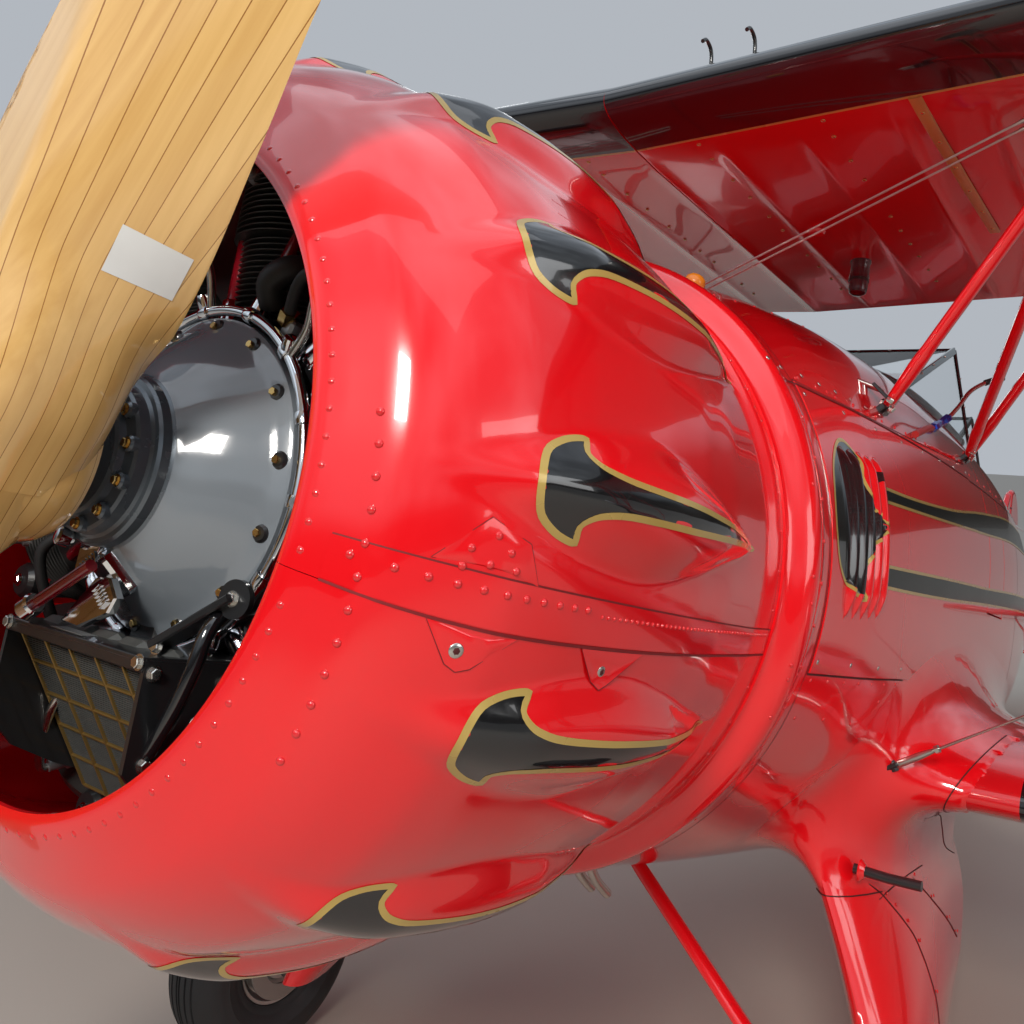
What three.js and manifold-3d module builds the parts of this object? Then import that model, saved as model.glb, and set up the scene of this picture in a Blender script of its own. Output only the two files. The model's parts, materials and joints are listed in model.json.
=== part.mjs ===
// A two-seat-wide, open-cockpit touring biplane with a faired seven-cylinder radial engine, parked
// tail-down on its main wheels and tailwheel. Units are millimetres.
// Everything is laid out in the level-flight attitude first: X to the aircraft's left, Y aft, Z up,
// with the origin where the thrust line meets the plane of the propeller. The whole aeroplane is
// then pitched nose-up about X until all three wheels touch the ground plane.

import * as THREE from "three";
import { mergeVertices } from "three/addons/utils/BufferGeometryUtils.js";
import Module from "manifold-3d";

const wasm = await Module();
wasm.setup();

// Driving dimensions of the whole aircraft
const GROUND_ANGLE = THREE.MathUtils.degToRad(12);
const DIHEDRAL = THREE.MathUtils.degToRad(2);
const GAP = 0.35;
const CHORD = 1448;
const UPPER_HALF_SPAN = 4572;
const LOWER_HALF_SPAN = 4089;
const UPPER_LE = [1169, 1024];
const LOWER_LE = [1830, -390];
const FRONT_SPAR = 250;
const REAR_SPAR = 960;

// Cowling and engine
const BUMPS = 14;
const BUMP_PITCH = 360 / BUMPS;
const BUMP_PHASE = 2.5;
const COWL_WALL = 6;
const COWL_END = 1080;
const CYLINDERS = 7;
const CYLINDER_SIDES = 10;
const CASE_SIDES = 20;
const CYLINDER_Y = 490;

// Fuselage
const NOSE_Y = COWL_END + GAP;
const BULKHEAD_Y = 3900;
const STERN_Y = 6694;
const FUSELAGE_WALL = 25;

// Undercarriage
const AXLE = [965, 1550, -1190];
const TYRE_RADIUS = 280;
const TYRE_WIDTH = 190;
const RIM_RADIUS = 132;
const AXLE_RADIUS = 25;
const TAIL_AXLE_Y = 6600;
const TAIL_TYRE_RADIUS = 130;
const TAIL_TYRE_WIDTH = 84;
const TAIL_TRAIL = 50;

// Propeller
const PROP_RADIUS = 1220;
const PROP_Y = 50;
const PROP_PARK = 58;
const PROP_PITCH = 1650;

// Hinges
const PIN_RADIUS = 8;
const PIN_SIDES = 10;
const PIN_FIT = 0.3;
const LUG_HALF = 4;
const LUG_SIDE = 1;
const COVE = 7;

const rad = THREE.MathUtils.degToRad;
const V = (x, y, z) => new THREE.Vector3(x, y, z);

// Materials
const paint = (color, roughness = 0.3, metalness = 0.0) =>
  new THREE.MeshStandardMaterial({ color, roughness, metalness });
const MATERIALS = {
  red: paint("#c8161a", 0.2),
  cowl_red: paint("#b5131a", 0.15),
  black: paint("#101010", 0.3),
  grey: paint("#4c5054", 0.35, 0.3),
  steel: paint("#b9bcc0", 0.3, 1.0),
  aluminium: paint("#9a9da1", 0.4, 1.0),
  rubber: paint("#1a1a1a", 0.9),
  wood: paint("#b57a3a", 0.25),
  floor: paint("#8a6a45", 0.6),
  leather: paint("#7a4a2a", 0.6),
  glass: new THREE.MeshStandardMaterial({
    color: "#dfe8ea", roughness: 0.05, metalness: 0, transparent: true, opacity: 0.35,
  }),
};

// Solids: closed meshes turned into manifolds and back
function solid(geometry) {
  const g = geometry.clone();
  g.deleteAttribute("normal");
  g.deleteAttribute("uv");
  const merged = mergeVertices(g, 1e-3);
  return new wasm.Manifold(
    new wasm.Mesh({
      numProp: 3,
      vertProperties: new Float32Array(merged.attributes.position.array),
      triVerts: new Uint32Array(merged.index.array),
    }),
  );
}

function geometryOf(body) {
  const mesh = body.getMesh();
  const geometry = new THREE.BufferGeometry();
  geometry.setAttribute("position", new THREE.BufferAttribute(mesh.vertProperties, 3));
  geometry.setIndex(new THREE.BufferAttribute(mesh.triVerts, 1));
  geometry.computeVertexNormals();
  return geometry;
}

function joined(...bodies) {
  return bodies.reduce((sum, body) => sum.add(body));
}

// The triangles that fill a flat ring of points, wound the way the ring runs
function fillRing(ring) {
  const across = ring[1].clone().sub(ring[0]);
  const normal = V(0, 0, 0);
  ring.forEach((p, i) => normal.add(p.clone().sub(ring[0]).cross(ring[(i + 1) % ring.length].clone().sub(ring[0]))));
  normal.normalize();
  const u = across.addScaledVector(normal, -across.dot(normal)).normalize();
  const v = normal.clone().cross(u);
  const flat = ring.map((p) => new THREE.Vector2(p.dot(u), p.dot(v)));
  const area = (a, b, c) => b.clone().sub(a).cross(c.clone().sub(a));
  return THREE.ShapeUtils.triangulateShape(flat, []).map(([a, b, c]) =>
    (area(flat[a], flat[b], flat[c]) > 0 ? [a, b, c] : [a, c, b]));
}

// A skin stretched over rings of equally many points and filled at each end.
// Four-sided faces are split the same way on the aircraft's left and right.
function loft(rings) {
  const count = rings[0].length;
  const points = rings.flat();
  const faces = [];
  for (let i = 0; i < rings.length - 1; i += 1) {
    for (let j = 0; j < count; j += 1) {
      const a = i * count + j;
      const b = i * count + ((j + 1) % count);
      if (points[a].x + points[b].x > 0) faces.push(a, b, b + count, a, b + count, a + count);
      else faces.push(a, b, a + count, b, b + count, a + count);
    }
  }
  const last = (rings.length - 1) * count;
  for (const [a, b, c] of fillRing(rings[0])) faces.push(a, c, b);
  for (const [a, b, c] of fillRing(rings[rings.length - 1])) faces.push(last + a, last + b, last + c);
  const geometry = new THREE.BufferGeometry();
  geometry.setAttribute(
    "position",
    new THREE.Float32BufferAttribute(points.flatMap((p) => [p.x, p.y, p.z]), 3),
  );
  geometry.setIndex(faces);
  const body = solid(geometry);
  if (body.volume() > 0) return body;
  geometry.setIndex(faces.reverse());
  return solid(geometry);
}

// A turned solid: profile points [radius, height], axis along +Y of the result
function turned(profile, segments, phase = 0) {
  const points = profile.map(([r, h]) => new THREE.Vector2(r, h));
  const geometry = new THREE.LatheGeometry(points, segments);
  geometry.rotateY(phase);
  const body = solid(geometry);
  if (body.volume() > 0) return geometry;
  return new THREE.LatheGeometry(points.reverse(), segments).rotateY(phase);
}

const box = (x0, x1, y0, y1, z0, z1) =>
  solid(
    new THREE.BoxGeometry(x1 - x0, y1 - y0, z1 - z0).translate(
      (x0 + x1) / 2, (y0 + y1) / 2, (z0 + z1) / 2,
    ),
  );

// A round bar between two points; with a chord it is a streamlined bar, long in the Y direction
function bar(from, to, radius, segments = 10, chord = 2 * radius) {
  const along = to.clone().sub(from);
  const geometry = new THREE.CylinderGeometry(radius, radius, along.length(), segments);
  geometry.rotateX(Math.PI / 2);
  geometry.scale(1, chord / (2 * radius), 1);
  const z = along.clone().normalize();
  const aft = Math.abs(z.y) > 0.99 ? V(0, 0, 1) : V(0, 1, 0);
  const y = aft.addScaledVector(z, -z.dot(aft)).normalize();
  const turn = new THREE.Matrix4().makeBasis(y.clone().cross(z), y, z);
  turn.setPosition(from.clone().add(to).multiplyScalar(0.5));
  return solid(geometry.applyMatrix4(turn));
}

// A plate cut to an outline in the Y-Z plane, centred on X = 0
function uprightPlate(points, thickness, bevel = 6) {
  const geometry = new THREE.ExtrudeGeometry(new THREE.Shape(points.map(([y, z]) => new THREE.Vector2(y, z))), {
    depth: thickness - 2 * bevel,
    bevelEnabled: true,
    bevelThickness: bevel,
    bevelSize: bevel,
    bevelOffset: -bevel,
    bevelSegments: 1,
  });
  geometry.translate(0, 0, bevel - thickness / 2);
  const turn = new THREE.Matrix4().makeBasis(V(0, 1, 0), V(0, 0, 1), V(1, 0, 0));
  return solid(geometry.applyMatrix4(turn));
}

// A plate cut to an outline in the X-Y plane, centred on height z
function flatPlate(points, thickness, z, bevel = 6) {
  const geometry = new THREE.ExtrudeGeometry(new THREE.Shape(points.map(([x, y]) => new THREE.Vector2(x, y))), {
    depth: thickness - 2 * bevel,
    bevelEnabled: bevel > 0,
    bevelThickness: bevel,
    bevelSize: bevel,
    bevelOffset: -bevel,
    bevelSegments: 1,
  });
  return solid(geometry.translate(0, 0, z + bevel - thickness / 2));
}

// The same piece on the aircraft's right side
function mirrored(body) {
  const geometry = geometryOf(body).scale(-1, 1, 1);
  geometry.setIndex([...geometry.index.array].reverse());
  return solid(geometry);
}

const moved = (body, matrix) => solid(geometryOf(body).applyMatrix4(matrix));

// The scene graph
const aircraft = new THREE.Group();
const level = new THREE.Group();
level.rotation.x = -GROUND_ANGLE;
aircraft.add(level);

function place(name, body, material, parent = level) {
  const mesh = new THREE.Mesh(geometryOf(body), MATERIALS[material]);
  mesh.name = name;
  level.add(mesh);
  if (parent !== level) parent.attach(mesh);
  return mesh;
}

// A pivot sits on a joint's axis, and its own X axis is the joint's axis
function pivot(name, position, axis, parent = level) {
  const group = new THREE.Group();
  group.name = name;
  group.position.copy(position);
  group.quaternion.setFromUnitVectors(V(1, 0, 0), axis.clone().normalize());
  level.add(group);
  aircraft.updateMatrixWorld(true);
  if (parent !== level) parent.attach(group);
  aircraft.updateMatrixWorld(true);
  return group;
}

// Fuselage sections: station, half width, top, bottom, squareness (2 is an ellipse)
const SECTIONS = [
  [NOSE_Y, 585, 585, -585, 2.0],
  [1095, 598, 602, -598, 2.0],
  [1130, 622, 638, -622, 2.0],
  [1160, 612, 628, -615, 2.0],
  [1500, 628, 695, -645, 2.15],
  [1850, 632, 738, -660, 2.35],
  [2150, 634, 752, -655, 2.5],
  [2600, 635, 758, -640, 2.6],
  [3000, 632, 755, -610, 2.6],
  [3500, 610, 745, -560, 2.5],
  [BULKHEAD_Y, 565, 720, -500, 2.4],
  [4500, 465, 620, -400, 2.2],
  [5400, 300, 470, -250, 2.1],
  [6150, 145, 345, -95, 2.0],
  [STERN_Y, 34, 262, 20, 2.0],
];
const SECTION_POINTS = 28;

function sectionAt(station) {
  const i = Math.max(0, SECTIONS.findIndex((row) => row[0] >= station) - 1);
  const [a, b] = [SECTIONS[i], SECTIONS[i + 1]];
  const t = (station - a[0]) / (b[0] - a[0]);
  return a.map((value, k) => value + t * (b[k] - value));
}

function fuselageRing([y, halfWidth, top, bottom, power], grow) {
  const centre = (top + bottom) / 2;
  const halfHeight = (top - bottom) / 2 + grow;
  return Array.from({ length: SECTION_POINTS }, (_, k) => {
    const angle = (2 * Math.PI * k) / SECTION_POINTS;
    const c = Math.cos(angle);
    const s = Math.sin(angle);
    return V(
      (halfWidth + grow) * Math.sign(c) * Math.abs(c) ** (2 / power),
      y,
      centre + halfHeight * Math.sign(s) * Math.abs(s) ** (2 / power),
    );
  });
}

function fuselageBody(from, to, grow = 0) {
  const between = SECTIONS.filter(([y]) => y > from + 1 && y < to - 1);
  const rows = [sectionAt(from), ...between, sectionAt(to)];
  return loft(rows.map((row) => fuselageRing(row, grow)));
}

// Everything that meets the fuselage is trimmed to it with the assembly gap
const trimFuselage = fuselageBody(NOSE_Y + 1, STERN_Y, GAP);

// Cockpit openings: front y, rear y, half width, corner radius
const COCKPITS = {
  front: { y0: 2340, y1: 3010, half: 450, corner: 150 },
  rear: { y0: 3350, y1: 3810, half: 330, corner: 150 },
};
const DOOR = { y0: 2600, y1: 2860, z0: 60, gap: 6, innerX: 250 };

function cockpitCut({ y0, y1, half, corner }) {
  const shape = new THREE.Shape();
  shape.moveTo(-half + corner, y0);
  shape.lineTo(half - corner, y0);
  shape.absarc(half - corner, y0 + corner, corner, -Math.PI / 2, 0);
  shape.absarc(half - corner, y1 - corner, corner, 0, Math.PI / 2);
  shape.absarc(-half + corner, y1 - corner, corner, Math.PI / 2, Math.PI);
  shape.absarc(-half + corner, y0 + corner, corner, Math.PI, 1.5 * Math.PI);
  const geometry = new THREE.ExtrudeGeometry(shape, { depth: 700, bevelEnabled: false, curveSegments: 4 });
  return solid(geometry.translate(0, 0, 150));
}

const cavity = fuselageBody(NOSE_Y + FUSELAGE_WALL, BULKHEAD_Y - FUSELAGE_WALL, -FUSELAGE_WALL);
const shell = fuselageBody(NOSE_Y, BULKHEAD_Y)
  .subtract(cavity)
  .subtract(cockpitCut(COCKPITS.front))
  .subtract(cockpitCut(COCKPITS.rear));

// The front cockpit's door is cut from the left side and drops down on a pin along its lower edge
const doorBox = (gap) => box(DOOR.innerX, 800, DOOR.y0 + gap, DOOR.y1 - gap, DOOR.z0 + gap, 900);
const doorHinge = V(647, (DOOR.y0 + DOOR.y1) / 2, DOOR.z0 + DOOR.gap / 2);

// Two lugs and a pin on the fuselage, and a knuckle on the door between them
const DOOR_LUGS = [2640, 2800];
const LUG_LENGTH = 20;
const DOOR_PIN = 4;
const KNUCKLE = 9;
const KNUCKLE_Y = [DOOR_LUGS[0] + 2 * LUG_LENGTH, DOOR_LUGS[1] - LUG_LENGTH];
const alongHinge = (y0, y1, radius) =>
  bar(V(doorHinge.x, y0, doorHinge.z), V(doorHinge.x, y1, doorHinge.z), radius, PIN_SIDES);
const nearHinge = (y0, y1, z0, z1) =>
  box(doorHinge.x - 26, doorHinge.x + 3, y0, y1, doorHinge.z + z0, doorHinge.z + z1);
const doorLugs = DOOR_LUGS.map((y) => joined(
  alongHinge(y, y + LUG_LENGTH, KNUCKLE),
  nearHinge(y, y + LUG_LENGTH, -26, -1),
));
const doorBore = (DOOR_PIN + PIN_FIT) / Math.cos(Math.PI / PIN_SIDES);
const doorKnuckle = joined(alongHinge(...KNUCKLE_Y, KNUCKLE), nearHinge(...KNUCKLE_Y, 5, 30))
  .subtract(alongHinge(DOOR.y0, DOOR.y1, doorBore));
const doorPin = alongHinge(DOOR_LUGS[0] + LUG_LENGTH / 2, DOOR_LUGS[1] + LUG_LENGTH / 2, DOOR_PIN);
place("forward_fuselage", joined(shell.subtract(doorBox(0)), ...doorLugs, doorPin), "red");
place("rear_fuselage", fuselageBody(BULKHEAD_Y + GAP, STERN_Y), "red");
const doorPivot = pivot("front_door_hinge", doorHinge, V(0, 1, 0));
place("front_cockpit_door", joined(shell.intersect(doorBox(DOOR.gap)), doorKnuckle), "red", doorPivot);

// Inside the cockpits: floor, instrument panels and seats, each trimmed to the inner skin
const lining = fuselageBody(NOSE_Y + 60, BULKHEAD_Y - 60, -FUSELAGE_WALL - GAP);
const FLOOR_Z = -420;
place("cockpit_floor", lining.intersect(box(-700, 700, 1300, 3830, FLOOR_Z - 18, FLOOR_Z)), "floor");

const PANELS = { front: [2300, 170], rear: [3305, 190] };
for (const [name, [y, z]] of Object.entries(PANELS)) {
  place(`instrument_panel_${name}`, lining.intersect(box(-700, 700, y, y + 12, z, 900)), "black");
}

// Seats: front of cushion, back of cushion, half width, cushion height, backrest height
const SEATS = { front: [2520, 2970, 410, -60, 430], rear: [3420, 3800, 260, -40, 450] };
for (const [name, [y0, y1, half, top, back]] of Object.entries(SEATS)) {
  const pan = box(-half, half, y0, y1, top - 120, top);
  const rest = box(-half, half, y1 - 70, y1, top - 120, back);
  const pedestal = box(-half + 60, half - 60, y0 + 60, y1 - 20, FLOOR_Z + GAP, top - 60);
  place(`seat_${name}`, joined(pan, rest, pedestal), "leather");
}

// Headrest fairing behind the rear cockpit: station, half width, height above the centre line
const HEADREST = [[3820, 150, 850], [3900, 170, 872], [4120, 155, 830], [4420, 90, 735], [4660, 24, 640]];
const HEADREST_BASE = 560;
const headrest = loft(HEADREST.map(([y, half, top]) =>
  Array.from({ length: 16 }, (_, k) => {
    const angle = (2 * Math.PI * k) / 16;
    return V(half * Math.cos(angle), y, HEADREST_BASE + (top - HEADREST_BASE) * Math.sin(angle));
  })));
const underHeadrest = box(-300, 300, 3600, 4800, 0, HEADREST_BASE);
place("headrest_fairing", headrest.subtract(trimFuselage).subtract(underHeadrest), "red");

// Windshields: a raked middle pane and two side panes that run back along the cockpit's edge.
// Each corner is [x, y, z]: foot and top of the corner post, and the side pane's rear foot.
const WINDSHIELDS = {
  front: { foot: [445, 2090, 590], top: [485, 2530, 845], rear: [500, 2850, 560] },
  rear: { foot: [340, 3130, 600], top: [360, 3490, 860], rear: [390, 3700, 580] },
};
const GLASS = 6;
function pane(corners) {
  const normal = corners[1].clone().sub(corners[0]).cross(corners[2].clone().sub(corners[0])).normalize();
  return loft([-GLASS / 2, GLASS / 2].map((offset) =>
    corners.map((corner) => corner.clone().addScaledVector(normal, offset))));
}
for (const [name, { foot, top, rear }] of Object.entries(WINDSHIELDS)) {
  const [a, b, c] = [foot, top, rear].map((p) => V(...p));
  const [a2, b2] = [a, b].map((p) => V(-p.x, p.y, p.z));
  const sidePane = pane([a, b, c]);
  const glass = joined(pane([a2, a, b, b2]), sidePane, mirrored(sidePane));
  place(`windshield_${name}`, glass.subtract(trimFuselage), "glass");
}

// Accessory panels lie on the fuselage sides behind the cowling
const panelSkin = fuselageBody(1210, 2410, 4).subtract(trimFuselage);
const sidePanel = panelSkin.intersect(box(300, 700, 1215, 2405, -145, 375));
place("side_panel_left", sidePanel, "red");
place("side_panel_right", mirrored(sidePanel), "red");

// Cowling profile over the valleys: station, radius, height of the bumps that house the rocker boxes
const COWL_PROFILE = [
  [232, 520, 0],
  [285, 566, 4],
  [350, 597, 20],
  [450, 612, 34],
  [600, 618, 38],
  [760, 612, 30],
  [880, 602, 16],
  [985, 592, 3],
  [COWL_END, 580, 0],
];
const COWL_LIP = [[203, 466], [190, 438], [197, 422], [240, 478], [285, 548]];

function cowlRing(degrees) {
  const offset = degrees / BUMP_PITCH - Math.round(degrees / BUMP_PITCH);
  const crest = Math.max(0, Math.cos(offset * Math.PI * 1.5)) ** 2;
  const outer = COWL_PROFILE.map(([y, r, bump]) => [y, r + bump * crest]);
  const inner = outer.filter((_, i) => i % 2 === 0).slice(1).map(([y, r]) => [y, r - COWL_WALL]);
  const profile = [...outer.reverse(), ...COWL_LIP, ...inner];
  const angle = rad(degrees + BUMP_PHASE);
  return profile.map(([y, r]) => V(r * Math.cos(angle), y, r * Math.sin(angle)));
}

// The seam runs down a valley on each side, so the upper piece carries eight bumps and the lower six
const COWL_PIECES = { upper: [-0.5, 8], lower: [-6.5, 6] };
const SEAM = 0.03;
const BUMP_STEPS = 4;
for (const [name, [first, bumps]] of Object.entries(COWL_PIECES)) {
  const steps = bumps * BUMP_STEPS;
  const rings = Array.from({ length: steps + 1 }, (_, k) => {
    const inset = k === 0 ? SEAM : k === steps ? -SEAM : 0;
    return cowlRing((first + (bumps * k) / steps) * BUMP_PITCH + inset);
  });
  place(`cowling_${name}`, loft(rings), "cowl_red");
}

// Engine: crankcase with its gearcase nose and the accessory block behind, and seven cylinders
const CRANKCASE = [
  [0, 112], [62, 112], [62, 130], [100, 150], [128, 190], [160, 260], [186, 318],
  [222, 342], [224, 372], [216, 392], [236, 400], [236, 610], [250, 640], [250, NOSE_Y - GAP], [0, NOSE_Y - GAP],
];
const CYLINDER = [[0, 190], [98, 190], [98, 215], [106, 225], [106, 395], [120, 410], [120, 505], [82, 540], [0, 540]];
const cylinders = Array.from({ length: CYLINDERS }, (_, k) => {
  const turn = new THREE.Matrix4().makeRotationY(-rad(90 + (360 * k) / CYLINDERS) + Math.PI / 2);
  const upright = turned(CYLINDER, CYLINDER_SIDES).rotateX(Math.PI / 2);
  return solid(upright.translate(0, CYLINDER_Y, 0).applyMatrix4(turn));
});
place("engine", joined(solid(turned(CRANKCASE, CASE_SIDES)), ...cylinders), "grey");

// Oil cooler ahead of the lowest cylinders, on a bracket from the crankcase nose
const coolerBox = box(-95, 105, 262, 368, -405, -232);
const coolerBracket = box(-30, 30, 330, 362, -234, -205);
const noseGrown = solid(turned(CRANKCASE.map(([r, y]) => [r > 0 ? r + 1.5 : 0, y]), CASE_SIDES));
place("oil_cooler", joined(coolerBox, coolerBracket).subtract(noseGrown), "black");

// Exhaust stub under the right side of the belly
const stub = joined(
  bar(V(-250, 1130, -480), V(-262, 1300, -648), 42, 14),
  bar(V(-262, 1292, -642), V(-266, 1500, -684), 42, 14),
);
place("exhaust_pipe", stub.subtract(trimFuselage), "steel");

// Propeller blade: radius, chord, thickness
const BLADE = [
  [20, 200, 112], [120, 216, 100], [220, 232, 76], [380, 246, 50], [560, 250, 35],
  [740, 232, 26], [920, 200, 19], [1080, 152, 14], [1180, 96, 10], [PROP_RADIUS, 30, 6],
];
// Blade section as fractions of chord and thickness, leading edge first
const BLADE_SECTION = [
  [-0.5, 0], [-0.42, 0.36], [-0.22, 0.68], [0.05, 0.7], [0.3, 0.42], [0.5, 0.05],
  [0.5, -0.05], [0.2, -0.28], [-0.15, -0.32], [-0.42, -0.22],
];

function bladeRings() {
  return BLADE.map(([r, chord, thickness]) => {
    const twist = Math.atan2(PROP_PITCH, 2 * Math.PI * Math.max(r, 170));
    const along = V(-Math.cos(twist), -Math.sin(twist), 0);
    const ahead = V(Math.sin(twist), -Math.cos(twist), 0);
    return BLADE_SECTION.map(([u, v]) =>
      V(0, 0, r).addScaledVector(along, -u * chord).addScaledVector(ahead, v * thickness));
  });
}

const SHAFT_END = 112;
const hubDepth = SHAFT_END - GAP - PROP_Y;
const boss = solid(turned([[0, -hubDepth], [105, -hubDepth], [105, hubDepth], [0, hubDepth]], 24));
const blade = loft(bladeRings())
  .subtract(box(-200, 200, hubDepth - 2, 400, 0, 400))
  .subtract(box(-200, 200, -400, 2 - hubDepth, 0, 400));
const otherBlade = moved(blade, new THREE.Matrix4().makeRotationY(Math.PI));
const park = new THREE.Matrix4().makeRotationY(rad(90 - PROP_PARK)).setPosition(0, PROP_Y, 0);
const propPivot = pivot("propeller_spin", V(0, PROP_Y, 0), V(0, 1, 0));
place("propeller", moved(joined(boss, blade, otherBlade), park), "wood", propPivot);
const plateFront = PROP_Y - hubDepth - GAP;
const FRONT_PLATE = [
  [0, plateFront], [92, plateFront], [92, plateFront - 12], [34, plateFront - 12],
  [34, plateFront - 40], [0, plateFront - 40],
];
place("propeller_front_plate", solid(turned(FRONT_PLATE, 24)), "steel", propPivot);

// Aerofoil: chordwise stations over the top from the trailing edge, then back underneath
const OVER = [1, 0.86, 0.7, 0.5, 0.32, 0.18, 0.08, 0.02, 0];
const UNDER = [0.015, 0.06, 0.18, 0.4, 0.7, 1];
const AEROFOIL = { thickness: 0.12, camber: 0.035, crest: 0.4, edge: 2.5 };

function camberAt(x) {
  const { camber, crest } = AEROFOIL;
  if (x < crest) return (camber / crest ** 2) * (2 * crest * x - x * x);
  return (camber / (1 - crest) ** 2) * (1 - 2 * crest + 2 * crest * x - x * x);
}

function halfThicknessAt(x) {
  const series = 0.2969 * Math.sqrt(x) - 0.126 * x - 0.3516 * x ** 2 + 0.2843 * x ** 3 - 0.1036 * x ** 4;
  return 5 * AEROFOIL.thickness * series;
}

function aerofoilRing(x, leading, chord, grow) {
  const point = (f, side) => {
    const z = camberAt(f) * chord + side * (halfThicknessAt(f) * chord + AEROFOIL.edge * f + grow);
    const stretch = f === 0 ? -grow : f === 1 ? grow : 0;
    return V(x, leading + f * chord + stretch, z);
  };
  return [...OVER.map((f) => point(f, 1)), ...UNDER.map((f) => point(f, -1))];
}

// Wings: half span, where the tip starts to round, leading edge, aileron span, root
const TIP_STATIONS = [0, 0.35, 0.6, 0.8, 0.93, 1];
const WINGS = {
  upper: { tip: UPPER_HALF_SPAN, round: 3700, lead: UPPER_LE, root: -20, aileron: [2300, 3690] },
  lower: { tip: LOWER_HALF_SPAN, round: 3240, lead: LOWER_LE, root: 330, aileron: [1950, 3230] },
};
const AILERON_HINGE = 0.77;
const hingeDepth = AILERON_HINGE * CHORD;
const hingeRise = camberAt(AILERON_HINGE) * CHORD;
const noseRadius = halfThicknessAt(AILERON_HINGE) * CHORD;

// A wing's own frame: X outboard along the spar, Y aft from the leading edge, Z up
function wingFrame({ lead }) {
  return new THREE.Matrix4().makeRotationY(-DIHEDRAL).setPosition(0, lead[0], lead[1]);
}

function wingBody({ tip, round, root }, grow = 0) {
  const rings = TIP_STATIONS.map((u) => {
    const taper = Math.sqrt(1 - (0.98 * u) ** 2);
    const x = round + u * (tip / Math.cos(DIHEDRAL) - round);
    return aerofoilRing(x, (1 - taper) * 0.42 * CHORD, taper * CHORD, grow);
  });
  return loft([aerofoilRing(root, 0, CHORD, grow), ...rings]);
}

// Hinge hardware in the frame of a hinge: X along the pin, Y aft. The lug is on the fixed piece.
const hingeTurn = (geometry) => geometry.rotateZ(Math.PI / 2);
const hingePin = (radius, half) => solid(hingeTurn(new THREE.CylinderGeometry(radius, radius, 2 * half, PIN_SIDES)));
function hingeKit(nose) {
  const plate = box(-LUG_HALF, LUG_HALF, -nose - COVE - 14, 0, -10, 10);
  const eye = hingePin(15, LUG_HALF);
  const bore = hingePin((PIN_RADIUS + PIN_FIT) / Math.cos(Math.PI / PIN_SIDES), LUG_HALF + 5);
  const slot = box(-LUG_HALF - LUG_SIDE, LUG_HALF + LUG_SIDE, -nose - 9, 20, -nose - 9, nose + 9);
  const pin = hingePin(PIN_RADIUS, LUG_HALF + LUG_SIDE + 9);
  return { lug: joined(plate, eye).subtract(bore), slot, pin };
}

// Fits hinges between a fixed and a moving piece at each of the given frames
function hinged(fixed, moving, nose, frames) {
  const { lug, slot, pin } = hingeKit(nose);
  for (const frame of frames) {
    fixed = fixed.add(moved(lug, frame));
    moving = moving.subtract(moved(slot, frame)).add(moved(pin, frame));
  }
  return [fixed, moving];
}

// Horns for the link between the ailerons: how far behind the hinge, and which side of the wing
const HORNS = { lower: [130, 1], upper: [181, -1] };
const HORN_CLEAR = 28;
const HORN_X = 2600;
const HORN_HALF = 22;
function hornRise([aft, side]) {
  const f = (hingeDepth + aft) / CHORD;
  return camberAt(f) * CHORD - hingeRise + side * (halfThicknessAt(f) * CHORD + HORN_CLEAR);
}
const LINK_EYE = 15;

// A flat pad under each lower wing takes the tie-down ring
const TIE_X = 2950;
const TIE_PAD = 12;

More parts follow.
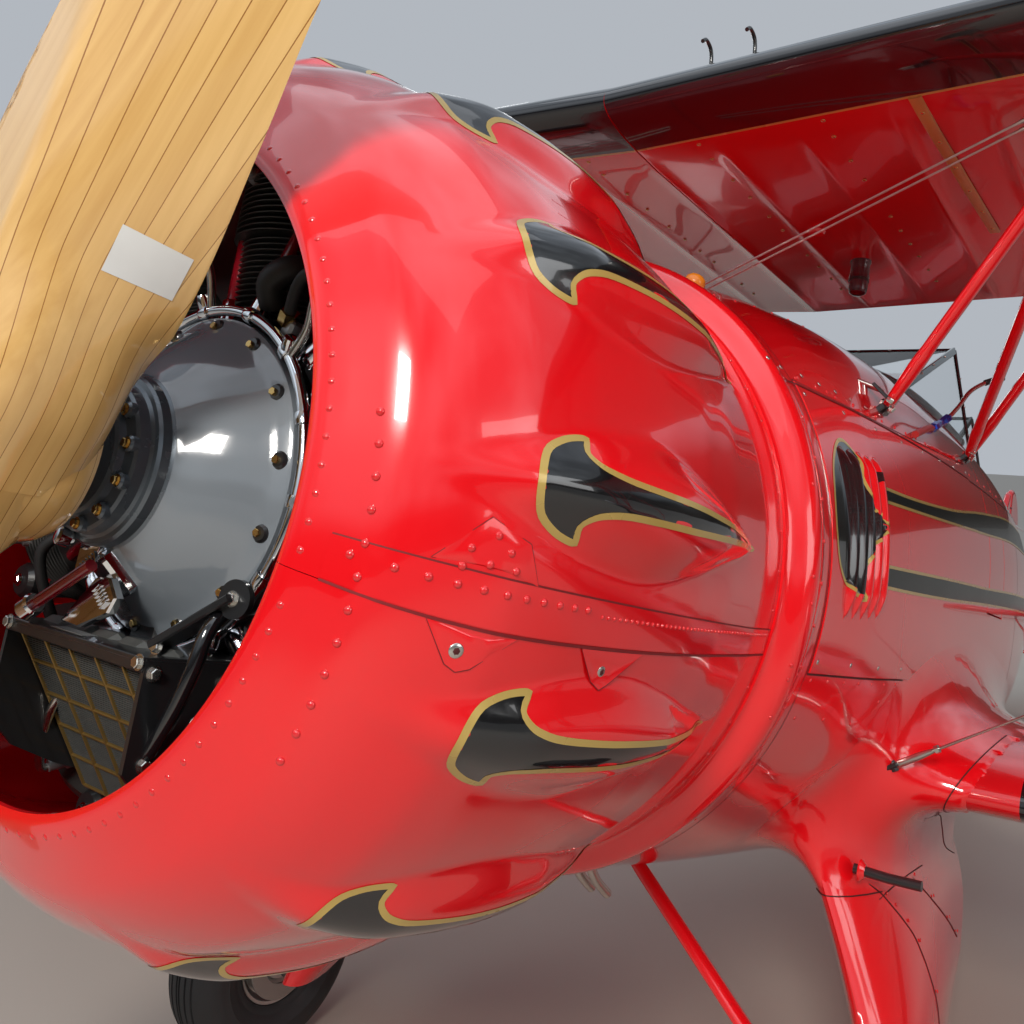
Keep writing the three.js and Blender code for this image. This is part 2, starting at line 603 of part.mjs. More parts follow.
const wingTrim = {};
const hornPoint = {};
const aileronPivots = {};
for (const [name, wing] of Object.entries(WINGS)) {
  const frame = wingFrame(wing);
  const whole = wingBody(wing);
  const [x0, x1] = wing.aileron;
  const pinFrame = (x) => new THREE.Matrix4().makeTranslation(x, hingeDepth, hingeRise);
  const middle = pinFrame((x0 + x1) / 2);
  const cove = moved(hingePin(noseRadius + COVE, (x1 - x0) / 2), middle);
  const nose = moved(hingePin(noseRadius, (x1 - x0) / 2 - COVE), middle);
  const aft = box(x0, x1, hingeDepth, 2 * CHORD, -400, 400);
  const leaf = box(x0 + COVE, x1 - COVE, hingeDepth, 2 * CHORD, -400, 400);
  const rise = hornRise(HORNS[name]);
  const hornY = hingeDepth + HORNS[name][0];
  const [hornLow, hornHigh] = [Math.min(0, rise), Math.max(0, rise)].map((z) => hingeRise + z);
  const hornPlate = box(HORN_X - LUG_HALF, HORN_X + LUG_HALF, hornY - HORN_HALF, hornY + HORN_HALF, hornLow, hornHigh);
  const atHorn = (x) => new THREE.Matrix4().makeTranslation(x, hornY, hingeRise + rise);
  const horn = joined(hornPlate, moved(hingePin(HORN_HALF, LUG_HALF), atHorn(HORN_X)));
  const hornPin = moved(hingePin(PIN_RADIUS, 10), atHorn(HORN_X + LUG_HALF + 9));
  const leafAndHorn = [whole.intersect(aft.intersect(leaf)), nose, horn, ...(name === "lower" ? [hornPin] : [])];
  const frames = [x0 + 180, x1 - 180].map(pinFrame);
  const [panel, aileron] = hinged(
    whole.subtract(joined(cove, aft)), joined(...leafAndHorn), noseRadius, frames,
  );
  const padBottom = (camberAt(FRONT_SPAR / CHORD) - halfThicknessAt(FRONT_SPAR / CHORD)) * CHORD - TIE_PAD;
  const pad = bar(V(TIE_X, FRONT_SPAR, 0), V(TIE_X, FRONT_SPAR, padBottom), 22, 12);
  const rootTrim = name === "lower" ? trimFuselage : box(-200, GAP, 0, 2 * CHORD + 1000, 0, 2000);
  const body = moved(name === "lower" ? panel.add(pad) : panel, frame).subtract(rootTrim);
  wingTrim[name] = moved(wingBody({ ...wing, root: wing.root - GAP }, GAP), frame);
  const hingePoint = V((x0 + x1) / 2, hingeDepth, hingeRise).applyMatrix4(frame);
  const axis = V(1, 0, 0).transformDirection(frame);
  hornPoint[name] = V(HORN_X, hornY, hingeRise + rise).applyMatrix4(frame);
  const swung = moved(aileron, frame);
  for (const [side, flip] of [["left", 1], ["right", -1]]) {
    const own = (piece) => (flip > 0 ? piece : mirrored(piece));
    place(`${name}_wing_${side}`, own(body), "red");
    const at = V(flip * hingePoint.x, hingePoint.y, hingePoint.z);
    const group = pivot(`aileron_${name}_${side}_hinge`, at, V(axis.x, 0, flip * axis.z));
    aileronPivots[`${name}_${side}`] = group;
    place(`aileron_${name}_${side}`, own(swung), "red", group);
  }
}

// Link struts: an eye on the lower aileron's pin, and a flat end beside the upper aileron's horn
const across = V(Math.cos(DIHEDRAL), 0, Math.sin(DIHEDRAL));
const linkSide = LUG_HALF + GAP + 8;
const linkFoot = hornPoint.lower.clone().addScaledVector(across, linkSide);
const toUpper = hornPoint.upper.clone().sub(hornPoint.lower);
toUpper.addScaledVector(across, -toUpper.dot(across));
const linkHead = linkFoot.clone().add(toUpper);
const linkFrame = (p) => new THREE.Matrix4().makeRotationY(-DIHEDRAL).setPosition(p);
const linkRod = joined(
  bar(linkFoot, linkHead, 7.5, 10, 30),
  moved(hingePin(LINK_EYE, 7.5), linkFrame(linkFoot)),
  moved(hingePin(LINK_EYE, 7.5), linkFrame(linkHead)),
);
const link = linkRod.subtract(moved(hingePin((PIN_RADIUS + PIN_FIT) / Math.cos(Math.PI / PIN_SIDES), 20), linkFrame(linkFoot)));
for (const [side, flip] of [["left", 1], ["right", -1]]) {
  const parent = aileronPivots[`lower_${side}`];
  const at = V(flip * linkFoot.x, linkFoot.y, linkFoot.z);
  const group = pivot(`aileron_link_${side}_eye`, at, V(across.x, 0, flip * across.z), parent);
  place(`aileron_link_${side}`, flip > 0 ? link : mirrored(link), "red", group);
}

// Struts: points are where the bars meet, just clear of the skins, with stubs running on into them
function strutFrame(bars, stubs, radius, chord) {
  const pieces = bars.map(([a, b]) => bar(a, b, radius, 8, chord));
  const ends = stubs.map(([p, into]) => bar(p.clone().addScaledVector(into, -20), p.clone().addScaledVector(into, 90), radius + 2, 8, chord));
  return joined(...pieces, ...ends).subtract(trimFuselage).subtract(wingTrim.upper).subtract(wingTrim.lower);
}

function onWing(name, x, depth, side, clear) {
  const f = depth / CHORD;
  const z = camberAt(f) * CHORD + side * (halfThicknessAt(f) * CHORD + clear);
  return V(x, depth, z).applyMatrix4(wingFrame(WINGS[name]));
}

const UP = V(0, 0, 1);
const DOWN = V(0, 0, -1);
const STRUT_X = 2950;
const STRUT_CLEAR = 30;
const outer = {
  frontTop: onWing("upper", STRUT_X, FRONT_SPAR, -1, STRUT_CLEAR),
  rearTop: onWing("upper", STRUT_X, REAR_SPAR, -1, STRUT_CLEAR),
  frontFoot: onWing("lower", STRUT_X, FRONT_SPAR, 1, STRUT_CLEAR),
  rearFoot: onWing("lower", STRUT_X, REAR_SPAR, 1, STRUT_CLEAR),
};
const interplane = strutFrame(
  [[outer.frontFoot, outer.frontTop], [outer.rearFoot, outer.rearTop], [outer.rearFoot, outer.frontTop]],
  [[outer.frontTop, UP], [outer.rearTop, UP], [outer.frontFoot, DOWN], [outer.rearFoot, DOWN]],
  16, 76,
);

const CABANE_TOP_X = 950;
const cabanePoints = {
  frontTop: onWing("upper", CABANE_TOP_X, 281, -1, STRUT_CLEAR),
  rearTop: onWing("upper", CABANE_TOP_X, 985, -1, STRUT_CLEAR),
  frontFoot: V(549, 1673, 449),
  rearFoot: V(571, 2455, 502),
};
const INTO_DECK = V(-0.75, 0, -0.66);
const cabane = strutFrame(
  [
    [cabanePoints.frontFoot, cabanePoints.frontTop],
    [cabanePoints.rearFoot, cabanePoints.rearTop],
    [cabanePoints.rearFoot, cabanePoints.frontTop],
  ],
  [
    [cabanePoints.frontTop, UP], [cabanePoints.rearTop, UP],
    [cabanePoints.frontFoot, INTO_DECK], [cabanePoints.rearFoot, INTO_DECK],
  ],
  14, 46,
);

// Main stays: from, to; each end runs into the skin and is trimmed back to it
const WIRE_RADIUS = 4;
const WIRE_CHORD = 14;
const WIRES = {
  flying_wire_front: [V(500, 1788, -406), onWing("upper", 2880, FRONT_SPAR, -1, -30)],
  flying_wire_rear: [onWing("lower", 720, REAR_SPAR, 1, -30), onWing("upper", 2880, REAR_SPAR, -1, -30)],
  landing_wire: [onWing("upper", 1040, 250, -1, -30), onWing("lower", 2880, FRONT_SPAR + 30, 1, -30)],
};
const mainWires = Object.entries(WIRES).map(([name, [a, b]]) => [
  name,
  bar(a, b, WIRE_RADIUS, 6, WIRE_CHORD)
    .subtract(trimFuselage).subtract(wingTrim.upper).subtract(wingTrim.lower),
]);

// Undercarriage leg: height, middle x, front y, rear y, thickness
const LEG = [
  [-370, 425, 1650, 2640, 110],
  [-640, 565, 1640, 2540, 104],
  [-900, 690, 1590, 2100, 92],
  [-1150, 786, 1500, 1730, 84],
  [-1225, 806, 1490, 1640, 60],
];
const STREAMLINE = [[0, 0], [0.06, 0.32], [0.2, 0.5], [0.45, 0.46], [0.75, 0.24], [1, 0.04]];
const legRings = LEG.map(([z, x, y0, y1, thick]) => {
  const side = (s) => STREAMLINE.map(([u, w]) => V(x + s * w * thick, y0 + u * (y1 - y0), z));
  return [...side(1), ...side(-1).slice(1).reverse()];
});
const axleEnd = AXLE[0] + 88;
const hubInner = AXLE[0] - TYRE_WIDTH / 2 + 20;
const legParts = joined(
  loft(legRings),
  bar(V(770, 1566, -1150), V(60, 1660, -620), 15, 10, 54),
  bar(V(790, AXLE[1], AXLE[2]), V(axleEnd, AXLE[1], AXLE[2]), AXLE_RADIUS, 16),
  bar(V(800, AXLE[1], AXLE[2]), V(hubInner - 6, AXLE[1], AXLE[2]), 46, 16),
);
const leg = legParts.subtract(trimFuselage).subtract(wingTrim.lower);

// Main wheels. Rims are twenty sided with a flat resting on the ground.
const WHEEL_SIDES = 20;
const onFlats = 1 / Math.cos(Math.PI / WHEEL_SIDES);
const restPhase = Math.PI / WHEEL_SIDES;
const RIM_SEAT = RIM_RADIUS + GAP;
const TYRE_PROFILE = [
  [RIM_SEAT, -0.36], [205, -0.5], [258, -0.4], [TYRE_RADIUS, -0.18],
  [TYRE_RADIUS, 0.18], [258, 0.4], [205, 0.5], [RIM_SEAT, 0.36], [RIM_SEAT, -0.36],
];
const axleBore = (AXLE_RADIUS + PIN_FIT) * onFlats;
const HUB_PROFILE = [
  [axleBore, -75], [60, -75], [66, -60], [118, -66], [RIM_RADIUS, -66], [RIM_RADIUS, 66],
  [118, 66], [96, 82], [52, 96], [axleBore, 98], [axleBore, -75],
];

// Turned pieces spin about Y, so a wheel is laid over to spin about X with a flat underneath
function wheelBody(profile, sides, groundTurn) {
  const geometry = turned(profile, sides, restPhase);
  geometry.rotateZ(-Math.PI / 2).rotateX(groundTurn);
  return solid(geometry);
}
const tyreProfile = TYRE_PROFILE.map(([r, w]) => [r * onFlats, w * TYRE_WIDTH]);
const hubProfile = HUB_PROFILE.map(([r, w]) => [r === RIM_RADIUS ? r * onFlats : r, w]);
const atAxle = new THREE.Matrix4().makeTranslation(...AXLE);
const tyre = moved(wheelBody(tyreProfile, WHEEL_SIDES, GROUND_ANGLE), atAxle);
const hub = moved(wheelBody(hubProfile, WHEEL_SIDES, GROUND_ANGLE), atAxle);

// Tailwheel, laid out square to the ground: its axle height follows from the ground angle
const cosine = Math.cos(GROUND_ANGLE);
const sine = Math.sin(GROUND_ANGLE);
const groundHeight = AXLE[2] * cosine - AXLE[1] * sine - TYRE_RADIUS;
const tailAxleZ = (groundHeight + TAIL_TYRE_RADIUS + TAIL_AXLE_Y * sine) / cosine;
const tailFrame = new THREE.Matrix4()
  .makeRotationX(GROUND_ANGLE)
  .setPosition(0, TAIL_AXLE_Y, tailAxleZ);
const TAIL_PROFILE = [
  [52, -0.34], [96, -0.5], [TAIL_TYRE_RADIUS, -0.22], [TAIL_TYRE_RADIUS, 0.22], [96, 0.5], [52, 0.34], [52, -0.34],
];
const tailBore = (10 + PIN_FIT) / Math.cos(Math.PI / 16);
const TAIL_HUB = [[tailBore, -34], [60, -28], [60, 28], [tailBore, 34], [tailBore, -34]];
const tailTyre = wheelBody(TAIL_PROFILE.map(([r, w]) => [r * onFlats, w * TAIL_TYRE_WIDTH]), WHEEL_SIDES, 0);
const tailHub = wheelBody(TAIL_HUB, 16, 0);
const CROWN = TAIL_TYRE_RADIUS + 10;
const forkCheek = box(TAIL_TYRE_WIDTH / 2 + 6, TAIL_TYRE_WIDTH / 2 + 14, -TAIL_TRAIL - 22, 18, -20, CROWN + 14);
const fork = joined(
  forkCheek,
  mirrored(forkCheek),
  box(-TAIL_TYRE_WIDTH / 2 - 14, TAIL_TYRE_WIDTH / 2 + 14, -TAIL_TRAIL - 22, 18, CROWN, CROWN + 14),
  bar(V(-56, 0, 0), V(56, 0, 0), 10, 12),
  bar(V(0, -TAIL_TRAIL, CROWN + 10), V(0, -TAIL_TRAIL, CROWN + 62), 16, 16),
);
const springTop = CROWN + 14 + GAP;
const kingBore = (16 + PIN_FIT) / Math.cos(Math.PI / 16);
const socket = joined(
  bar(V(0, -TAIL_TRAIL, springTop), V(0, -TAIL_TRAIL, springTop + 40), 32, 16),
  bar(V(0, -TAIL_TRAIL - 5, springTop + 22), V(0, -740, springTop + 190), 30, 8, 20),
).subtract(bar(V(0, -TAIL_TRAIL, springTop - 5), V(0, -TAIL_TRAIL, springTop + 60), kingBore, 16));

// Tail surfaces. Outlines are [y, z] for upright plates and [x, y] for flat ones.
const RUDDER_HINGE_Y = 6726;
const PLATE = 44;
const tailNose = PLATE / 2;
const FIN = [[5880, 330], [6150, 505], [6400, 760], [6560, 985], [6640, 1085], [6700, 1110], [6700, 250], [6000, 250]];
const RUDDER = [
  [RUDDER_HINGE_Y, -60], [RUDDER_HINGE_Y, 1118], [6800, 1150], [6930, 1120], [7050, 1010], [7130, 830],
  [7164, 600], [7150, 380], [7090, 190], [6990, 50], [6860, -40],
];
const STABILISER = [[30, 5790], [300, 5830], [900, 5960], [1330, 6100], [1520, 6230], [1590, 6424], [30, 6424]];
const ELEVATOR = [[88, 6450], [1592, 6450], [1600, 6520], [1540, 6640], [1330, 6760], [900, 6860], [420, 6890], [250, 6880], [120, 6640]];
const TAIL_Z = 245;
const finPlate = uprightPlate(FIN, PLATE, 8).subtract(trimFuselage);
const postNose = bar(V(0, RUDDER_HINGE_Y, -52), V(0, RUDDER_HINGE_Y, 1110), tailNose, 16);
const upFrame = (z) => new THREE.Matrix4().makeBasis(V(0, 0, 1), V(0, 1, 0), V(-1, 0, 0)).setPosition(0, RUDDER_HINGE_Y, z);
const rudderCove = bar(V(0, RUDDER_HINGE_Y, -80), V(0, RUDDER_HINGE_Y, 1150), tailNose + COVE, 16);
const [fin, rudder] = hinged(
  finPlate.subtract(rudderCove),
  joined(uprightPlate(RUDDER, PLATE, 8), postNose),
  tailNose,
  [upFrame(480), upFrame(1000)],
);
const stabPlate = flatPlate(STABILISER, PLATE, TAIL_Z, 8).subtract(trimFuselage);
const ELEVATOR_HINGE_Y = 6452;
const elevatorNose = bar(V(96, ELEVATOR_HINGE_Y, TAIL_Z), V(1586, ELEVATOR_HINGE_Y, TAIL_Z), tailNose, 16);
const elevatorFrame = (x) => new THREE.Matrix4().makeTranslation(x, ELEVATOR_HINGE_Y, TAIL_Z);
const stabCove = bar(V(10, ELEVATOR_HINGE_Y, TAIL_Z), V(1700, ELEVATOR_HINGE_Y, TAIL_Z), tailNose + COVE, 16);
const [stabiliser, elevator] = hinged(
  stabPlate.subtract(stabCove),
  joined(flatPlate(ELEVATOR, PLATE, TAIL_Z, 8), elevatorNose),
  tailNose,
  [elevatorFrame(420), elevatorFrame(1250)],
);
const tailTrim = flatPlate(STABILISER, PLATE + 2 * GAP, TAIL_Z, 0);
const tailStrut = bar(V(20, 6120, -60), V(860, 6250, TAIL_Z), 11, 10, 40).subtract(trimFuselage).subtract(tailTrim);

place("fin", fin.subtract(tailTrim), "red");
const rudderPivot = pivot("rudder_hinge", V(0, RUDDER_HINGE_Y, 500), V(0, 0, 1));
place("rudder", rudder, "red", rudderPivot);
const elevatorPivot = pivot("elevator_hinge", V(0, ELEVATOR_HINGE_Y, TAIL_Z), V(1, 0, 0));

// Tailwheel assembly: a leaf spring under the stern, a steering fork and the wheel
place("tailwheel_spring", moved(socket, tailFrame).subtract(trimFuselage), "steel");
const kingPoint = V(0, -TAIL_TRAIL, CROWN).applyMatrix4(tailFrame);
const kingAxis = V(0, 0, 1).transformDirection(tailFrame);
const steerPivot = pivot("tailwheel_steer", kingPoint, kingAxis);
place("tailwheel_fork", moved(fork, tailFrame), "steel", steerPivot);
const tailPivot = pivot("tailwheel_spin", V(0, TAIL_AXLE_Y, tailAxleZ), V(1, 0, 0), steerPivot);
place("tailwheel", moved(joined(tailTyre, tailHub), tailFrame), "rubber", tailPivot);

// Pieces that come in left and right pairs
const PAIRS = [
  ["stabiliser", stabiliser, "red"],
  ["tail_strut", tailStrut, "red"],
  ["interplane_strut", interplane, "red"],
  ["cabane_strut", cabane, "red"],
  ["gear_leg", leg, "red"],
  ...mainWires.map(([name, body]) => [name, body, "steel"]),
];
for (const [name, body, material] of PAIRS) {
  place(`${name}_left`, body, material);
  place(`${name}_right`, mirrored(body), material);
}
place("elevator_left", elevator, "red", elevatorPivot);
place("elevator_right", mirrored(elevator), "red", elevatorPivot);
for (const [side, flip] of [["left", 1], ["right", -1]]) {
  const own = (piece) => (flip > 0 ? piece : mirrored(piece));
  const wheelPivot = pivot(`wheel_${side}_spin`, V(flip * AXLE[0], AXLE[1], AXLE[2]), V(1, 0, 0));
  place(`tyre_${side}`, own(tyre), "rubber", wheelPivot);
  place(`wheel_hub_${side}`, own(hub), "aluminium", wheelPivot);
}

// Stand the aircraft on the ground plane, centred over the origin
aircraft.updateMatrixWorld(true);
const extent = new THREE.Box3().setFromObject(aircraft, true);
const centre = extent.getCenter(new THREE.Vector3());
level.position.set(-centre.x, -centre.y, -extent.min.z);
aircraft.updateMatrixWorld(true);

export default aircraft;
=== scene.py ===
# Open-cockpit touring biplane: the visual model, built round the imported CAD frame
import json
import math

import bmesh
import bpy
import numpy as np
from mathutils import Matrix, Vector
from mathutils.bvhtree import BVHTree
from mathutils.geometry import delaunay_2d_cdt, tessellate_polygon

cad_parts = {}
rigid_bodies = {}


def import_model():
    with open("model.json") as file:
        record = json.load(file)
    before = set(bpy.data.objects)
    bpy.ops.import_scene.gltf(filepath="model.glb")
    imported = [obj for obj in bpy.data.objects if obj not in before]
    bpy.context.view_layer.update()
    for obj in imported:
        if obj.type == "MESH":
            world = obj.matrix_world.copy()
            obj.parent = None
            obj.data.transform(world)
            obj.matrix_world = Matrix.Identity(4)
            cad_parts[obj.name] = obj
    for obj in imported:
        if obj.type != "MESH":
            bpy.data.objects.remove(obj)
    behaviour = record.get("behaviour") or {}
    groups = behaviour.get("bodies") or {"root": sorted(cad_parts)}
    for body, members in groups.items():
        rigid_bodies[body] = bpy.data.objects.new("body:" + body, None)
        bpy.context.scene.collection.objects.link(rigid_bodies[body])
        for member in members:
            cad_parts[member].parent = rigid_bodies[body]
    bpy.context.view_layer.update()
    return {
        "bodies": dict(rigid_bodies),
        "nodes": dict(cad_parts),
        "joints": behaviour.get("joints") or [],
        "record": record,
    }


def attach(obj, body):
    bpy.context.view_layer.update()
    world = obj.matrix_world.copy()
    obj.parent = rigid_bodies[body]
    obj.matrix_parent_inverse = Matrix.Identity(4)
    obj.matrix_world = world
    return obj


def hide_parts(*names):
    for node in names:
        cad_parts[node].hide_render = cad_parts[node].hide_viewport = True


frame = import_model()

# Camera: fitted to the photograph, beside the left front of the nose at standing eye height. Its
# place and axes are in the parked frame; the picture's centre is given in pixels.
PHOTO_PX, FOCAL_PX, CENTRE_PX = 1024, 930.66, (549.52, 456.68)
camera = bpy.data.cameras.new("photo_camera")
camera.sensor_width = 36.0
camera.lens = FOCAL_PX / PHOTO_PX * camera.sensor_width
camera.shift_x = -(CENTRE_PX[0] - PHOTO_PX / 2) / PHOTO_PX
camera.shift_y = (CENTRE_PX[1] - PHOTO_PX / 2) / PHOTO_PX
camera.clip_start = 0.05
eye = bpy.data.objects.new("photo_camera", camera)
bpy.context.scene.collection.objects.link(eye)
right = Vector((0.81366977, 0.57996692, 0.03974759))
up = Vector((-0.05006429, 0.00178996, 0.99874439))
back = -Vector((-0.57916756, 0.81463806, -0.03049207))
eye.matrix_world = (Matrix.Translation((1.14938447, -3.90128874, 1.77855044))
                    @ Matrix((right, up, back)).transposed().to_4x4())
bpy.context.scene.camera = eye

# Studio: a plain pale floor under a pale, softly clouded sky with a dark horizon, which the camera
# and the glass see as one plain colour. A key light stands over the left of the nose, and three
# weaker soft lights give the gloss paint something to reflect.
def add(tree, kind, wires=(), **values):
    """A shader node with its input values and its wires, pairs of an input and a source."""
    node = tree.nodes.new("ShaderNode" + kind)
    for socket, value in values.items():
        node.inputs[socket.replace("_", " ")].default_value = value
    for socket, source in wires:
        tree.links.new(source, node.inputs[socket])
    return node


def colour_mix(tree, share, first, second):
    """A colour between two, each given as a colour or as another node's output."""
    mix = tree.nodes.new("ShaderNodeMix")
    mix.data_type = "RGBA"
    tree.links.new(share, mix.inputs[0])
    for socket, value in ((6, first), (7, second)):
        if isinstance(value, tuple):
            mix.inputs[socket].default_value = (*value, 1)
        else:
            tree.links.new(value, mix.inputs[socket])
    return mix.outputs[2]


def maths(tree, kind, a, b=None):
    """A sum of one or two values, each a number or another node's output."""
    node = tree.nodes.new("ShaderNodeMath")
    node.operation = kind
    for socket, value in ((0, a), (1, b)):
        if isinstance(value, (int, float)):
            node.inputs[socket].default_value = value
        elif value is not None:
            tree.links.new(value, node.inputs[socket])
    return node.outputs[0]


world = bpy.data.worlds.new("pale_room")
world.use_nodes = True
room = world.node_tree
way = add(room, "TexCoord").outputs["Generated"]
split = add(room, "SeparateXYZ", [(0, way)])
ramp = add(room, "ValToRGB", [("Fac", split.outputs["Z"])])
for stop, place, colour in zip(ramp.color_ramp.elements, (0.02, 1.0),
                               ((0.070, 0.062, 0.055, 1), (0.80, 0.90, 1.05, 1))):
    stop.position, stop.color = place, colour
for place, colour in ((0.12, (0.10, 0.10, 0.10, 1)), (0.20, (0.62, 0.70, 0.78, 1)),
                      (0.45, (0.85, 0.92, 1.0, 1))):
    ramp.color_ramp.elements.new(place).color = colour
cloud = add(room, "TexNoise", [("Vector", way)], Scale=2.6, Detail=5.0)
puffs = add(room, "MapRange", [("Value", cloud.outputs["Fac"])],
            From_Min=0.38, From_Max=0.66, To_Min=0.55, To_Max=1.45)
lit = room.nodes.new("ShaderNodeVectorMath")
lit.operation = "SCALE"
room.links.new(ramp.outputs["Color"], lit.inputs[0])
room.links.new(puffs.outputs["Result"], lit.inputs["Scale"])
seen = add(room, "LightPath").outputs
direct = maths(room, "MAXIMUM", seen["Is Camera Ray"], seen["Is Transmission Ray"])
sky = colour_mix(room, direct, lit.outputs[0], (0.72, 0.77, 0.84))
room.links.new(sky, room.nodes["Background"].inputs["Color"])
room.nodes["Background"].inputs["Strength"].default_value = 0.62
bpy.context.scene.world = world
bpy.context.scene.view_settings.view_transform = "Standard"


def soft_light(name, place, target, size, power, colour=(1, 1, 1)):
    """A square lamp at a place, turned to its target."""
    light = bpy.data.lights.new(name, "AREA")
    light.shape = "RECTANGLE"
    light.size, light.size_y = size
    light.energy = power
    light.color = colour
    lamp = bpy.data.objects.new(name, light)
    lamp.location = place
    lamp.rotation_euler = (Vector(target) - Vector(place)).to_track_quat("-Z", "Y").to_euler()
    bpy.context.scene.collection.objects.link(lamp)


soft_light("key_light", (2.6, -8.6, 5.6), (0, -2.6, 1.7), (1.5, 1.5), 420, (1.0, 0.96, 0.90))
soft_light("sky_light", (0.5, -3.2, 8.5), (0, -1.5, 1.2), (9.0, 7.0), 130, (0.93, 0.96, 1.0))
soft_light("side_light", (8.5, -2.0, 3.6), (0, -0.6, 1.2), (5.0, 3.0), 110)
soft_light("tail_light", (-6.5, 6.5, 4.6), (0, 1.0, 1.0), (4.0, 4.0), 150)


# Every painted or plated finish is one shader whose colour, gloss and surface relief vary a
# little from place to place, as brushed, sprayed and handled surfaces do.
def finish(name, colour, rough=0.3, metal=0.0, coat=0.0, vary=0.12, grain=4.0, relief=(),
           rough_vary=0.05, stretch=(1, 1, 1), **extra):
    material = bpy.data.materials.new(name)
    material.use_nodes = True
    tree = material.node_tree
    shader = tree.nodes["Principled BSDF"]
    for socket, value in {"Metallic": metal, "Coat Weight": coat, "Coat Roughness": 0.02, **extra}.items():
        shader.inputs[socket].default_value = value
    turn = add(tree, "Mapping", [("Vector", add(tree, "TexCoord").outputs["Object"])], Scale=stretch)
    mottle = add(tree, "TexNoise", [("Vector", turn.outputs["Vector"])], Scale=grain, Detail=6.0)
    dark = tuple(c * (1 - vary) for c in colour)
    light = tuple(min(1.0, c * (1 + vary) + 0.004 * vary) for c in colour)
    tree.links.new(colour_mix(tree, mottle.outputs["Fac"], dark, light), shader.inputs["Base Color"])
    spread = add(tree, "MapRange", [("Value", mottle.outputs["Fac"])],
                 To_Min=max(0.0, rough - rough_vary), To_Max=rough + rough_vary)
    tree.links.new(spread.outputs["Result"], shader.inputs["Roughness"])
    normal = None
    for scale, strength, distance in relief:
        wave = add(tree, "TexNoise", [("Vector", turn.outputs["Vector"])], Scale=scale, Detail=2.0)
        bump = add(tree, "Bump", [("Height", wave.outputs["Fac"])], Strength=strength, Distance=distance)
        if normal:
            tree.links.new(normal, bump.inputs["Normal"])
        normal = bump.outputs["Normal"]
    if normal:
        tree.links.new(normal, shader.inputs["Normal"])
    return material


floor_paint = finish("studio_floor", (0.43, 0.385, 0.33), rough=0.6, vary=0.03, grain=1.5)
floor_mesh = bpy.data.meshes.new("studio_floor")
FLOOR_HALF = 60
floor_mesh.from_pydata([(x * FLOOR_HALF, y * FLOOR_HALF, 0) for x, y in ((-1, -1), (1, -1), (1, 1), (-1, 1))],
                       [], [(0, 1, 2, 3)])
floor_mesh.materials.append(floor_paint)
studio_floor = bpy.data.objects.new("studio_floor", floor_mesh)
bpy.context.scene.collection.objects.link(studio_floor)

# Cowling: fourteen blisters over the rocker boxes, pressed in aluminium in an upper and a lower
# half that are screwed together along a lapped seam, sprayed gloss red. Shapes are laid out in
# the level-flight attitude: X to the left, Y aft of the propeller, Z up from the thrust line.
STANCE = math.radians(12)
LEVEL = Matrix.Translation((0, -3.485678, 1.766259)) @ Matrix.Rotation(-STANCE, 4, "X")
SIDES = ((1, "left"), (-1, "right"))
LEFT, AFT, UP, AHEAD = (1, 0, 0), (0, 1, 0), (0, 0, 1), (0, -1, 0)
SMOOTH = math.radians(32)
scene_root = bpy.context.scene.collection
SPRAYED = [(2.2, 0.10, 0.004), (160, 0.03, 0.0004)]
gloss_red = finish("gloss_red", (0.80, 0.0045, 0.009), rough=0.16, coat=1.0, vary=0.05, grain=1.3,
                   rough_vary=0.03, relief=SPRAYED)
gloss_black = finish("gloss_black", (0.006, 0.006, 0.007), rough=0.12, coat=1.0, vary=0.2,
                     rough_vary=0.03, relief=SPRAYED)
gold_line = finish("gold_line", (0.55, 0.38, 0.10), rough=0.28, metal=0.25, coat=0.6, vary=0.08)
seam_shadow = finish("seam_shadow", (0.07, 0.003, 0.003), rough=0.75, vary=0.3)
rivet_red = finish("rivet_red", (0.70, 0.010, 0.014), rough=0.14, coat=1.0, vary=0.08, grain=60)
bright_screw = finish("bright_screw", (0.62, 0.60, 0.56), rough=0.25, metal=1.0, vary=0.15, grain=90)
brass = finish("brass", (0.62, 0.42, 0.16), rough=0.25, metal=1.0, vary=0.15, grain=60)
polished = finish("polished_plate", (0.80, 0.81, 0.83), rough=0.07, metal=1.0, vary=0.05, grain=25,
                  rough_vary=0.04, relief=[(70, 0.04, 0.0005)])


def made(name, points, faces, materials, body="airframe", sharp=32, marks=None, turned_out=True,
         parked=True):
    """A mesh from level-attitude points, parked unless told not; marks gives each face's material."""
    mesh = bpy.data.meshes.new(name)
    mesh.from_pydata([tuple(p) for p in points], [], [tuple(f) for f in faces])
    for material in materials if isinstance(materials, (list, tuple)) else [materials]:
        mesh.materials.append(material)
    if marks is not None:
        mesh.polygons.foreach_set("material_index", marks)
    if turned_out:
        shape = bmesh.new()
        shape.from_mesh(mesh)
        bmesh.ops.remove_doubles(shape, verts=shape.verts, dist=1e-6)
        bmesh.ops.recalc_face_normals(shape, faces=shape.faces)
        shape.to_mesh(mesh)
        shape.free()
    if parked:
        mesh.transform(LEVEL)
    mesh.shade_smooth()
    mesh.set_sharp_from_angle(angle=math.radians(sharp))
    piece = bpy.data.objects.new(name, mesh)
    scene_root.objects.link(piece)
    if body:
        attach(piece, body)
    return piece


def lofted(rings, around=True, caps=True):
    """Points and faces of a skin over rings of equally many points, capped at both ends."""
    count = len(rings[0])
    points = [p for ring in rings for p in ring]
    faces = []
    for i in range(len(rings) - 1):
        for j in range(count if around else count - 1):
            a, b = i * count + j, i * count + (j + 1) % count
            faces.append((a, b, b + count, a + count))
    if caps:
        last = (len(rings) - 1) * count
        for ring, start in ((rings[0], 0), (rings[-1], last)):
            for triangle in tessellate_polygon([[Vector(p) for p in ring]]):
                faces.append(tuple(start + k for k in triangle))
    return points, faces


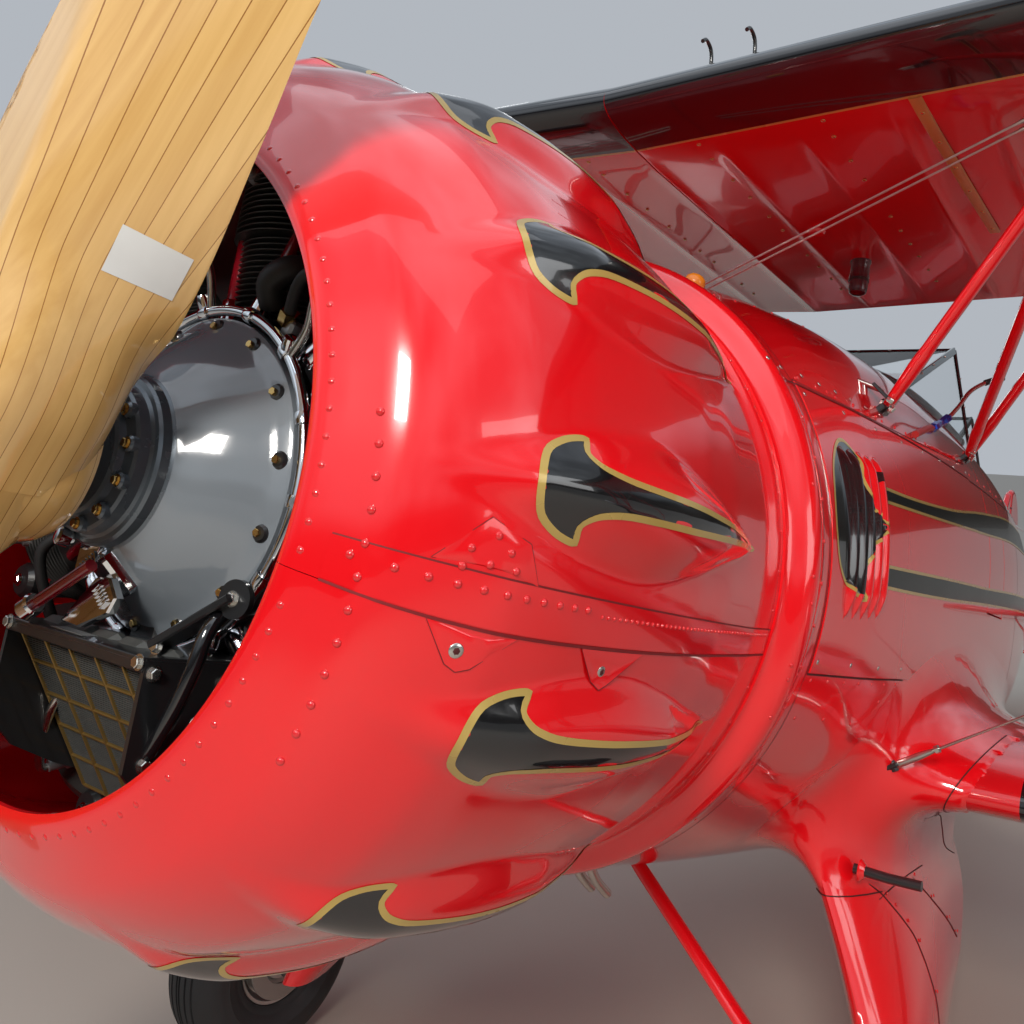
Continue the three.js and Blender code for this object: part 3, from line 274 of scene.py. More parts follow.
def merged(*parts):
    """Several point and face lists as one."""
    points, faces = [], []
    for more_points, more_faces in parts:
        start = len(points)
        points += list(more_points)
        faces += [tuple(start + k for k in face) for face in more_faces]
    return points, faces


def eased(table):
    """A smooth monotone curve through the rows of a table: first column in, the rest out."""
    table = np.array(table, float)
    at, rows = table[:, 0], table[:, 1:]
    step = np.diff(at)[:, None]
    slope = np.diff(rows, axis=0) / step
    tangent = np.zeros_like(rows)
    tangent[0], tangent[-1] = slope[0], slope[-1]
    same = slope[:-1] * slope[1:] > 0
    with np.errstate(divide="ignore", invalid="ignore"):
        mean = 2 * slope[:-1] * slope[1:] / (slope[:-1] + slope[1:])
    tangent[1:-1] = np.where(same, mean, 0)

    def value(t):
        i = int(np.clip(np.searchsorted(at, t) - 1, 0, len(at) - 2))
        h = at[i + 1] - at[i]
        s = (t - at[i]) / h
        return ((2 * s**3 - 3 * s**2 + 1) * rows[i] + (s**3 - 2 * s**2 + s) * h * tangent[i]
                + (3 * s**2 - 2 * s**3) * rows[i + 1] + (s**3 - s**2) * h * tangent[i + 1])
    return value


def curved(points, steps, closed=False):
    """A rounded line through points."""
    points = [np.array(p, float) for p in points]
    count = len(points)
    result = []
    for i in range(count if closed else count - 1):
        p = [points[(i + k) % count] if closed else points[min(max(i + k, 0), count - 1)]
             for k in (-1, 0, 1, 2)]
        for k in range(steps):
            t = k / steps
            result.append(0.5 * (2 * p[1] + (p[2] - p[0]) * t
                                 + (2 * p[0] - 5 * p[1] + 4 * p[2] - p[3]) * t**2
                                 + (3 * p[1] - p[0] - 3 * p[2] + p[3]) * t**3))
    if not closed:
        result.append(points[-1])
    return result


def decal(outline, surface, lift, step=0.008):
    """Paint inside an outline, laid on a surface that takes two numbers in metres."""
    flat = [Vector(p) for p in outline]
    count = len(flat)
    low = [min(p[k] for p in flat) for k in (0, 1)]
    high = [max(p[k] for p in flat) for k in (0, 1)]
    ends = [(flat[i], flat[(i + 1) % count]) for i in range(count)]

    def inside(u, v):
        hits = sum(1 for a, b in ends if (a.y > v) != (b.y > v)
                   and u < (b.x - a.x) * (v - a.y) / (b.y - a.y) + a.x)
        return hits % 2 == 1

    def clear(u, v):
        for a, b in ends:
            along = b - a
            t = max(0.0, min(1.0, ((Vector((u, v)) - a) @ along) / (along @ along)))
            if (a + along * t - Vector((u, v))).length < step * 0.45:
                return False
        return True
    grid = [Vector((u, v)) for u in np.arange(low[0], high[0], step)
            for v in np.arange(low[1], high[1], step) if inside(u, v) and clear(u, v)]
    verts, _, faces, *_ = delaunay_2d_cdt(flat + grid, [], [list(range(count))], 1, 1e-6)
    return [surface(p.x, p.y, lift) for p in verts], [tuple(f) for f in faces]


def line_band(outline, surface, width, lift, closed=True):
    """A painted line of even width along an outline."""
    flat = [Vector(p) for p in outline]
    count = len(flat)
    sides = []
    for i, p in enumerate(flat):
        before = flat[i - 1] if closed or i else p
        after = flat[(i + 1) % count] if closed or i < count - 1 else p
        a, b = p - before, after - p
        along = (a.normalized() if a.length else b.normalized()) + (b.normalized() if b.length
                                                                    else a.normalized())
        if along.length < 1e-6:
            along = b
        along.normalize()
        out = Vector((along.y, -along.x))
        sides.append((p - out * width / 2, p + out * width / 2))
    points = [surface(q.x, q.y, lift) for pair in sides for q in pair]
    faces = [(2 * i, 2 * i + 1, (2 * i + 3) % (2 * count), (2 * i + 2) % (2 * count))
             for i in range(count if closed else count - 1)]
    return points, faces


def shown(name, parts, materials, slot, node=None, **more):
    """One piece of several parts, with the CAD node that it stands in for; the slot is not used."""
    piece = made(name, *merged(*parts), materials, **more)
    if node:
        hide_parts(node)
    return piece


def fastener_tree():
    """Geometry Nodes: a domed head on every point, standing along the point's own direction."""
    tree = bpy.data.node_groups.new("fasteners", "GeometryNodeTree")
    face = tree.interface
    face.new_socket("Geometry", in_out="INPUT", socket_type="NodeSocketGeometry")
    sizes = {label: face.new_socket(label, in_out="INPUT", socket_type="NodeSocket" + kind).identifier
             for label, kind in (("Radius", "Float"), ("Height", "Float"), ("Material", "Material"),
                                 ("Sides", "Int"), ("Rings", "Int"))}
    face.new_socket("Geometry", in_out="OUTPUT", socket_type="NodeSocketGeometry")

    def new(kind, **wires):
        """A node with its inputs wired."""
        node = tree.nodes.new(kind)
        for socket, source in wires.items():
            tree.links.new(source, node.inputs[socket])
        return node
    source = new("NodeGroupInput").outputs
    head = new("GeometryNodeMeshUVSphere", Segments=source["Sides"], Rings=source["Rings"])
    size = new("ShaderNodeCombineXYZ", X=source["Radius"], Y=source["Radius"], Z=source["Height"])
    shape = new("GeometryNodeTransform", Geometry=head.outputs["Mesh"], Scale=size.outputs["Vector"])
    out = new("GeometryNodeInputNamedAttribute")
    out.data_type = "FLOAT_VECTOR"
    out.inputs["Name"].default_value = "out"
    stand = new("FunctionNodeAlignRotationToVector", Vector=out.outputs[0])
    stand.axis = "Z"
    copies = new("GeometryNodeInstanceOnPoints", Points=source["Geometry"], Instance=shape.outputs["Geometry"],
                 Rotation=stand.outputs["Rotation"])
    real = new("GeometryNodeRealizeInstances", Geometry=copies.outputs["Instances"])
    paint = new("GeometryNodeSetMaterial", Geometry=real.outputs["Geometry"], Material=source["Material"])
    new("NodeGroupOutput", Geometry=paint.outputs["Geometry"])
    return tree, sizes


FASTENERS, FASTENER_SIZES = fastener_tree()


def fasteners(name, spots, radius, height, material, sides=12, rings=6):
    """Rivets or screws at (point, outward direction) pairs in the level attitude."""
    seeds = bpy.data.meshes.new(name + "_spots")
    seeds.from_pydata([tuple(p) for p, _ in spots], [], [])
    seeds.transform(LEVEL)
    turn = LEVEL.to_3x3()
    out = seeds.attributes.new("out", "FLOAT_VECTOR", "POINT")
    out.data.foreach_set("vector", [c for _, n in spots for c in turn @ Vector(n).normalized()])
    carrier = bpy.data.objects.new(name + "_spots", seeds)
    scene_root.objects.link(carrier)
    modifier = carrier.modifiers.new("fasteners", "NODES")
    modifier.node_group = FASTENERS
    for label, value in (("Radius", radius), ("Height", height), ("Material", material),
                         ("Sides", sides), ("Rings", rings)):
        modifier[FASTENER_SIZES[label]] = value
    bpy.context.view_layer.update()
    drawn = carrier.evaluated_get(bpy.context.evaluated_depsgraph_get())
    mesh = bpy.data.meshes.new_from_object(drawn)
    mesh.name = name
    mesh.shade_smooth()
    if sides <= 6:
        mesh.set_sharp_from_angle(angle=math.radians(30))
    bpy.data.objects.remove(carrier)
    piece = bpy.data.objects.new(name, mesh)
    scene_root.objects.link(piece)
    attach(piece, "airframe")


# Fourteen blisters, one of them at CREST degrees; the halves meet at SEAM degrees. The rows give
# station, radius and blister height; BLISTER_HALF gives station and half width in degrees.
BUMPS = 14
PITCH = 360 / BUMPS
CREST = 3.1
SEAM = -12.2
cowl_rows = eased([
    [0.188, 0.432, 0], [0.203, 0.466, 0], [0.232, 0.520, 0], [0.285, 0.566, 0.003],
    [0.350, 0.597, 0.018], [0.450, 0.612, 0.033], [0.600, 0.618, 0.038], [0.700, 0.616, 0.035],
    [0.760, 0.612, 0.028], [0.820, 0.608, 0.0175], [0.860, 0.604, 0.008], [0.890, 0.601, 0.001],
    [0.985, 0.592, 0.0], [1.040, 0.585, 0.0], [1.080, 0.580, 0.0],
])
BLISTER_HALF = eased([[0.28, 3.0], [0.35, 4.8], [0.40, 6.4], [0.46, 7.5], [0.54, 8.0], [0.60, 7.5], [0.66, 6.3],
                      [0.72, 4.9], [0.78, 3.3], [0.84, 1.7], [0.875, 0.8], [0.90, 0.5]])
COWL_LIP = [(0.290, 0.552), (0.262, 0.515), (0.236, 0.474), (0.214, 0.440), (0.203, 0.4265),
            (0.196, 0.4225), (0.1905, 0.4235), (0.188, 0.4285), (0.1885, 0.437), (0.193, 0.448),
            (0.203, 0.466), (0.217, 0.494)]


def wheel_round(degrees, r, y):
    """A point at an angle and radius round the thrust line."""
    return Vector((r * math.cos(math.radians(degrees)), y, r * math.sin(math.radians(degrees))))


def cowl_radius(y, degrees):
    """Radius of the cowl's skin with its blisters."""
    radius, bump = cowl_rows(y)
    offset = (degrees - CREST) / PITCH
    offset = abs(offset - round(offset)) * PITCH / BLISTER_HALF(min(y, 0.9))[0]
    crisp = 2.1 - 0.8 * min(1.0, max(0.0, (y - 0.40) / 0.30))
    return radius + bump * max(0.0, 1 - offset**2) ** crisp


GIRTH = 0.62


def on_cowl(y, s, lift, crest=0.0):
    """Point at station y and s metres round the skin from an angle in degrees."""
    degrees = crest + math.degrees(s / GIRTH)
    return wheel_round(degrees, cowl_radius(y, degrees) + lift, y)


def cowl_normal(y, degrees):
    e = 0.004
    a = on_cowl(y + e, 0, 0, degrees) - on_cowl(y - e, 0, 0, degrees)
    b = on_cowl(y, e, 0, degrees) - on_cowl(y, -e, 0, degrees)
    n = a.cross(b).normalized()
    return n if n @ wheel_round(degrees, 1, 0) > 0 else -n


def cowl_loop(degrees):
    """The cut through the cowl at an angle: lip, outer skin and the inner skin back again."""
    outer = [(y, cowl_radius(y, degrees)) for y in
             [0.224, *np.linspace(0.232, 0.62, 40), *np.linspace(0.64, 1.08, 34)]]
    inner = [(y, r - 0.0035) for y, r in outer[::-3] if y > 0.31]
    return [wheel_round(degrees, r, y) for y, r in COWL_LIP + outer + inner]


for half, (first, last) in {"upper": (SEAM, 180 - SEAM), "lower": (180 - SEAM, 360 + SEAM)}.items():
    steps = round((last - first) / PITCH * 48)
    loops = [cowl_loop(first + 0.05 + (last - first - 0.1) * k / steps) for k in range(steps + 1)]
    shown(f"cowl_skin_{half}", [lofted(loops)], gloss_red, "red_panels", f"cowling_{half}", sharp=40)

# Painted crescents on the cowl blisters: black with a hand-laid gold edge, each one wrapped over
# the front of a blister and drawn out to a point at the cowl's trailing edge.
CRESCENT = [(0.905, 0.0), (0.88, 0.0020), (0.84, 0.0036), (0.80, 0.0052), (0.73, 0.0088), (0.65, 0.0124),
            (0.60, 0.0145), (0.53, 0.0160), (0.462, 0.0182), (0.428, 0.0225), (0.410, 0.0285), (0.400, 0.0400),
            (0.4085, 0.0570), (0.396, 0.0560), (0.375, 0.0500), (0.352, 0.0365), (0.340, 0.0185), (0.3365, 0.0)]
crescent = CRESCENT + [(y, -s) for y, s in CRESCENT[-2:0:-1]]
black_parts, gold_parts = [], []
for k in range(BUMPS):
    crest = CREST + k * PITCH

    def on_blister(y, s, lift):
        return on_cowl(y, s, lift, crest)
    black_parts.append(decal(crescent, on_blister, 0.0005, step=0.009))
    fine = (curved(crescent[:13], 3) + curved(crescent[12:23], 3)[1:]
            + curved(crescent[22:] + crescent[:1], 3)[1:-1])
    gold_parts.append(line_band(fine, on_blister, 0.0075, 0.0008))
shown("cowl_crescents", black_parts, gloss_black, "red_panels")
shown("cowl_gold_edges", gold_parts, gold_line, "red_panels")

# Cowl seam: a lapped strip with round-headed rivets, a dark joint line under it, and pointed
# doubler plates, each held by a quarter-turn fastener.
strips, joints, plates, rims = [], [], [], []
rivets, small_rivets, turns = [], [], []
for side in (0, 1):
    def at(degrees):
        return 180 - degrees if side else degrees

    def on_lap(y, s, lift):
        return on_cowl(y, -s if side else s, lift, at(0))

    def lap(y, degrees):
        return (y, math.radians(degrees) * GIRTH)

    def lap_rivet(y, degrees, lift=0.001):
        return on_lap(*lap(y, degrees), lift), cowl_normal(y, at(degrees))
    stations = [float(v) for v in np.linspace(0.205, 1.072, 60)]
    upper_edge = [lap(y, -6.6 - 1.4 * min(1, (y - 0.2) / 0.75)) for y in stations]
    lower_edge = [lap(y, SEAM + 0.25) for y in stations]
    strips.append(decal(upper_edge + lower_edge[::-1], on_lap, 0.0010, step=0.012))
    # The dark line on the strip's upper edge is painted shade for the step of the lapped sheet.
    joints.append(line_band(upper_edge, on_lap, 0.0022, 0.0013, closed=False))
    joints.append(line_band([lap(y, SEAM) for y in stations], on_lap, 0.0034, 0.0014, closed=False))
    for corners in ([(0.262, -6.4), (0.305, -1.4), (0.350, -3.2), (0.372, -7.0)],
                    [(0.272, -12.4), (0.300, -16.2), (0.312, -16.7), (0.324, -16.1), (0.366, -12.4)],
                    [(0.470, -12.4), (0.505, -15.7), (0.520, -16.4), (0.536, -15.9), (0.60, -12.4)]):
        outline = [lap(*c) for c in corners]
        plates.append(decal(outline, on_lap, 0.0017, step=0.01))
        rims.append(line_band(outline, on_lap, 0.0022, 0.0015))
    for y in (0.306, 0.522):
        turns.append(lap_rivet(y, -14.7))
    rivets += [lap_rivet(0.215 + 0.0245 * k, -8.4) for k in range(11)]
    small_rivets += [lap_rivet(0.49 + 0.0125 * k, -8.9) for k in range(46)]
    for y, degrees in ((0.292, -4.7), (0.314, -3.0), (0.330, -4.4), (0.340, -6.0), (0.312, -5.9),
                       (0.288, -6.6)):
        rivets.append(lap_rivet(y, degrees))
    for k in range(12):
        y, degrees = 0.2165 + 0.001 * k, 8.0 - 3.7 * k
        if abs(degrees - SEAM) > 1.5 and abs(degrees + 8.4) > 1.2:
            rivets.append(lap_rivet(y, degrees, 0))
for k in range(100):
    degrees = 3.6 * k + 1.1
    if min(abs((degrees - edge + 180) % 360 - 180) for edge in (SEAM, 180 - SEAM)) > 1.4:
        rivets.append((on_cowl(0.1945, 0, 0, degrees), cowl_normal(0.1945, degrees)))
for degrees in (360 / 56 * k + 1.5 for k in range(56)):
    small_rivets.append((on_cowl(1.064, 0, 0, degrees), cowl_normal(1.064, degrees)))
# Dark red for the cowl's lines: a real joint along the seam, and painted shade along the lap's edge and round
# each doubler, where the step of the sheet would be.
joint_and_step_shade_red = finish("joint_and_step_shade_red", (0.20, 0.003, 0.005), rough=0.6, vary=0.3)
for name, parts, material in (("cowl_lap_strips", strips, gloss_red), ("cowl_joint_lines", joints, joint_and_step_shade_red),
                              ("cowl_doublers", plates, gloss_red), ("cowl_doubler_edges", rims, joint_and_step_shade_red)):
    shown(name, parts, material, "red_panels")
fasteners("cowl_rivets", rivets, 0.0046, 0.0030, rivet_red)
fasteners("cowl_small_rivets", small_rivets, 0.0030, 0.0020, rivet_red, sides=8, rings=4)
fasteners("cowl_quarter_turns", turns, 0.0085, 0.0022, bright_screw, sides=20)
# The slot in each quarter-turn fastener is a small dark dome of painted shade on its head.
fasteners("cowl_turn_slot_shades", [(p + n * 0.0012, n) for p, n in turns], 0.0045, 0.0016, seam_shadow, sides=6)

# Fuselage: a steel-tube frame faired out with formers. Sheet metal covers it back to the rear
# cockpit, doped fabric over stringers from there to the sternpost; all of it gloss red.
# Each row: station, half width, top, bottom and roundness, 2 for an ellipse and more for a box.
hull = eased([
    [1.0804, 0.584, 0.584, -0.584, 2.0], [1.088, 0.587, 0.590, -0.586, 2.0],
    [1.097, 0.596, 0.602, -0.595, 2.0], [1.108, 0.610, 0.620, -0.609, 2.0],
    [1.122, 0.620, 0.634, -0.620, 2.0], [1.138, 0.6235, 0.641, -0.624, 2.0],
    [1.153, 0.621, 0.640, -0.622, 2.0], [1.168, 0.6175, 0.638, -0.619, 2.0],
    [1.20, 0.616, 0.641, -0.620, 2.02], [1.50, 0.628, 0.695, -0.645, 2.15],
    [1.85, 0.632, 0.738, -0.660, 2.35], [2.15, 0.634, 0.752, -0.655, 2.5],
    [2.60, 0.635, 0.758, -0.640, 2.6], [3.00, 0.632, 0.755, -0.610, 2.6],
    [3.50, 0.610, 0.745, -0.560, 2.5], [3.90, 0.565, 0.720, -0.500, 2.4],
    [4.50, 0.465, 0.620, -0.400, 2.2], [5.40, 0.300, 0.470, -0.250, 2.1],
    [6.15, 0.145, 0.345, -0.095, 2.0], [6.694, 0.034, 0.262, 0.020, 2.0],
])


def hull_section(y):
    """Half width, middle height, half height and roundness of the fuselage at a station."""
    half, top, bottom, power = hull(y)
    return half, (top + bottom) / 2, (top - bottom) / 2, power


def hull_point(y, t, lift=0.0):
    half, middle, high, power = hull_section(y)
    c, s = math.cos(t), math.sin(t)
    return Vector(((half + lift) * math.copysign(abs(c) ** (2 / power), c), y,
                   middle + (high + lift) * math.copysign(abs(s) ** (2 / power), s)))


def hull_side(y, z):
    """Half width of the fuselage at a station and height."""
    half, middle, high, power = hull_section(y)
    rise = min(1.0, abs(z - middle) / high)
    return half * (1 - rise**power) ** (1 / power)


def hull_height(y, x, sign=1):
    """Height of the deck, or with sign -1 of the belly, at a station and distance off centre."""
    half, middle, high, power = hull_section(y)
    across = min(1.0, abs(x) / half)
    return middle + sign * high * (1 - across**power) ** (1 / power)


def hull_normal(p):
    """The direction square to the fuselage at a point on it."""
    half, middle, high, power = hull_section(p.y)
    a, b = p.x / half, (p.z - middle) / high
    ahead = hull_side(p.y + 0.01, p.z) - hull_side(p.y - 0.01, p.z)
    n = Vector((math.copysign(abs(a) ** (power - 1), a) / half, 0,
                math.copysign(abs(b) ** (power - 1), b) / high)).normalized()
    n.y = -ahead / 0.02 * abs(n.x)
    return n.normalized()


def on_side(y, z, lift, side=1):
    """A point on the fuselage's side, lifted off its skin."""
    p = Vector((side * hull_side(y, z), y, z))
    return p + hull_normal(p) * lift


def circle(count):
    """Evenly spaced angles once round."""
    return [2 * math.pi * k / count for k in range(count)]


RING = circle(168)


def hull_body(stations, lift=0.0):
    return lofted([[hull_point(y, t, lift) for t in RING] for y in stations])


def between(low, high, step):
    """Even stations from low to high, about a step apart."""
    count = max(2, round((high - low) / step) + 1)
    return [float(v) for v in np.linspace(low, high, count)]


def carved(piece, cutters, operation="DIFFERENCE"):
    """The piece with the cutters taken out of it, or kept only where the cutter is."""
    for cutter in cutters:
        modifier = piece.modifiers.new("carve", "BOOLEAN")
        modifier.object = cutter
        modifier.operation = operation
        modifier.solver = "MANIFOLD"
    bpy.context.view_layer.update()
    drawn = piece.evaluated_get(bpy.context.evaluated_depsgraph_get())
    mesh = bpy.data.meshes.new_from_object(drawn)
    name = piece.name
    piece.modifiers.clear()
    piece.data = mesh
    mesh.name = name
    mesh.shade_smooth()
    mesh.set_sharp_from_angle(angle=SMOOTH)
    return piece


def dropped(*objects):
    for o in objects:
        bpy.data.objects.remove(o)


def uncut(name, part, material=gloss_red):
    """A closed mesh still in the level attitude, to be carved or to carve with."""
    return made(name, *part, material, body=None, parked=False)


def settled(piece, node=None, body="airframe"):
    """A carved piece moved to the parked stance, with its body and CAD node."""
    piece.data.transform(LEVEL)
    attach(piece, body)
    if node:
        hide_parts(node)


def prism(outline, low, high):
    """Points and faces of an outline of x, y pairs between two heights."""
    return lofted([[Vector((x, y, z)) for x, y in outline] for z in (low, high)])


def rounded(y0, y1, half, corner, steps=10):
    """A cockpit's outline seen from above, as x, y pairs."""
    points = []
    for x, y, start in ((half - corner, y0 + corner, -90), (half - corner, y1 - corner, 0),
                        (corner - half, y1 - corner, 90), (corner - half, y0 + corner, 180)):
        for k in range(steps + 1):
            a = math.radians(start + 90 * k / steps)
            points.append((x + corner * math.cos(a), y + corner * math.sin(a)))
    return points


def block(x0, x1, y0, y1, z0, z1):
    """A plain box."""
    return lofted([[Vector((x, y, z)) for x, y in ((x0, y0), (x1, y0), (x1, y1), (x0, y1))] for z in (z0, z1)])


HOLE_TOP = 0.9
COCKPITS = {"front": (2.340, 3.010, 0.450, 0.150), "rear": (3.350, 3.810, 0.330, 0.150)}
DOOR = (2.600, 2.860, 0.060, 0.005)
nose_stations = [1.0804, 1.084, 1.088, 1.092, 1.097, 1.102, 1.108, 1.115, 1.122, 1.130, 1.138, 1.146, 1.153,
                 1.160, 1.168, 1.184]
shell_stations = nose_stations + between(1.20, 3.90, 0.03)
fuselage = uncut("fuselage_metal_skin", hull_body(shell_stations))
cavity = uncut("cavity", hull_body([1.106, 1.122, 1.138, 1.153] + between(1.17, 3.876, 0.05), -0.022))
holes = [uncut("hole_" + name, prism(rounded(*size), 0.15, HOLE_TOP)) for name, size in COCKPITS.items()]
carved(fuselage, [cavity, *holes])
door_y0, door_y1, door_z, door_gap = DOOR
door_hole = uncut("door_hole", block(0.25, 0.8, door_y0, door_y1, door_z, HOLE_TOP))
door_fill = uncut("door_fill", block(0.25, 0.8, door_y0 + door_gap, door_y1 - door_gap, door_z + door_gap,
                                     HOLE_TOP))
door = bpy.data.objects.new("door_panel", fuselage.data.copy())
scene_root.objects.link(door)
carved(door, [door_fill], "INTERSECT")
carved(fuselage, [door_hole])
dropped(cavity, *holes, door_hole, door_fill)
settled(fuselage, "forward_fuselage")
settled(door, "front_cockpit_door", "front_cockpit_door")

# Rear fuselage: fabric drawn tight over twenty-eight stringers, which show as soft ridges, and
# doped gloss red. It runs from the back of the metal sheets to the sternpost.
fabric_red = finish("fabric_red", (0.64, 0.007, 0.011), rough=0.20, coat=0.9, vary=0.05, grain=1.3,
                    rough_vary=0.03, relief=[(2.2, 0.10, 0.004), (900, 0.05, 0.0002)])


def taut(y, t):
    """A point of the rear fabric, drawn in between the stringers."""
    show = min(1.0, max(0.0, (y - 3.93) / 0.3)) * min(1.0, (6.75 - y) / 0.4)
    sag = 0.0045 * show * (1 - math.cos(t * 28)) / 2
    return hull_point(y, t, -sag * min(1.0, 0.35 + hull(y)[0]))


tail_rings = [[taut(y, t) for t in RING] for y in [3.9004, 3.92] + between(3.95, 6.694, 0.045)]
shown("fuselage_fabric_skin", [lofted(tail_rings)], fabric_red, "red_fabric", "rear_fuselage")

# Side panels: removable sheets behind the firewall with five pressed louvres, held by screws.
# The crescent motif is carried over the louvres, and its tails run aft as the two stripes.
panel_top = eased([[1.215, 0.378], [1.60, 0.392], [2.00, 0.420], [2.405, 0.460]])
panel_foot = eased([[1.215, -0.143], [1.56, -0.144], [1.75, -0.142], [2.20, -0.212], [2.405, -0.232]])
LOUVRES = [1.288 + 0.0425 * k for k in range(5)]


def panel_lift(y, z):
    """How far the side panel stands off the fuselage, louvres and all."""
    lift = 0.0030
    for k, y0 in enumerate(LOUVRES):
        low, high = -0.041 + 0.003 * k, 0.272 + 0.004 * k
        u = (y - y0) / 0.037
        narrow = min(1.0, max(0.0, (z - low) / 0.045))
        u = (u - 0.5) / max(narrow, 0.05) + 0.5
        if 0 < u < 1 and low < z < high:
            crown = (math.sin(math.pi / 2 * u / 0.80) ** 2 if u < 0.80
                     else math.cos(math.pi / 2 * (u - 0.80) / 0.20) ** 0.7)
            end = min(1.0, (high - z) / 0.03) ** 0.5 * narrow**0.7
            lift += 0.0125 * crown * end
    return lift


PANEL_Y = (1.215, 2.405)
panel_stations = (between(PANEL_Y[0], 1.285, 0.012) + between(1.2875, 1.505, 0.0027)
                  + between(1.52, PANEL_Y[1], 0.03))
for side, label in SIDES:
    rows = []
    for y in panel_stations:
        foot, top = float(panel_foot(y)[0]), float(panel_top(y)[0])
        heights = [foot + (top - foot) * v for v in np.linspace(0, 1, 90)]
        front = [on_side(y, z, panel_lift(y, z), side) for z in heights]
        rows.append([on_side(y, foot, 0.0004, side), *front, on_side(y, top, 0.0004, side)])
    first, last = ([on_side(p.y, p.z, 0.0004, side) for p in row] for row in (rows[0], rows[-1]))
    rows = [first, *rows, last]
    shown(f"side_panel_skin_{label}", [lofted(rows)], gloss_red, "red_panels", f"side_panel_{label}", sharp=50)

MOTIF = [(1.352, 0.292), (1.318, 0.291), (1.285, 0.268), (1.252, 0.225), (1.236, 0.165), (1.235, 0.110),
         (1.250, 0.060), (1.285, 0.026), (1.330, 0.010), (1.388, 0.001), (1.368, 0.036), (1.388, 0.076),
         (1.423, 0.112), (1.490, 0.152), (1.429, 0.176), (1.399, 0.200), (1.384, 0.232), (1.387, 0.268)]
UPPER_STRIPE = [[1.490, 0.208, 0.236], [1.67, 0.220, 0.246], [2.08, 0.250, 0.284], [2.55, 0.288, 0.348],
                [3.10, 0.330, 0.405], [3.90, 0.350, 0.430], [5.00, 0.325, 0.375], [6.05, 0.265, 0.268]]
LOWER_STRIPE = [[1.472, 0.036, 0.077], [1.67, 0.042, 0.087], [2.08, 0.059, 0.108], [2.55, 0.084, 0.130],
                [3.10, 0.108, 0.160], [3.90, 0.135, 0.190], [5.00, 0.175, 0.210], [6.00, 0.222, 0.225]]
SMALL_BAR = [(1.455, 0.262), (1.492, 0.266), (1.492, 0.240), (1.455, 0.236)]
stripe_black = finish("stripe_black", (0.005, 0.006, 0.005), rough=0.22, coat=0.15, vary=0.2,
                      **{"Specular IOR Level": 0.18})
black_parts, gold_parts, stripe_parts = [], [], []
for side in (1, -1):
    def on_panel(y, z, lift):
        over = panel_lift(y, z) if PANEL_Y[0] <= y <= PANEL_Y[1] else 0.0
        return on_side(y, z, lift + over, side)
    rounded_motif = [tuple(p) for p in curved(MOTIF, 4, closed=True)]
    black_parts.append(decal(MOTIF, on_panel, 0.0005, step=0.0045))
    gold_parts.append(line_band(rounded_motif, on_panel, 0.007, 0.0009))
    black_parts.append(decal(SMALL_BAR, on_panel, 0.0005, step=0.006))
    for table in (UPPER_STRIPE, LOWER_STRIPE):
        stripe = eased(table)
        ys = between(table[0][0], 2.404, 0.03) + between(2.406, table[-1][0], 0.03)
        low = [(y, float(stripe(y)[0])) for y in ys]
        high = [(y, float(stripe(y)[1])) for y in ys]
        band = [[on_panel(y, z0 + (z1 - z0) * k / 4, 0.0005) for k in range(5)] for (y, z0),
                (_, z1) in zip(low, high)]
        stripe_parts.append(lofted(band, around=False, caps=False))
        gold_parts += [line_band(run, on_panel, 0.0065, 0.0009, closed=False) for run in (low, high)]
shown("side_motifs", black_parts, gloss_black, "red_panels")
shown("side_stripes", stripe_parts, stripe_black, "red_panels")
shown("side_gold_lines", gold_parts, gold_line, "red_panels")


def turned(profile, segments=64, centre=(0, 0, 0), axis=AFT):
    """Points and faces of a profile of (radius, distance) pairs spun about an axis."""
    axis = Vector(axis).normalized()
    side = axis.orthogonal().normalized()
    other = axis.cross(side)
    rings = []
    for a in circle(segments):
        out = side * math.cos(a) + other * math.sin(a)
        rings.append([Vector(centre) + out * r + axis * d for r, d in profile])
    count, faces = len(profile), []
    points = [p for ring in rings for p in ring]
    for i in range(segments):
        for j in range(count - 1):
            a, b = i * count + j, ((i + 1) % segments) * count + j
            faces.append((a, a + 1, b + 1, b))
    closed = profile[0][0] > 1e-6 and profile[-1][0] > 1e-6
    if closed and math.dist(profile[0], profile[-1]) > 1e-6:
        for i in range(segments):
            a, b = i * count, ((i + 1) % segments) * count
            faces.append((a, b, b + count - 1, a + count - 1))
    return points, [f for f in faces if len({tuple(points[k]) for k in f}) > 2]


def drum(radius, low, high, bore=0):
    """The profile of a plain cylinder or ring, for turned."""
    return [(bore, low), (radius, low), (radius, high), (bore, high)]


def eyelet(bore, face, edge, flat, deep):
    """The profile of a ring with bevelled edges, even about its middle."""
    return [(bore, -deep), (face, -deep), (edge, -flat), (edge, flat), (face, deep), (bore, deep)]


def tube(path, radius, sides=12, caps=True, flat=1.0, across=None):
    """A round or flattened tube along a line of points; radius may be one number or one each."""
    path = [Vector(p) for p in path]
    sizes = list(radius) if isinstance(radius, (list, tuple)) else [radius] * len(path)
    along = (path[1] - path[0]).normalized()
    side = Vector(across) if across else along.orthogonal()
    rings = []
    for i, p in enumerate(path):
        a = path[i] - path[i - 1] if i else path[1] - path[0]
        b = path[i + 1] - path[i] if i < len(path) - 1 else a
        along = (a.normalized() + b.normalized()).normalized()
        side = (side - along * side.dot(along)).normalized()
        other = along.cross(side)
        rings.append([p + (side * math.cos(t) + other * math.sin(t) * flat) * sizes[i] for t in circle(sides)])
    return lofted(rings, caps=caps)


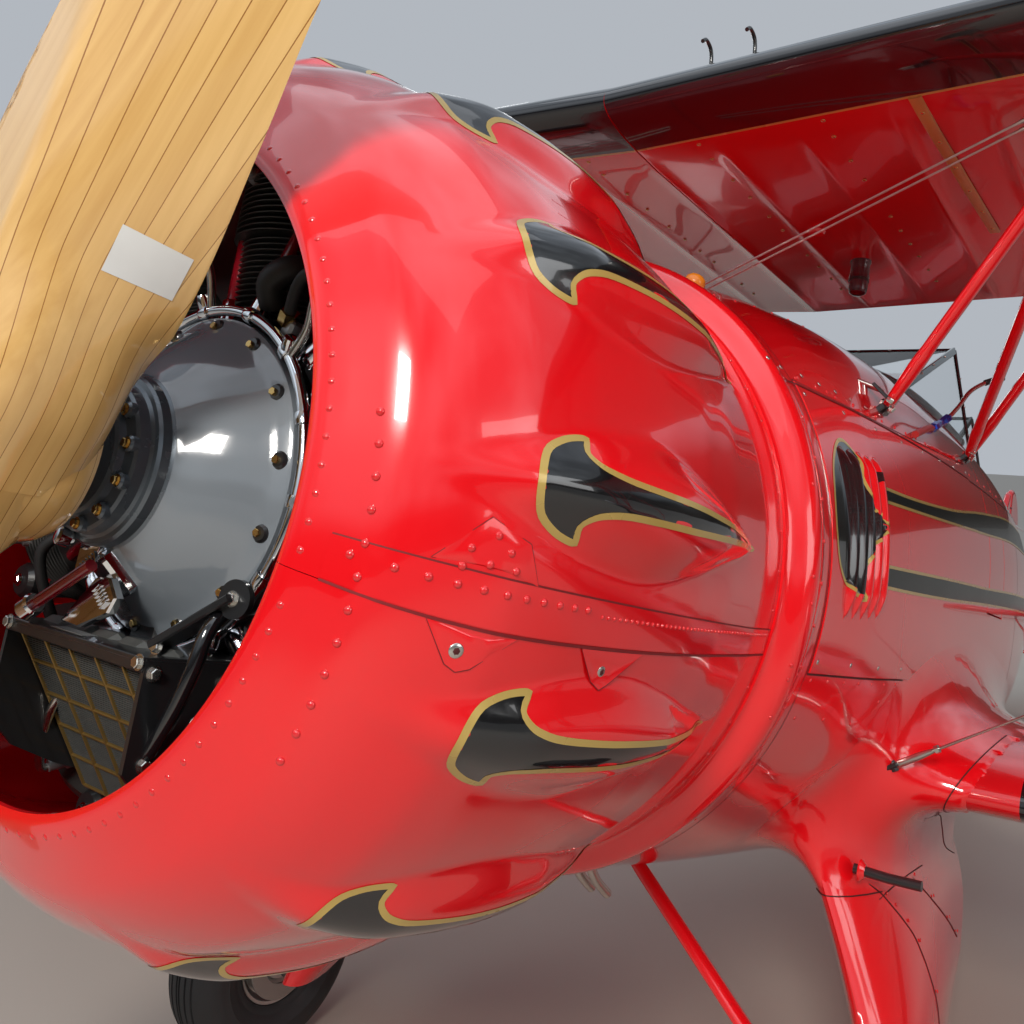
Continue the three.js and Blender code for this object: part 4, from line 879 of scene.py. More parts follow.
def bar(p, q, across, wide, thick):
    """A straight bar with slightly rounded corners."""
    p, q = Vector(p), Vector(q)
    along = (q - p).normalized()
    side = (Vector(across) - along * Vector(across).dot(along)).normalized()
    other = along.cross(side)
    cut = min(wide, thick) * 0.18
    outline = [(wide / 2, -thick / 2 + cut), (wide / 2, thick / 2 - cut), (wide / 2 - cut, thick / 2),
               (cut - wide / 2, thick / 2), (-wide / 2, thick / 2 - cut), (-wide / 2, cut - thick / 2),
               (cut - wide / 2, -thick / 2), (wide / 2 - cut, -thick / 2)]
    cut_ends = ((p, 0.75), (p + along * cut, 1), (q - along * cut, 1), (q, 0.75))
    return lofted([[c + side * u * k + other * v * k for u, v in outline] for c, k in cut_ends])


def hexagon(centre, normal, radius, height):
    """A nut or bolt head with a small washer under it."""
    n = Vector(normal).normalized()
    washer = turned([(0, 0), (radius * 1.35, 0), (radius * 1.35, height * 0.18), (0, height * 0.18)], 16,
                    centre, n)
    nut = turned([(0, height * 0.18), (radius, height * 0.18), (radius, height * 0.85), (radius * 0.86, height),
                  (0, height)], 6, centre, n)
    return merged(washer, nut)


# Engine: a seven-cylinder air-cooled radial. A cast aluminium nose case with ribs and a stud
# ring, black finned cylinders with rocker boxes, two dark red push-rod tubes to each cylinder
# and a polished ignition ring held by clamps round the nose.
case_grey = finish("case_grey", (0.20, 0.225, 0.25), rough=0.12, metal=0.0, coat=1.0, vary=0.06, grain=3,
                   relief=[(260, 0.03, 0.0003)])
collar_grey = finish("collar_grey", (0.12, 0.14, 0.16), rough=0.28, metal=0.5, coat=0.3, vary=0.12, grain=8)
engine_black = finish("engine_black", (0.012, 0.012, 0.013), rough=0.30, coat=0.5, vary=0.35, grain=12,
                      relief=[(140, 0.06, 0.0006)])
fin_black = finish("fin_black", (0.022, 0.021, 0.020), rough=0.42, coat=0.2, vary=0.35, grain=18)
dark_red_tube = finish("dark_red_tube", (0.20, 0.004, 0.010), rough=0.18, coat=0.8, vary=0.1)
rubber_black = finish("rubber_black", (0.016, 0.016, 0.016), rough=0.55, vary=0.3, grain=40)
cast_grey = finish("cast_grey", (0.42, 0.43, 0.43), rough=0.42, metal=0.8, vary=0.15, grain=30,
                   relief=[(300, 0.12, 0.0004)])

NOSE_CASE = [(0, 0.176), (0.050, 0.176), (0.054, 0.179), (0.054, 0.192), (0.060, 0.194), (0.074, 0.195),
             (0.078, 0.198), (0.079, 0.207), (0.083, 0.209), (0.094, 0.210), (0.098, 0.213), (0.100, 0.226),
             (0.104, 0.229), (0.110, 0.230), (0.113, 0.234), (0.114, 0.246), (0.117, 0.2495), (0.124, 0.256),
             (0.140, 0.2675), (0.156, 0.281), (0.172, 0.2965), (0.186, 0.311), (0.198, 0.323), (0.208, 0.332),
             (0.220, 0.337), (0.224, 0.341), (0.224, 0.360), (0.221, 0.364), (0.214, 0.366), (0.212, 0.378),
             (0.218, 0.392), (0.236, 0.400), (0.236, 0.605), (0.246, 0.622), (0.250, 0.650), (0.250, 1.076),
             (0.246, 1.080), (0, 1.080)]
COLLAR_END, CASE_END = 0.249, 0.372
case = made("engine_case", *turned(NOSE_CASE, 112), [case_grey, collar_grey, engine_black], sharp=24)
level_back = LEVEL.inverted()
for polygon in case.data.polygons:
    y = (level_back @ polygon.center).y
    polygon.material_index = 1 if y < COLLAR_END else 2 if y > CASE_END else 0
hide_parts("engine")

grey_parts, stud_parts, dark_parts = [], [], []
for k in range(12):
    a = 30 * k + 11
    foot = wheel_round(a, 0.089, 0.210)
    boss = [(0, -0.004), (0.0105, -0.004), (0.0105, 0.005), (0.008, 0.008), (0, 0.008)]
    grey_parts.append(turned(boss, 18, foot, AHEAD))
    stud_parts.append(hexagon(foot - Vector((0, 0.008, 0)), AHEAD, 0.0058, 0.006))
for k in range(BUMPS):
    out = wheel_round(PITCH * k + 8, 1, 0)
    foot, way = out * 0.208 + Vector((0, 0.336, 0)), out * 0.25 - Vector(AFT)
    boss = [(0, -0.002), (0.012, -0.002), (0.012, 0.004), (0.009, 0.007), (0, 0.007)]
    dark_parts.append(turned(boss, 20, foot, way))
    stud_parts.append(hexagon(foot + Vector((0, -0.006, 0)), way, 0.0056, 0.0055))
shown("engine_case_bosses", grey_parts, collar_grey, "engine_grey")
shown("engine_case_sockets", dark_parts, engine_black, "black_metal")
shown("engine_case_nuts", stud_parts, brass, "plain_steel")

barrel = [(0.094, 0.188), (0.094, 0.232)]
for k in range(26):
    r, d = 0.112 if k < 15 else 0.124, 0.234 + 0.0088 * k
    barrel += [(0.098, d), (r, d + 0.0012), (r + 0.001, d + 0.0022), (r, d + 0.0032), (0.098, d + 0.0044)]
barrel += [(0.098, 0.468), (0.102, 0.480), (0.104, 0.500), (0.088, 0.520), (0.050, 0.534), (0, 0.538)]
CYLINDERS = 7
cylinder_parts, box_parts, rod_parts, end_parts, plug_parts, lead_parts = [], [], [], [], [], []
for k in range(CYLINDERS):
    angle = 90 + 360 / CYLINDERS * k
    out = wheel_round(angle, 1, 0)
    around = wheel_round(angle + 90, 1, 0)
    hub = Vector((0, 0.490, 0))
    cylinder_parts.append(turned([(0, 0.186), *barrel], 42, hub, out))
    cylinder_parts.append(turned(drum(0.122, 0.205, 0.216, 0.104), 24, hub, out))
    for s in (-1, 1):
        tilt = wheel_round(angle + 10.4 * s, 1, 0)
        box = tilt * 0.505 + Vector((0, 0.470, 0))
        box_parts.append(bar(box + Vector((0, -0.062, 0)), box + Vector((0, 0.060, 0)), tilt, 0.050, 0.060))
        box_parts.append(turned([(0, 0), (0.030, 0), (0.030, 0.012), (0.024, 0.020), (0, 0.022)], 24,
                                box + Vector((0, -0.060, 0)), AHEAD))
        end_parts.append(hexagon(box + Vector((0, -0.082, 0)), AHEAD, 0.008, 0.007))
        foot = wheel_round(angle + 7.5 * s, 0.232, 0.382)
        top = tilt * 0.478 + Vector((0, 0.418, 0))
        way = (top - foot).normalized()
        rod_parts.append(tube([foot + way * 0.03, top - way * 0.026], 0.0105, 20))
        end_parts.append(tube([foot, foot + way * 0.012, foot + way * 0.034, foot + way * 0.036],
                              [0.016, 0.0165, 0.0150, 0.011], 20))
        end_parts.append(tube([top - way * 0.03, top - way * 0.028, top - way * 0.004, top],
                              [0.011, 0.0150, 0.0165, 0.014], 20))
    plug = out * 0.452 + Vector((0, 0.385, 0)) + around * 0.030
    plug_parts.append(turned([(0, 0), (0.012, 0), (0.012, 0.018), (0.009, 0.020), (0.009, 0.042), (0, 0.044)],
                             16, plug, out * 0.35 - Vector(AFT)))
    start = wheel_round(angle + 6, 0.244, 0.345)
    lead = curved([start, start + out * 0.045 + Vector((0, -0.012, 0)), out * 0.36 + Vector((0, 0.305, 0))
                   + around * 0.034, plug + Vector((0, -0.052, 0)) + out * 0.012,
                   plug + Vector((0, -0.022, 0)) + out * 0.004], 8)
    lead_parts.append(tube(lead, 0.0062, 14))
for name, parts, material, slot in (
        ("engine_cylinders", cylinder_parts, fin_black, "black_metal"),
        ("engine_rocker_boxes", box_parts, engine_black, "black_metal"),
        ("engine_push_rod_tubes", rod_parts, dark_red_tube, "red_tubes"),
        ("engine_chrome_ends", end_parts, polished, "plain_steel"),
        ("engine_spark_plugs", plug_parts, cast_grey, "plain_steel"),
        ("engine_ignition_leads", lead_parts, bright_screw, "plain_steel")):
    shown(name, parts, material, slot, sharp=28)

ring_parts = [turned([(0.237 + 0.0078 * math.cos(t), 0.346 + 0.0078 * math.sin(t)) for t in circle(20)], 160)]
for k in range(BUMPS):
    a = PITCH * k + 21
    at = wheel_round(a, 0.237, 0.346)
    way = wheel_round(a + 90, 1, 0)
    ring_parts.append(turned(eyelet(0.0085, 0.0112, 0.0118, 0.004, 0.008), 24, at, way))
    if k % 2:
        ring_parts.append(turned([(0, 0), (0.0095, 0), (0.0100, 0.020), (0.0078, 0.026), (0, 0.028)], 20, at,
                                 wheel_round(a, 1, 0) - Vector((0, 0.5, 0))))
shown("ignition_ring", ring_parts, polished, "plain_steel", sharp=28)

# Odds and ends in the mouth of the cowl: a rubber elbow, a pale connector box, oil pipes with
# bright unions and the baffle plates between the cylinders.
baffles, pipes, unions = [], [], []
for k in range(CYLINDERS):
    a = 90 + 360 / CYLINDERS * (k + 0.5)
    rows = []
    for r in np.linspace(0.245, 0.555, 14):
        half = math.degrees(0.5 * (2 * math.pi * r / CYLINDERS - 0.26) / r)
        rows.append([wheel_round(a + half * u, r, 0.452 + 0.022 * (1 - u * u)) for u in np.linspace(-1, 1, 13)])
    back = [[p + Vector((0, 0.0025, 0)) for p in row] for row in rows]
    baffles.append(lofted([row + b[::-1] for row, b in zip(rows, back)]))
for a0, a1, r0, r1 in ((60, 40, 0.262, 0.44), (128, 150, 0.27, 0.45), (-20, -42, 0.262, 0.46),
                       (200, 222, 0.27, 0.45)):
    way = curved([wheel_round(a0, r0, 0.36), wheel_round(a0 + (a1 - a0) * 0.2, r0 + 0.07, 0.335),
                  wheel_round(a0 + (a1 - a0) * 0.7, r1 - 0.06, 0.37), wheel_round(a1, r1, 0.43)], 10)
    pipes.append(tube(way, 0.0085, 16))
    for end, a, b in ((0, 0, 1), (-1, -2, -1)):
        unions.append(turned(drum(0.013, -0.010, 0.010), 6, way[end], way[b] - way[a]))
elbow = curved([wheel_round(73, 0.262, 0.372), wheel_round(72, 0.290, 0.352), wheel_round(69, 0.318, 0.362),
                wheel_round(67, 0.335, 0.41)], 10)
pipes.append(tube(elbow, 0.019, 24))
shown("engine_baffles", baffles, engine_black, "black_metal", sharp=28)
shown("engine_hoses", pipes, rubber_black, "black_metal")
shown("engine_unions", unions, brass, "plain_steel")
pale_box = bar(wheel_round(57.5, 0.238, 0.372), wheel_round(58.5, 0.262, 0.372), AFT, 0.028, 0.022)
shown("engine_connector", [pale_box], cast_grey, "plain_steel")

# Oil cooler: a brazed brass core in a black sheet frame, hung below the nose case on a bracket
# in the mouth of the cowl, with an oil pipe and a throttle rod beside it.
core_grey = finish("core_grey", (0.13, 0.135, 0.13), rough=0.5, metal=0.6, vary=0.3, grain=60,
                   relief=[(700, 0.2, 0.0005)])
core_gold = finish("core_gold", (0.34, 0.22, 0.07), rough=0.4, metal=0.7, vary=0.2, grain=40)
LEAN = Matrix.Translation((0.020, 0.238, -0.236)) @ Matrix.Rotation(math.radians(33), 4, "X")


def leaning(part):
    """A part of the cooler turned from upright to its leaning place."""
    return [LEAN @ Vector(p) for p in part[0]], part[1]


CORE_LEFT, CELL_WIDE, CELL_HIGH = -0.1525, 0.061, 0.0515
core_parts, web_parts, fin_parts = [], [], []
for i in range(5):
    for j in range(5):
        u, v = CORE_LEFT + CELL_WIDE * (i + 0.5), -CELL_HIGH * (j + 0.5)
        core_parts.append(bar((u, 0.006, v), (u, 0.050, v), LEFT, 0.057, 0.048))
        for k in range(14):
            z = v - 0.0235 + 0.00345 * (k + 0.5)
            fin_parts.append(bar((u - 0.028, 0.0055, z), (u + 0.028, 0.0055, z), UP, 0.0012, 0.005))
for i in range(6):
    u, v = CORE_LEFT + CELL_WIDE * i, -CELL_HIGH * i
    web_parts.append(bar((u, 0.003, 0), (u, 0.003, -CELL_HIGH * 5), LEFT, 0.0034, 0.006))
    web_parts.append(bar((CORE_LEFT, 0.0035, v), (-CORE_LEFT, 0.0035, v), UP, 0.0032, 0.006))
shown("oil_cooler_core", [leaning(merged(*core_parts))], core_grey, "black_metal")
shown("oil_cooler_fins", [leaning(merged(*fin_parts))], core_grey, "black_metal")
shown("oil_cooler_webs", [leaning(merged(*web_parts))], core_gold, "black_metal")
cheek = [(0.228, -0.226), (0.228, -0.352), (0.268, -0.392), (0.330, -0.418), (0.372, -0.430), (0.372, -0.226)]
frame_parts = [lofted([[Vector((x + w, y, z)) for y, z in cheek] for w in (-0.0035, 0.0035)])
               for x in (-0.1415, 0.1785)]
frame_parts += [bar(*ends) for ends in (
    ((-0.143, 0.300, -0.2255), (0.180, 0.300, -0.2255), AFT, 0.150, 0.006),
    ((-0.143, 0.2295, -0.2315), (0.180, 0.2295, -0.2315), UP, 0.017, 0.006),
    ((0.0, 0.345, -0.228), (0.0, 0.345, -0.200), LEFT, 0.060, 0.026),
    ((0.140, 0.268, -0.213), (0.246, 0.286, -0.140), (0, 1, 0.2), 0.040, 0.010))]
frame_parts.append(turned([(0, 0), (0.021, 0), (0.023, 0.003), (0.023, 0.011), (0, 0.011)], 28,
                          (0.243, 0.290, -0.143), (0.2, -1, 0)))
shown("oil_cooler_frame", frame_parts, engine_black, "black_metal", "oil_cooler")
bolts = [hexagon(place, way, 0.0072, 0.007) for place, way in (
    ((0.182, 0.240, -0.240), LEFT), ((0.182, 0.252, -0.343), LEFT), ((0.182, 0.335, -0.250), LEFT),
    ((0.182, 0.335, -0.395), LEFT), ((0.172, 0.226, -0.229), AHEAD), ((-0.134, 0.226, -0.229), AHEAD),
    ((0.152, 0.258, -0.214), (0.1, -1, 0.2)), ((0.243, 0.279, -0.143), (0.2, -1, 0)))]
shown("oil_cooler_bolts", bolts, bright_screw, "plain_steel")
black_pipe = curved([(0.128, 0.300, -0.392), (0.163, 0.262, -0.352), (0.190, 0.258, -0.312),
                     (0.212, 0.258, -0.268), (0.226, 0.260, -0.222), (0.228, 0.268, -0.180),
                     (0.222, 0.300, -0.150)], 10)
shown("oil_pipe", [tube(black_pipe, 0.0095, 20)], gloss_black, "black_metal")
shown("oil_cooler_plate", [bar((-0.055, 0.249, -0.2222), (0.020, 0.249, -0.2222), AFT, 0.022, 0.0008)],
      cast_grey, "plain_steel")
rod_start, rod_end = Vector((-0.085, 0.222, -0.203)), Vector((0.036, 0.224, -0.133))
way = (rod_end - rod_start).normalized()
shown("throttle_rod", [tube([rod_start + way * 0.01, rod_end - way * 0.004], 0.0078, 24)], dark_red_tube,
      "red_tubes")
rod_ends = [turned(eyelet(0, 0.0125, 0.0150, 0.009, 0.013), 32, rod_start, way),
            turned([(0, -0.010), (0.010, -0.010), (0.0125, -0.006), (0.0125, 0.008), (0.009, 0.011),
                    (0, 0.012)], 28, (-0.040, 0.222, -0.107), (-0.2, -1, 0.2))]
plate = [(-0.028, -0.100), (0.006, -0.098), (0.018, -0.112), (0.012, -0.128), (-0.018, -0.152),
         (-0.030, -0.146)]
low_plate = [(0.010, -0.150), (0.040, -0.148), (0.062, -0.170), (0.052, -0.190), (-0.010, -0.216),
             (-0.052, -0.214)]
for outline, y in ((plate, 0.238), (low_plate, 0.246)):
    centre = [sum(p[k] for p in outline) / len(outline) for k in (0, 1)]
    inner = [(x * 0.94 + centre[0] * 0.06, z * 0.94 + centre[1] * 0.06) for x, z in outline]
    rod_ends.append(lofted([[Vector((x, y + d, z)) for x, z in shape]
                            for shape, d in ((inner, 0), (outline, 0.003), (outline, 0.012))]))
for t in (k / 5 for k in range(6)):
    for p, q, shift in (((-0.016, 0.2365, -0.137), (-0.008, 0.2365, -0.150), (0.028, 0, 0.019)),
                        ((0.026, 0.2445, -0.158), (0.014, 0.2445, -0.168), (0.024, 0, -0.018))):
        move = Vector(shift) * t
        rod_ends.append(bar(Vector(p) + move, Vector(q) + move, AFT, 0.005, 0.0022))
rod_ends.append(bar((0.0, 0.250, -0.120), (0.02, 0.290, -0.165), LEFT, 0.050, 0.026))
shown("governor_bracket", rod_ends, polished, "plain_steel", sharp=28)

# Propeller: two blades carved from one laminated block of varnished pale hardwood, clamped to the
# shaft by a bolted front plate. Thin brown glue lines show where the carving cuts the layers.
LAYER_THICK, GLUE_SHARE = 0.0175, 0.022


def laminated(name):
    """Varnished wood in glued layers, laid out by each point's stored place in the blank."""
    material = finish(name, (0.66, 0.34, 0.085), rough=0.20, coat=1.0, vary=0.14, grain=6)
    tree = material.node_tree
    lay = tree.nodes.new("ShaderNodeAttribute")
    lay.attribute_name = "lay"
    split = add(tree, "SeparateXYZ", [(0, lay.outputs["Vector"])])
    layer = maths(tree, "DIVIDE", split.outputs["Y"], LAYER_THICK)
    shade = tree.nodes.new("ShaderNodeTexWhiteNoise")
    shade.noise_dimensions = "1D"
    tree.links.new(maths(tree, "FLOOR", layer), shade.inputs["W"])
    edge = maths(tree, "LESS_THAN", maths(tree, "PINGPONG", layer, 0.5), GLUE_SHARE)
    grow = add(tree, "Mapping", [("Vector", lay.outputs["Vector"])], Scale=(95, 60, 3.2))
    streak = add(tree, "TexNoise", [("Vector", grow.outputs["Vector"])], Scale=1.0, Detail=5.0)
    blend = maths(tree, "ADD", maths(tree, "MULTIPLY", streak.outputs["Fac"], 0.75),
                  maths(tree, "MULTIPLY", shade.outputs["Value"], 0.30))
    tone = colour_mix(tree, blend, (0.56, 0.30, 0.085), (0.86, 0.56, 0.22))
    glued = colour_mix(tree, edge, tone, (0.30, 0.125, 0.030))
    tree.links.new(glued, tree.nodes["Principled BSDF"].inputs["Base Color"])
    return material


propeller_wood = laminated("propeller_wood")
blade_rows = eased([[0.02, 0.200, 0.120], [0.10, 0.262, 0.112], [0.18, 0.282, 0.094], [0.30, 0.284, 0.066],
                    [0.46, 0.270, 0.042], [0.60, 0.246, 0.033], [0.76, 0.224, 0.026], [0.92, 0.196, 0.019],
                    [1.08, 0.152, 0.014], [1.18, 0.096, 0.010], [1.219, 0.026, 0.005]])
BLADE_SECTION = [(-0.5, 0), (-0.42, 0.36), (-0.22, 0.68), (0.05, 0.70), (0.3, 0.42), (0.5, 0.05),
                 (0.5, -0.05), (0.2, -0.28), (-0.15, -0.32), (-0.42, -0.22)]
section = curved(BLADE_SECTION, 5, closed=True)
PROP_AT = Matrix.Translation((0, 0.050, 0)) @ Matrix.Rotation(math.radians(32), 4, "Y")


BOSS_MIDDLE, BOSS_HALF = 0.029, (0.121, 0.0895)


def blade(turn):
    """One blade from the shaft to the tip; its root swells into the rounded block of the boss."""
    rings = []
    for r in [*np.linspace(0.0, 0.28, 29), *np.linspace(0.295, 1.16, 58), 1.175, 1.19, 1.203, 1.213, 1.219]:
        chord, thick = blade_rows(float(r))
        twist = math.atan2(1.65, 2 * math.pi * max(r, 0.17))
        root = min(1.0, max(0.0, (0.27 - r) / 0.20))
        root = root * root * (3 - 2 * root)
        along = Vector((-math.cos(twist), -math.sin(twist), 0))
        ahead = Vector((math.sin(twist), -math.cos(twist), 0))
        ring = []
        for u, v in section:
            p = Vector((0, 0, r)) - along * u * chord + ahead * v * thick
            p.y = max(-0.0600, min(0.1180, p.y))
            off = Vector((p.x, p.y - BOSS_MIDDLE, 0))
            reach = ((abs(off.x) / BOSS_HALF[0]) ** 4 + (abs(off.y) / BOSS_HALF[1]) ** 4) ** 0.25
            p = p.lerp(Vector((0, BOSS_MIDDLE, r)) + off / max(reach, 1e-6), root)
            ring.append(PROP_AT @ turn @ p)
        rings.append(ring)
    return lofted(rings)


boss = turned([(0, -0.0617), (0.100, -0.0617), (0.108, -0.0590), (0.112, -0.052), (0.118, 0.020),
               (0.121, 0.080), (0.119, 0.098), (0.112, 0.111), (0.098, 0.1185), (0.080, 0.1200), (0, 0.1200)],
              112, (0, 0.050, 0))
half_turn = Matrix.Rotation(math.pi, 4, "Y")
wood = made("propeller_blades", *merged(blade(Matrix.Identity(4)), blade(half_turn)), propeller_wood,
            "propeller", sharp=50)
hub = made("propeller_boss", *boss, propeller_wood, "propeller")
to_blade = (LEVEL @ PROP_AT).inverted()
for piece in (wood, hub):
    lay = piece.data.attributes.new("lay", "FLOAT_VECTOR", "POINT")
    lay.data.foreach_set("vector", [c for v in piece.data.vertices for c in to_blade @ v.co])
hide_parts("propeller")
plate = turned([(0, -0.0520), (0.026, -0.0520), (0.032, -0.0505), (0.034, -0.047), (0.034, -0.0245),
                (0.038, -0.0242), (0.088, -0.0242), (0.092, -0.0215), (0.092, -0.0124), (0, -0.0124)], 80)
shown("propeller_clamp_plate", [plate], polished, "plain_steel", "propeller_front_plate", body="propeller",
      sharp=28)


def on_plate(degrees, radius, depth):
    """A point on the propeller's front plate."""
    a = math.radians(degrees)
    return PROP_AT @ Vector((radius * math.cos(a), depth, radius * math.sin(a)))


BOLT_CIRCLE = 0.066
plate_bolts = [hexagon(on_plate(45 * k, BOLT_CIRCLE, -0.0742), AHEAD, 0.0095, 0.009) for k in range(8)]
lock_wire = [on_plate(45 * k + turn, BOLT_CIRCLE * share, -0.0835) for k in range(8)
             for turn, share in ((-22.5, 1.0), (0, 0.93))]
wire_loop = curved(lock_wire, 4, closed=True)
shown("propeller_bolts", plate_bolts, bright_screw, "plain_steel", body="propeller")
shown("propeller_lock_wire", [tube(wire_loop + wire_loop[:1], 0.0009, 6)], bright_screw, "plain_steel",
      body="propeller")

# Data plate: a small blank sheet painted white and stuck to the front of the upper blade. It
# follows the carved wood, where rays from the camera's place meet the blade.
placard_white = finish("placard_white", (0.72, 0.72, 0.70), rough=0.35, coat=0.3, vary=0.05, grain=30)
tree_of_wood = BVHTree.FromPolygons([LEVEL.inverted() @ v.co for v in wood.data.vertices],
                                    [tuple(p.vertices) for p in wood.data.polygons])
lens = Vector((1.1494, -0.4091, -0.0744))
corners = [Vector(c) for c in ((0.2943, 0.0302, 0.2011), (0.3240, 0.0914, 0.1870), (0.3091, 0.0872, 0.1439),
                               (0.2794, 0.0275, 0.1550))]
rows = []
for j in range(9):
    row = []
    for i in range(15):
        u, v = i / 14, j / 8
        aim = (corners[0] * (1 - u) + corners[1] * u) * (1 - v) + (corners[3] * (1 - u) + corners[2] * u) * v
        hit, normal, *_ = tree_of_wood.ray_cast(lens, (aim - lens).normalized())
        row.append(hit + (lens - hit).normalized() * 0.0007 if hit else aim)
    rows.append(row)
shown("propeller_data_plate", [lofted(rows, around=False, caps=False)], placard_white, "varnished_wood",
      body="propeller")

# Wings: wooden spars and ribs with fabric doped on, drawn slightly hollow between the ribs, with
# a tape over each rib; plywood covers the nose. The black nose band ends in a gold pinstripe.
CHORD = 1.448
DIHEDRAL = math.radians(2)
INNER_RIB = 0.862
LEADS = {"upper": (1.169, 1.024), "lower": (1.830, -0.390)}
SPANS = {"upper": (4.572, 3.700, 0.0005, 2.300, 3.690), "lower": (4.089, 3.240, 0.330, 1.950, 3.230)}
RIB = 0.1905
HINGE_AT = 0.77


def camber(f):
    """Height of the section's middle line, as a share of the chord."""
    return 0.035 / 0.16 * (0.8 * f - f * f) if f < 0.4 else 0.035 / 0.36 * (0.2 + 0.8 * f - f * f)


def half_thick(f):
    """Half the section's thickness, as a share of the chord."""
    return 0.6 * (0.2969 * math.sqrt(f) - 0.126 * f - 0.3516 * f**2 + 0.2843 * f**3 - 0.1036 * f**4)


def wing_frame(name, side=1):
    """The matrix from a wing's own frame, leading edge and dihedral, to the level attitude."""
    y, z = LEADS[name]
    frame = Matrix.Translation((0, y, z)) @ Matrix.Rotation(-DIHEDRAL, 4, "Y")
    return Matrix.Diagonal((side, 1, 1, 1)) @ frame


def skin_height(f, over, lift=0.0, chord=CHORD):
    """Height of the upper skin, or with over -1 of the lower one, at a share of the chord."""
    return camber(f) * chord + over * (half_thick(f) * chord + 0.0025 * f + lift)


def rib_sag(x, f):
    """How far the fabric lies below the ribs at a distance along the wing."""
    if f < 0.17 or f > 0.985:
        return 0.0
    u = abs((x / RIB) % 1 - 0.5) * 2
    deep = min(1.0, (f - 0.17) / 0.06) * min(1.0, (0.985 - f) / 0.08)
    tape = 0.00045 if u > 0.90 else 0.0
    return 0.0026 * deep * (1 - u**3.0) - tape


def on_wing(name, x, f, over, lift=0.0, side=1):
    return wing_frame(name, side) @ Vector((x, f * CHORD, skin_height(f, over, lift)))


PIN_BAND = 0.1115
PIN_EDGE = PIN_BAND + 0.0052
OVER = [0, 0.0015, 0.004, 0.008, 0.014, 0.022, 0.032, 0.045, 0.060, 0.076, 0.093, PIN_BAND, PIN_EDGE, 0.135,
        0.155, 0.17, 0.19, 0.22, 0.26, 0.31, 0.36, 0.42, 0.48, 0.54, 0.60, 0.66, 0.71, 0.74, 0.752, 0.77, 0.80,
        0.84, 0.88, 0.92, 0.955, 0.985, 1.0]
black_band = finish("wing_band_black", (0.006, 0.006, 0.008), rough=0.14, coat=1.0, vary=0.2, rough_vary=0.03,
                    relief=[(2.2, 0.10, 0.004)])
ROUND = [(f, 1) for f in OVER[::-1]] + [(f, -1) for f in OVER[1:]]


def wing_ring(x, lead, chord, sag=True):
    """The section's outline at a distance along the wing."""
    points = []
    for f, over in ROUND:
        z = skin_height(f, over, -rib_sag(x, f) if sag else 0, chord)
        points.append(Vector((x, lead + f * chord, z)))
    return points


def rib_stations(x0, x1):
    """Distances along the wing that catch every rib, its tape and the sag between."""
    stations = {round(x0, 4), round(x1, 4)}
    first, last = int(x0 / RIB) - 1, int(x1 / RIB) + 1
    for k in range(first, last + 1):
        for u in (0.5 - 0.045, 0.5 + 0.045, 0.5 - 0.055, 0.5 + 0.055, -0.3, -0.15, 0.0, 0.15, 0.3, 0.5):
            x = (k + 0.5 + u) * RIB
            if x0 < x < x1:
                stations.add(round(x, 4))
    return sorted(stations)


LINK_X = 2.600
HORNS = {"lower": (0.130, 1), "upper": (0.181, -1)}
hinge_y = HINGE_AT * CHORD
hinge_z = camber(HINGE_AT) * CHORD


def horn_points(name):
    """The eye and the foot of an aileron's horn in the wing's own frame, and which side it is on."""
    aft, way = HORNS[name]
    f = (hinge_y + aft) / CHORD
    rise = camber(f) * CHORD - hinge_z + way * (half_thick(f) * CHORD + 0.028)
    return (Vector((LINK_X, hinge_y + aft, hinge_z + rise)),
            Vector((LINK_X, hinge_y + aft, hinge_z + rise - way * 0.045)), way)


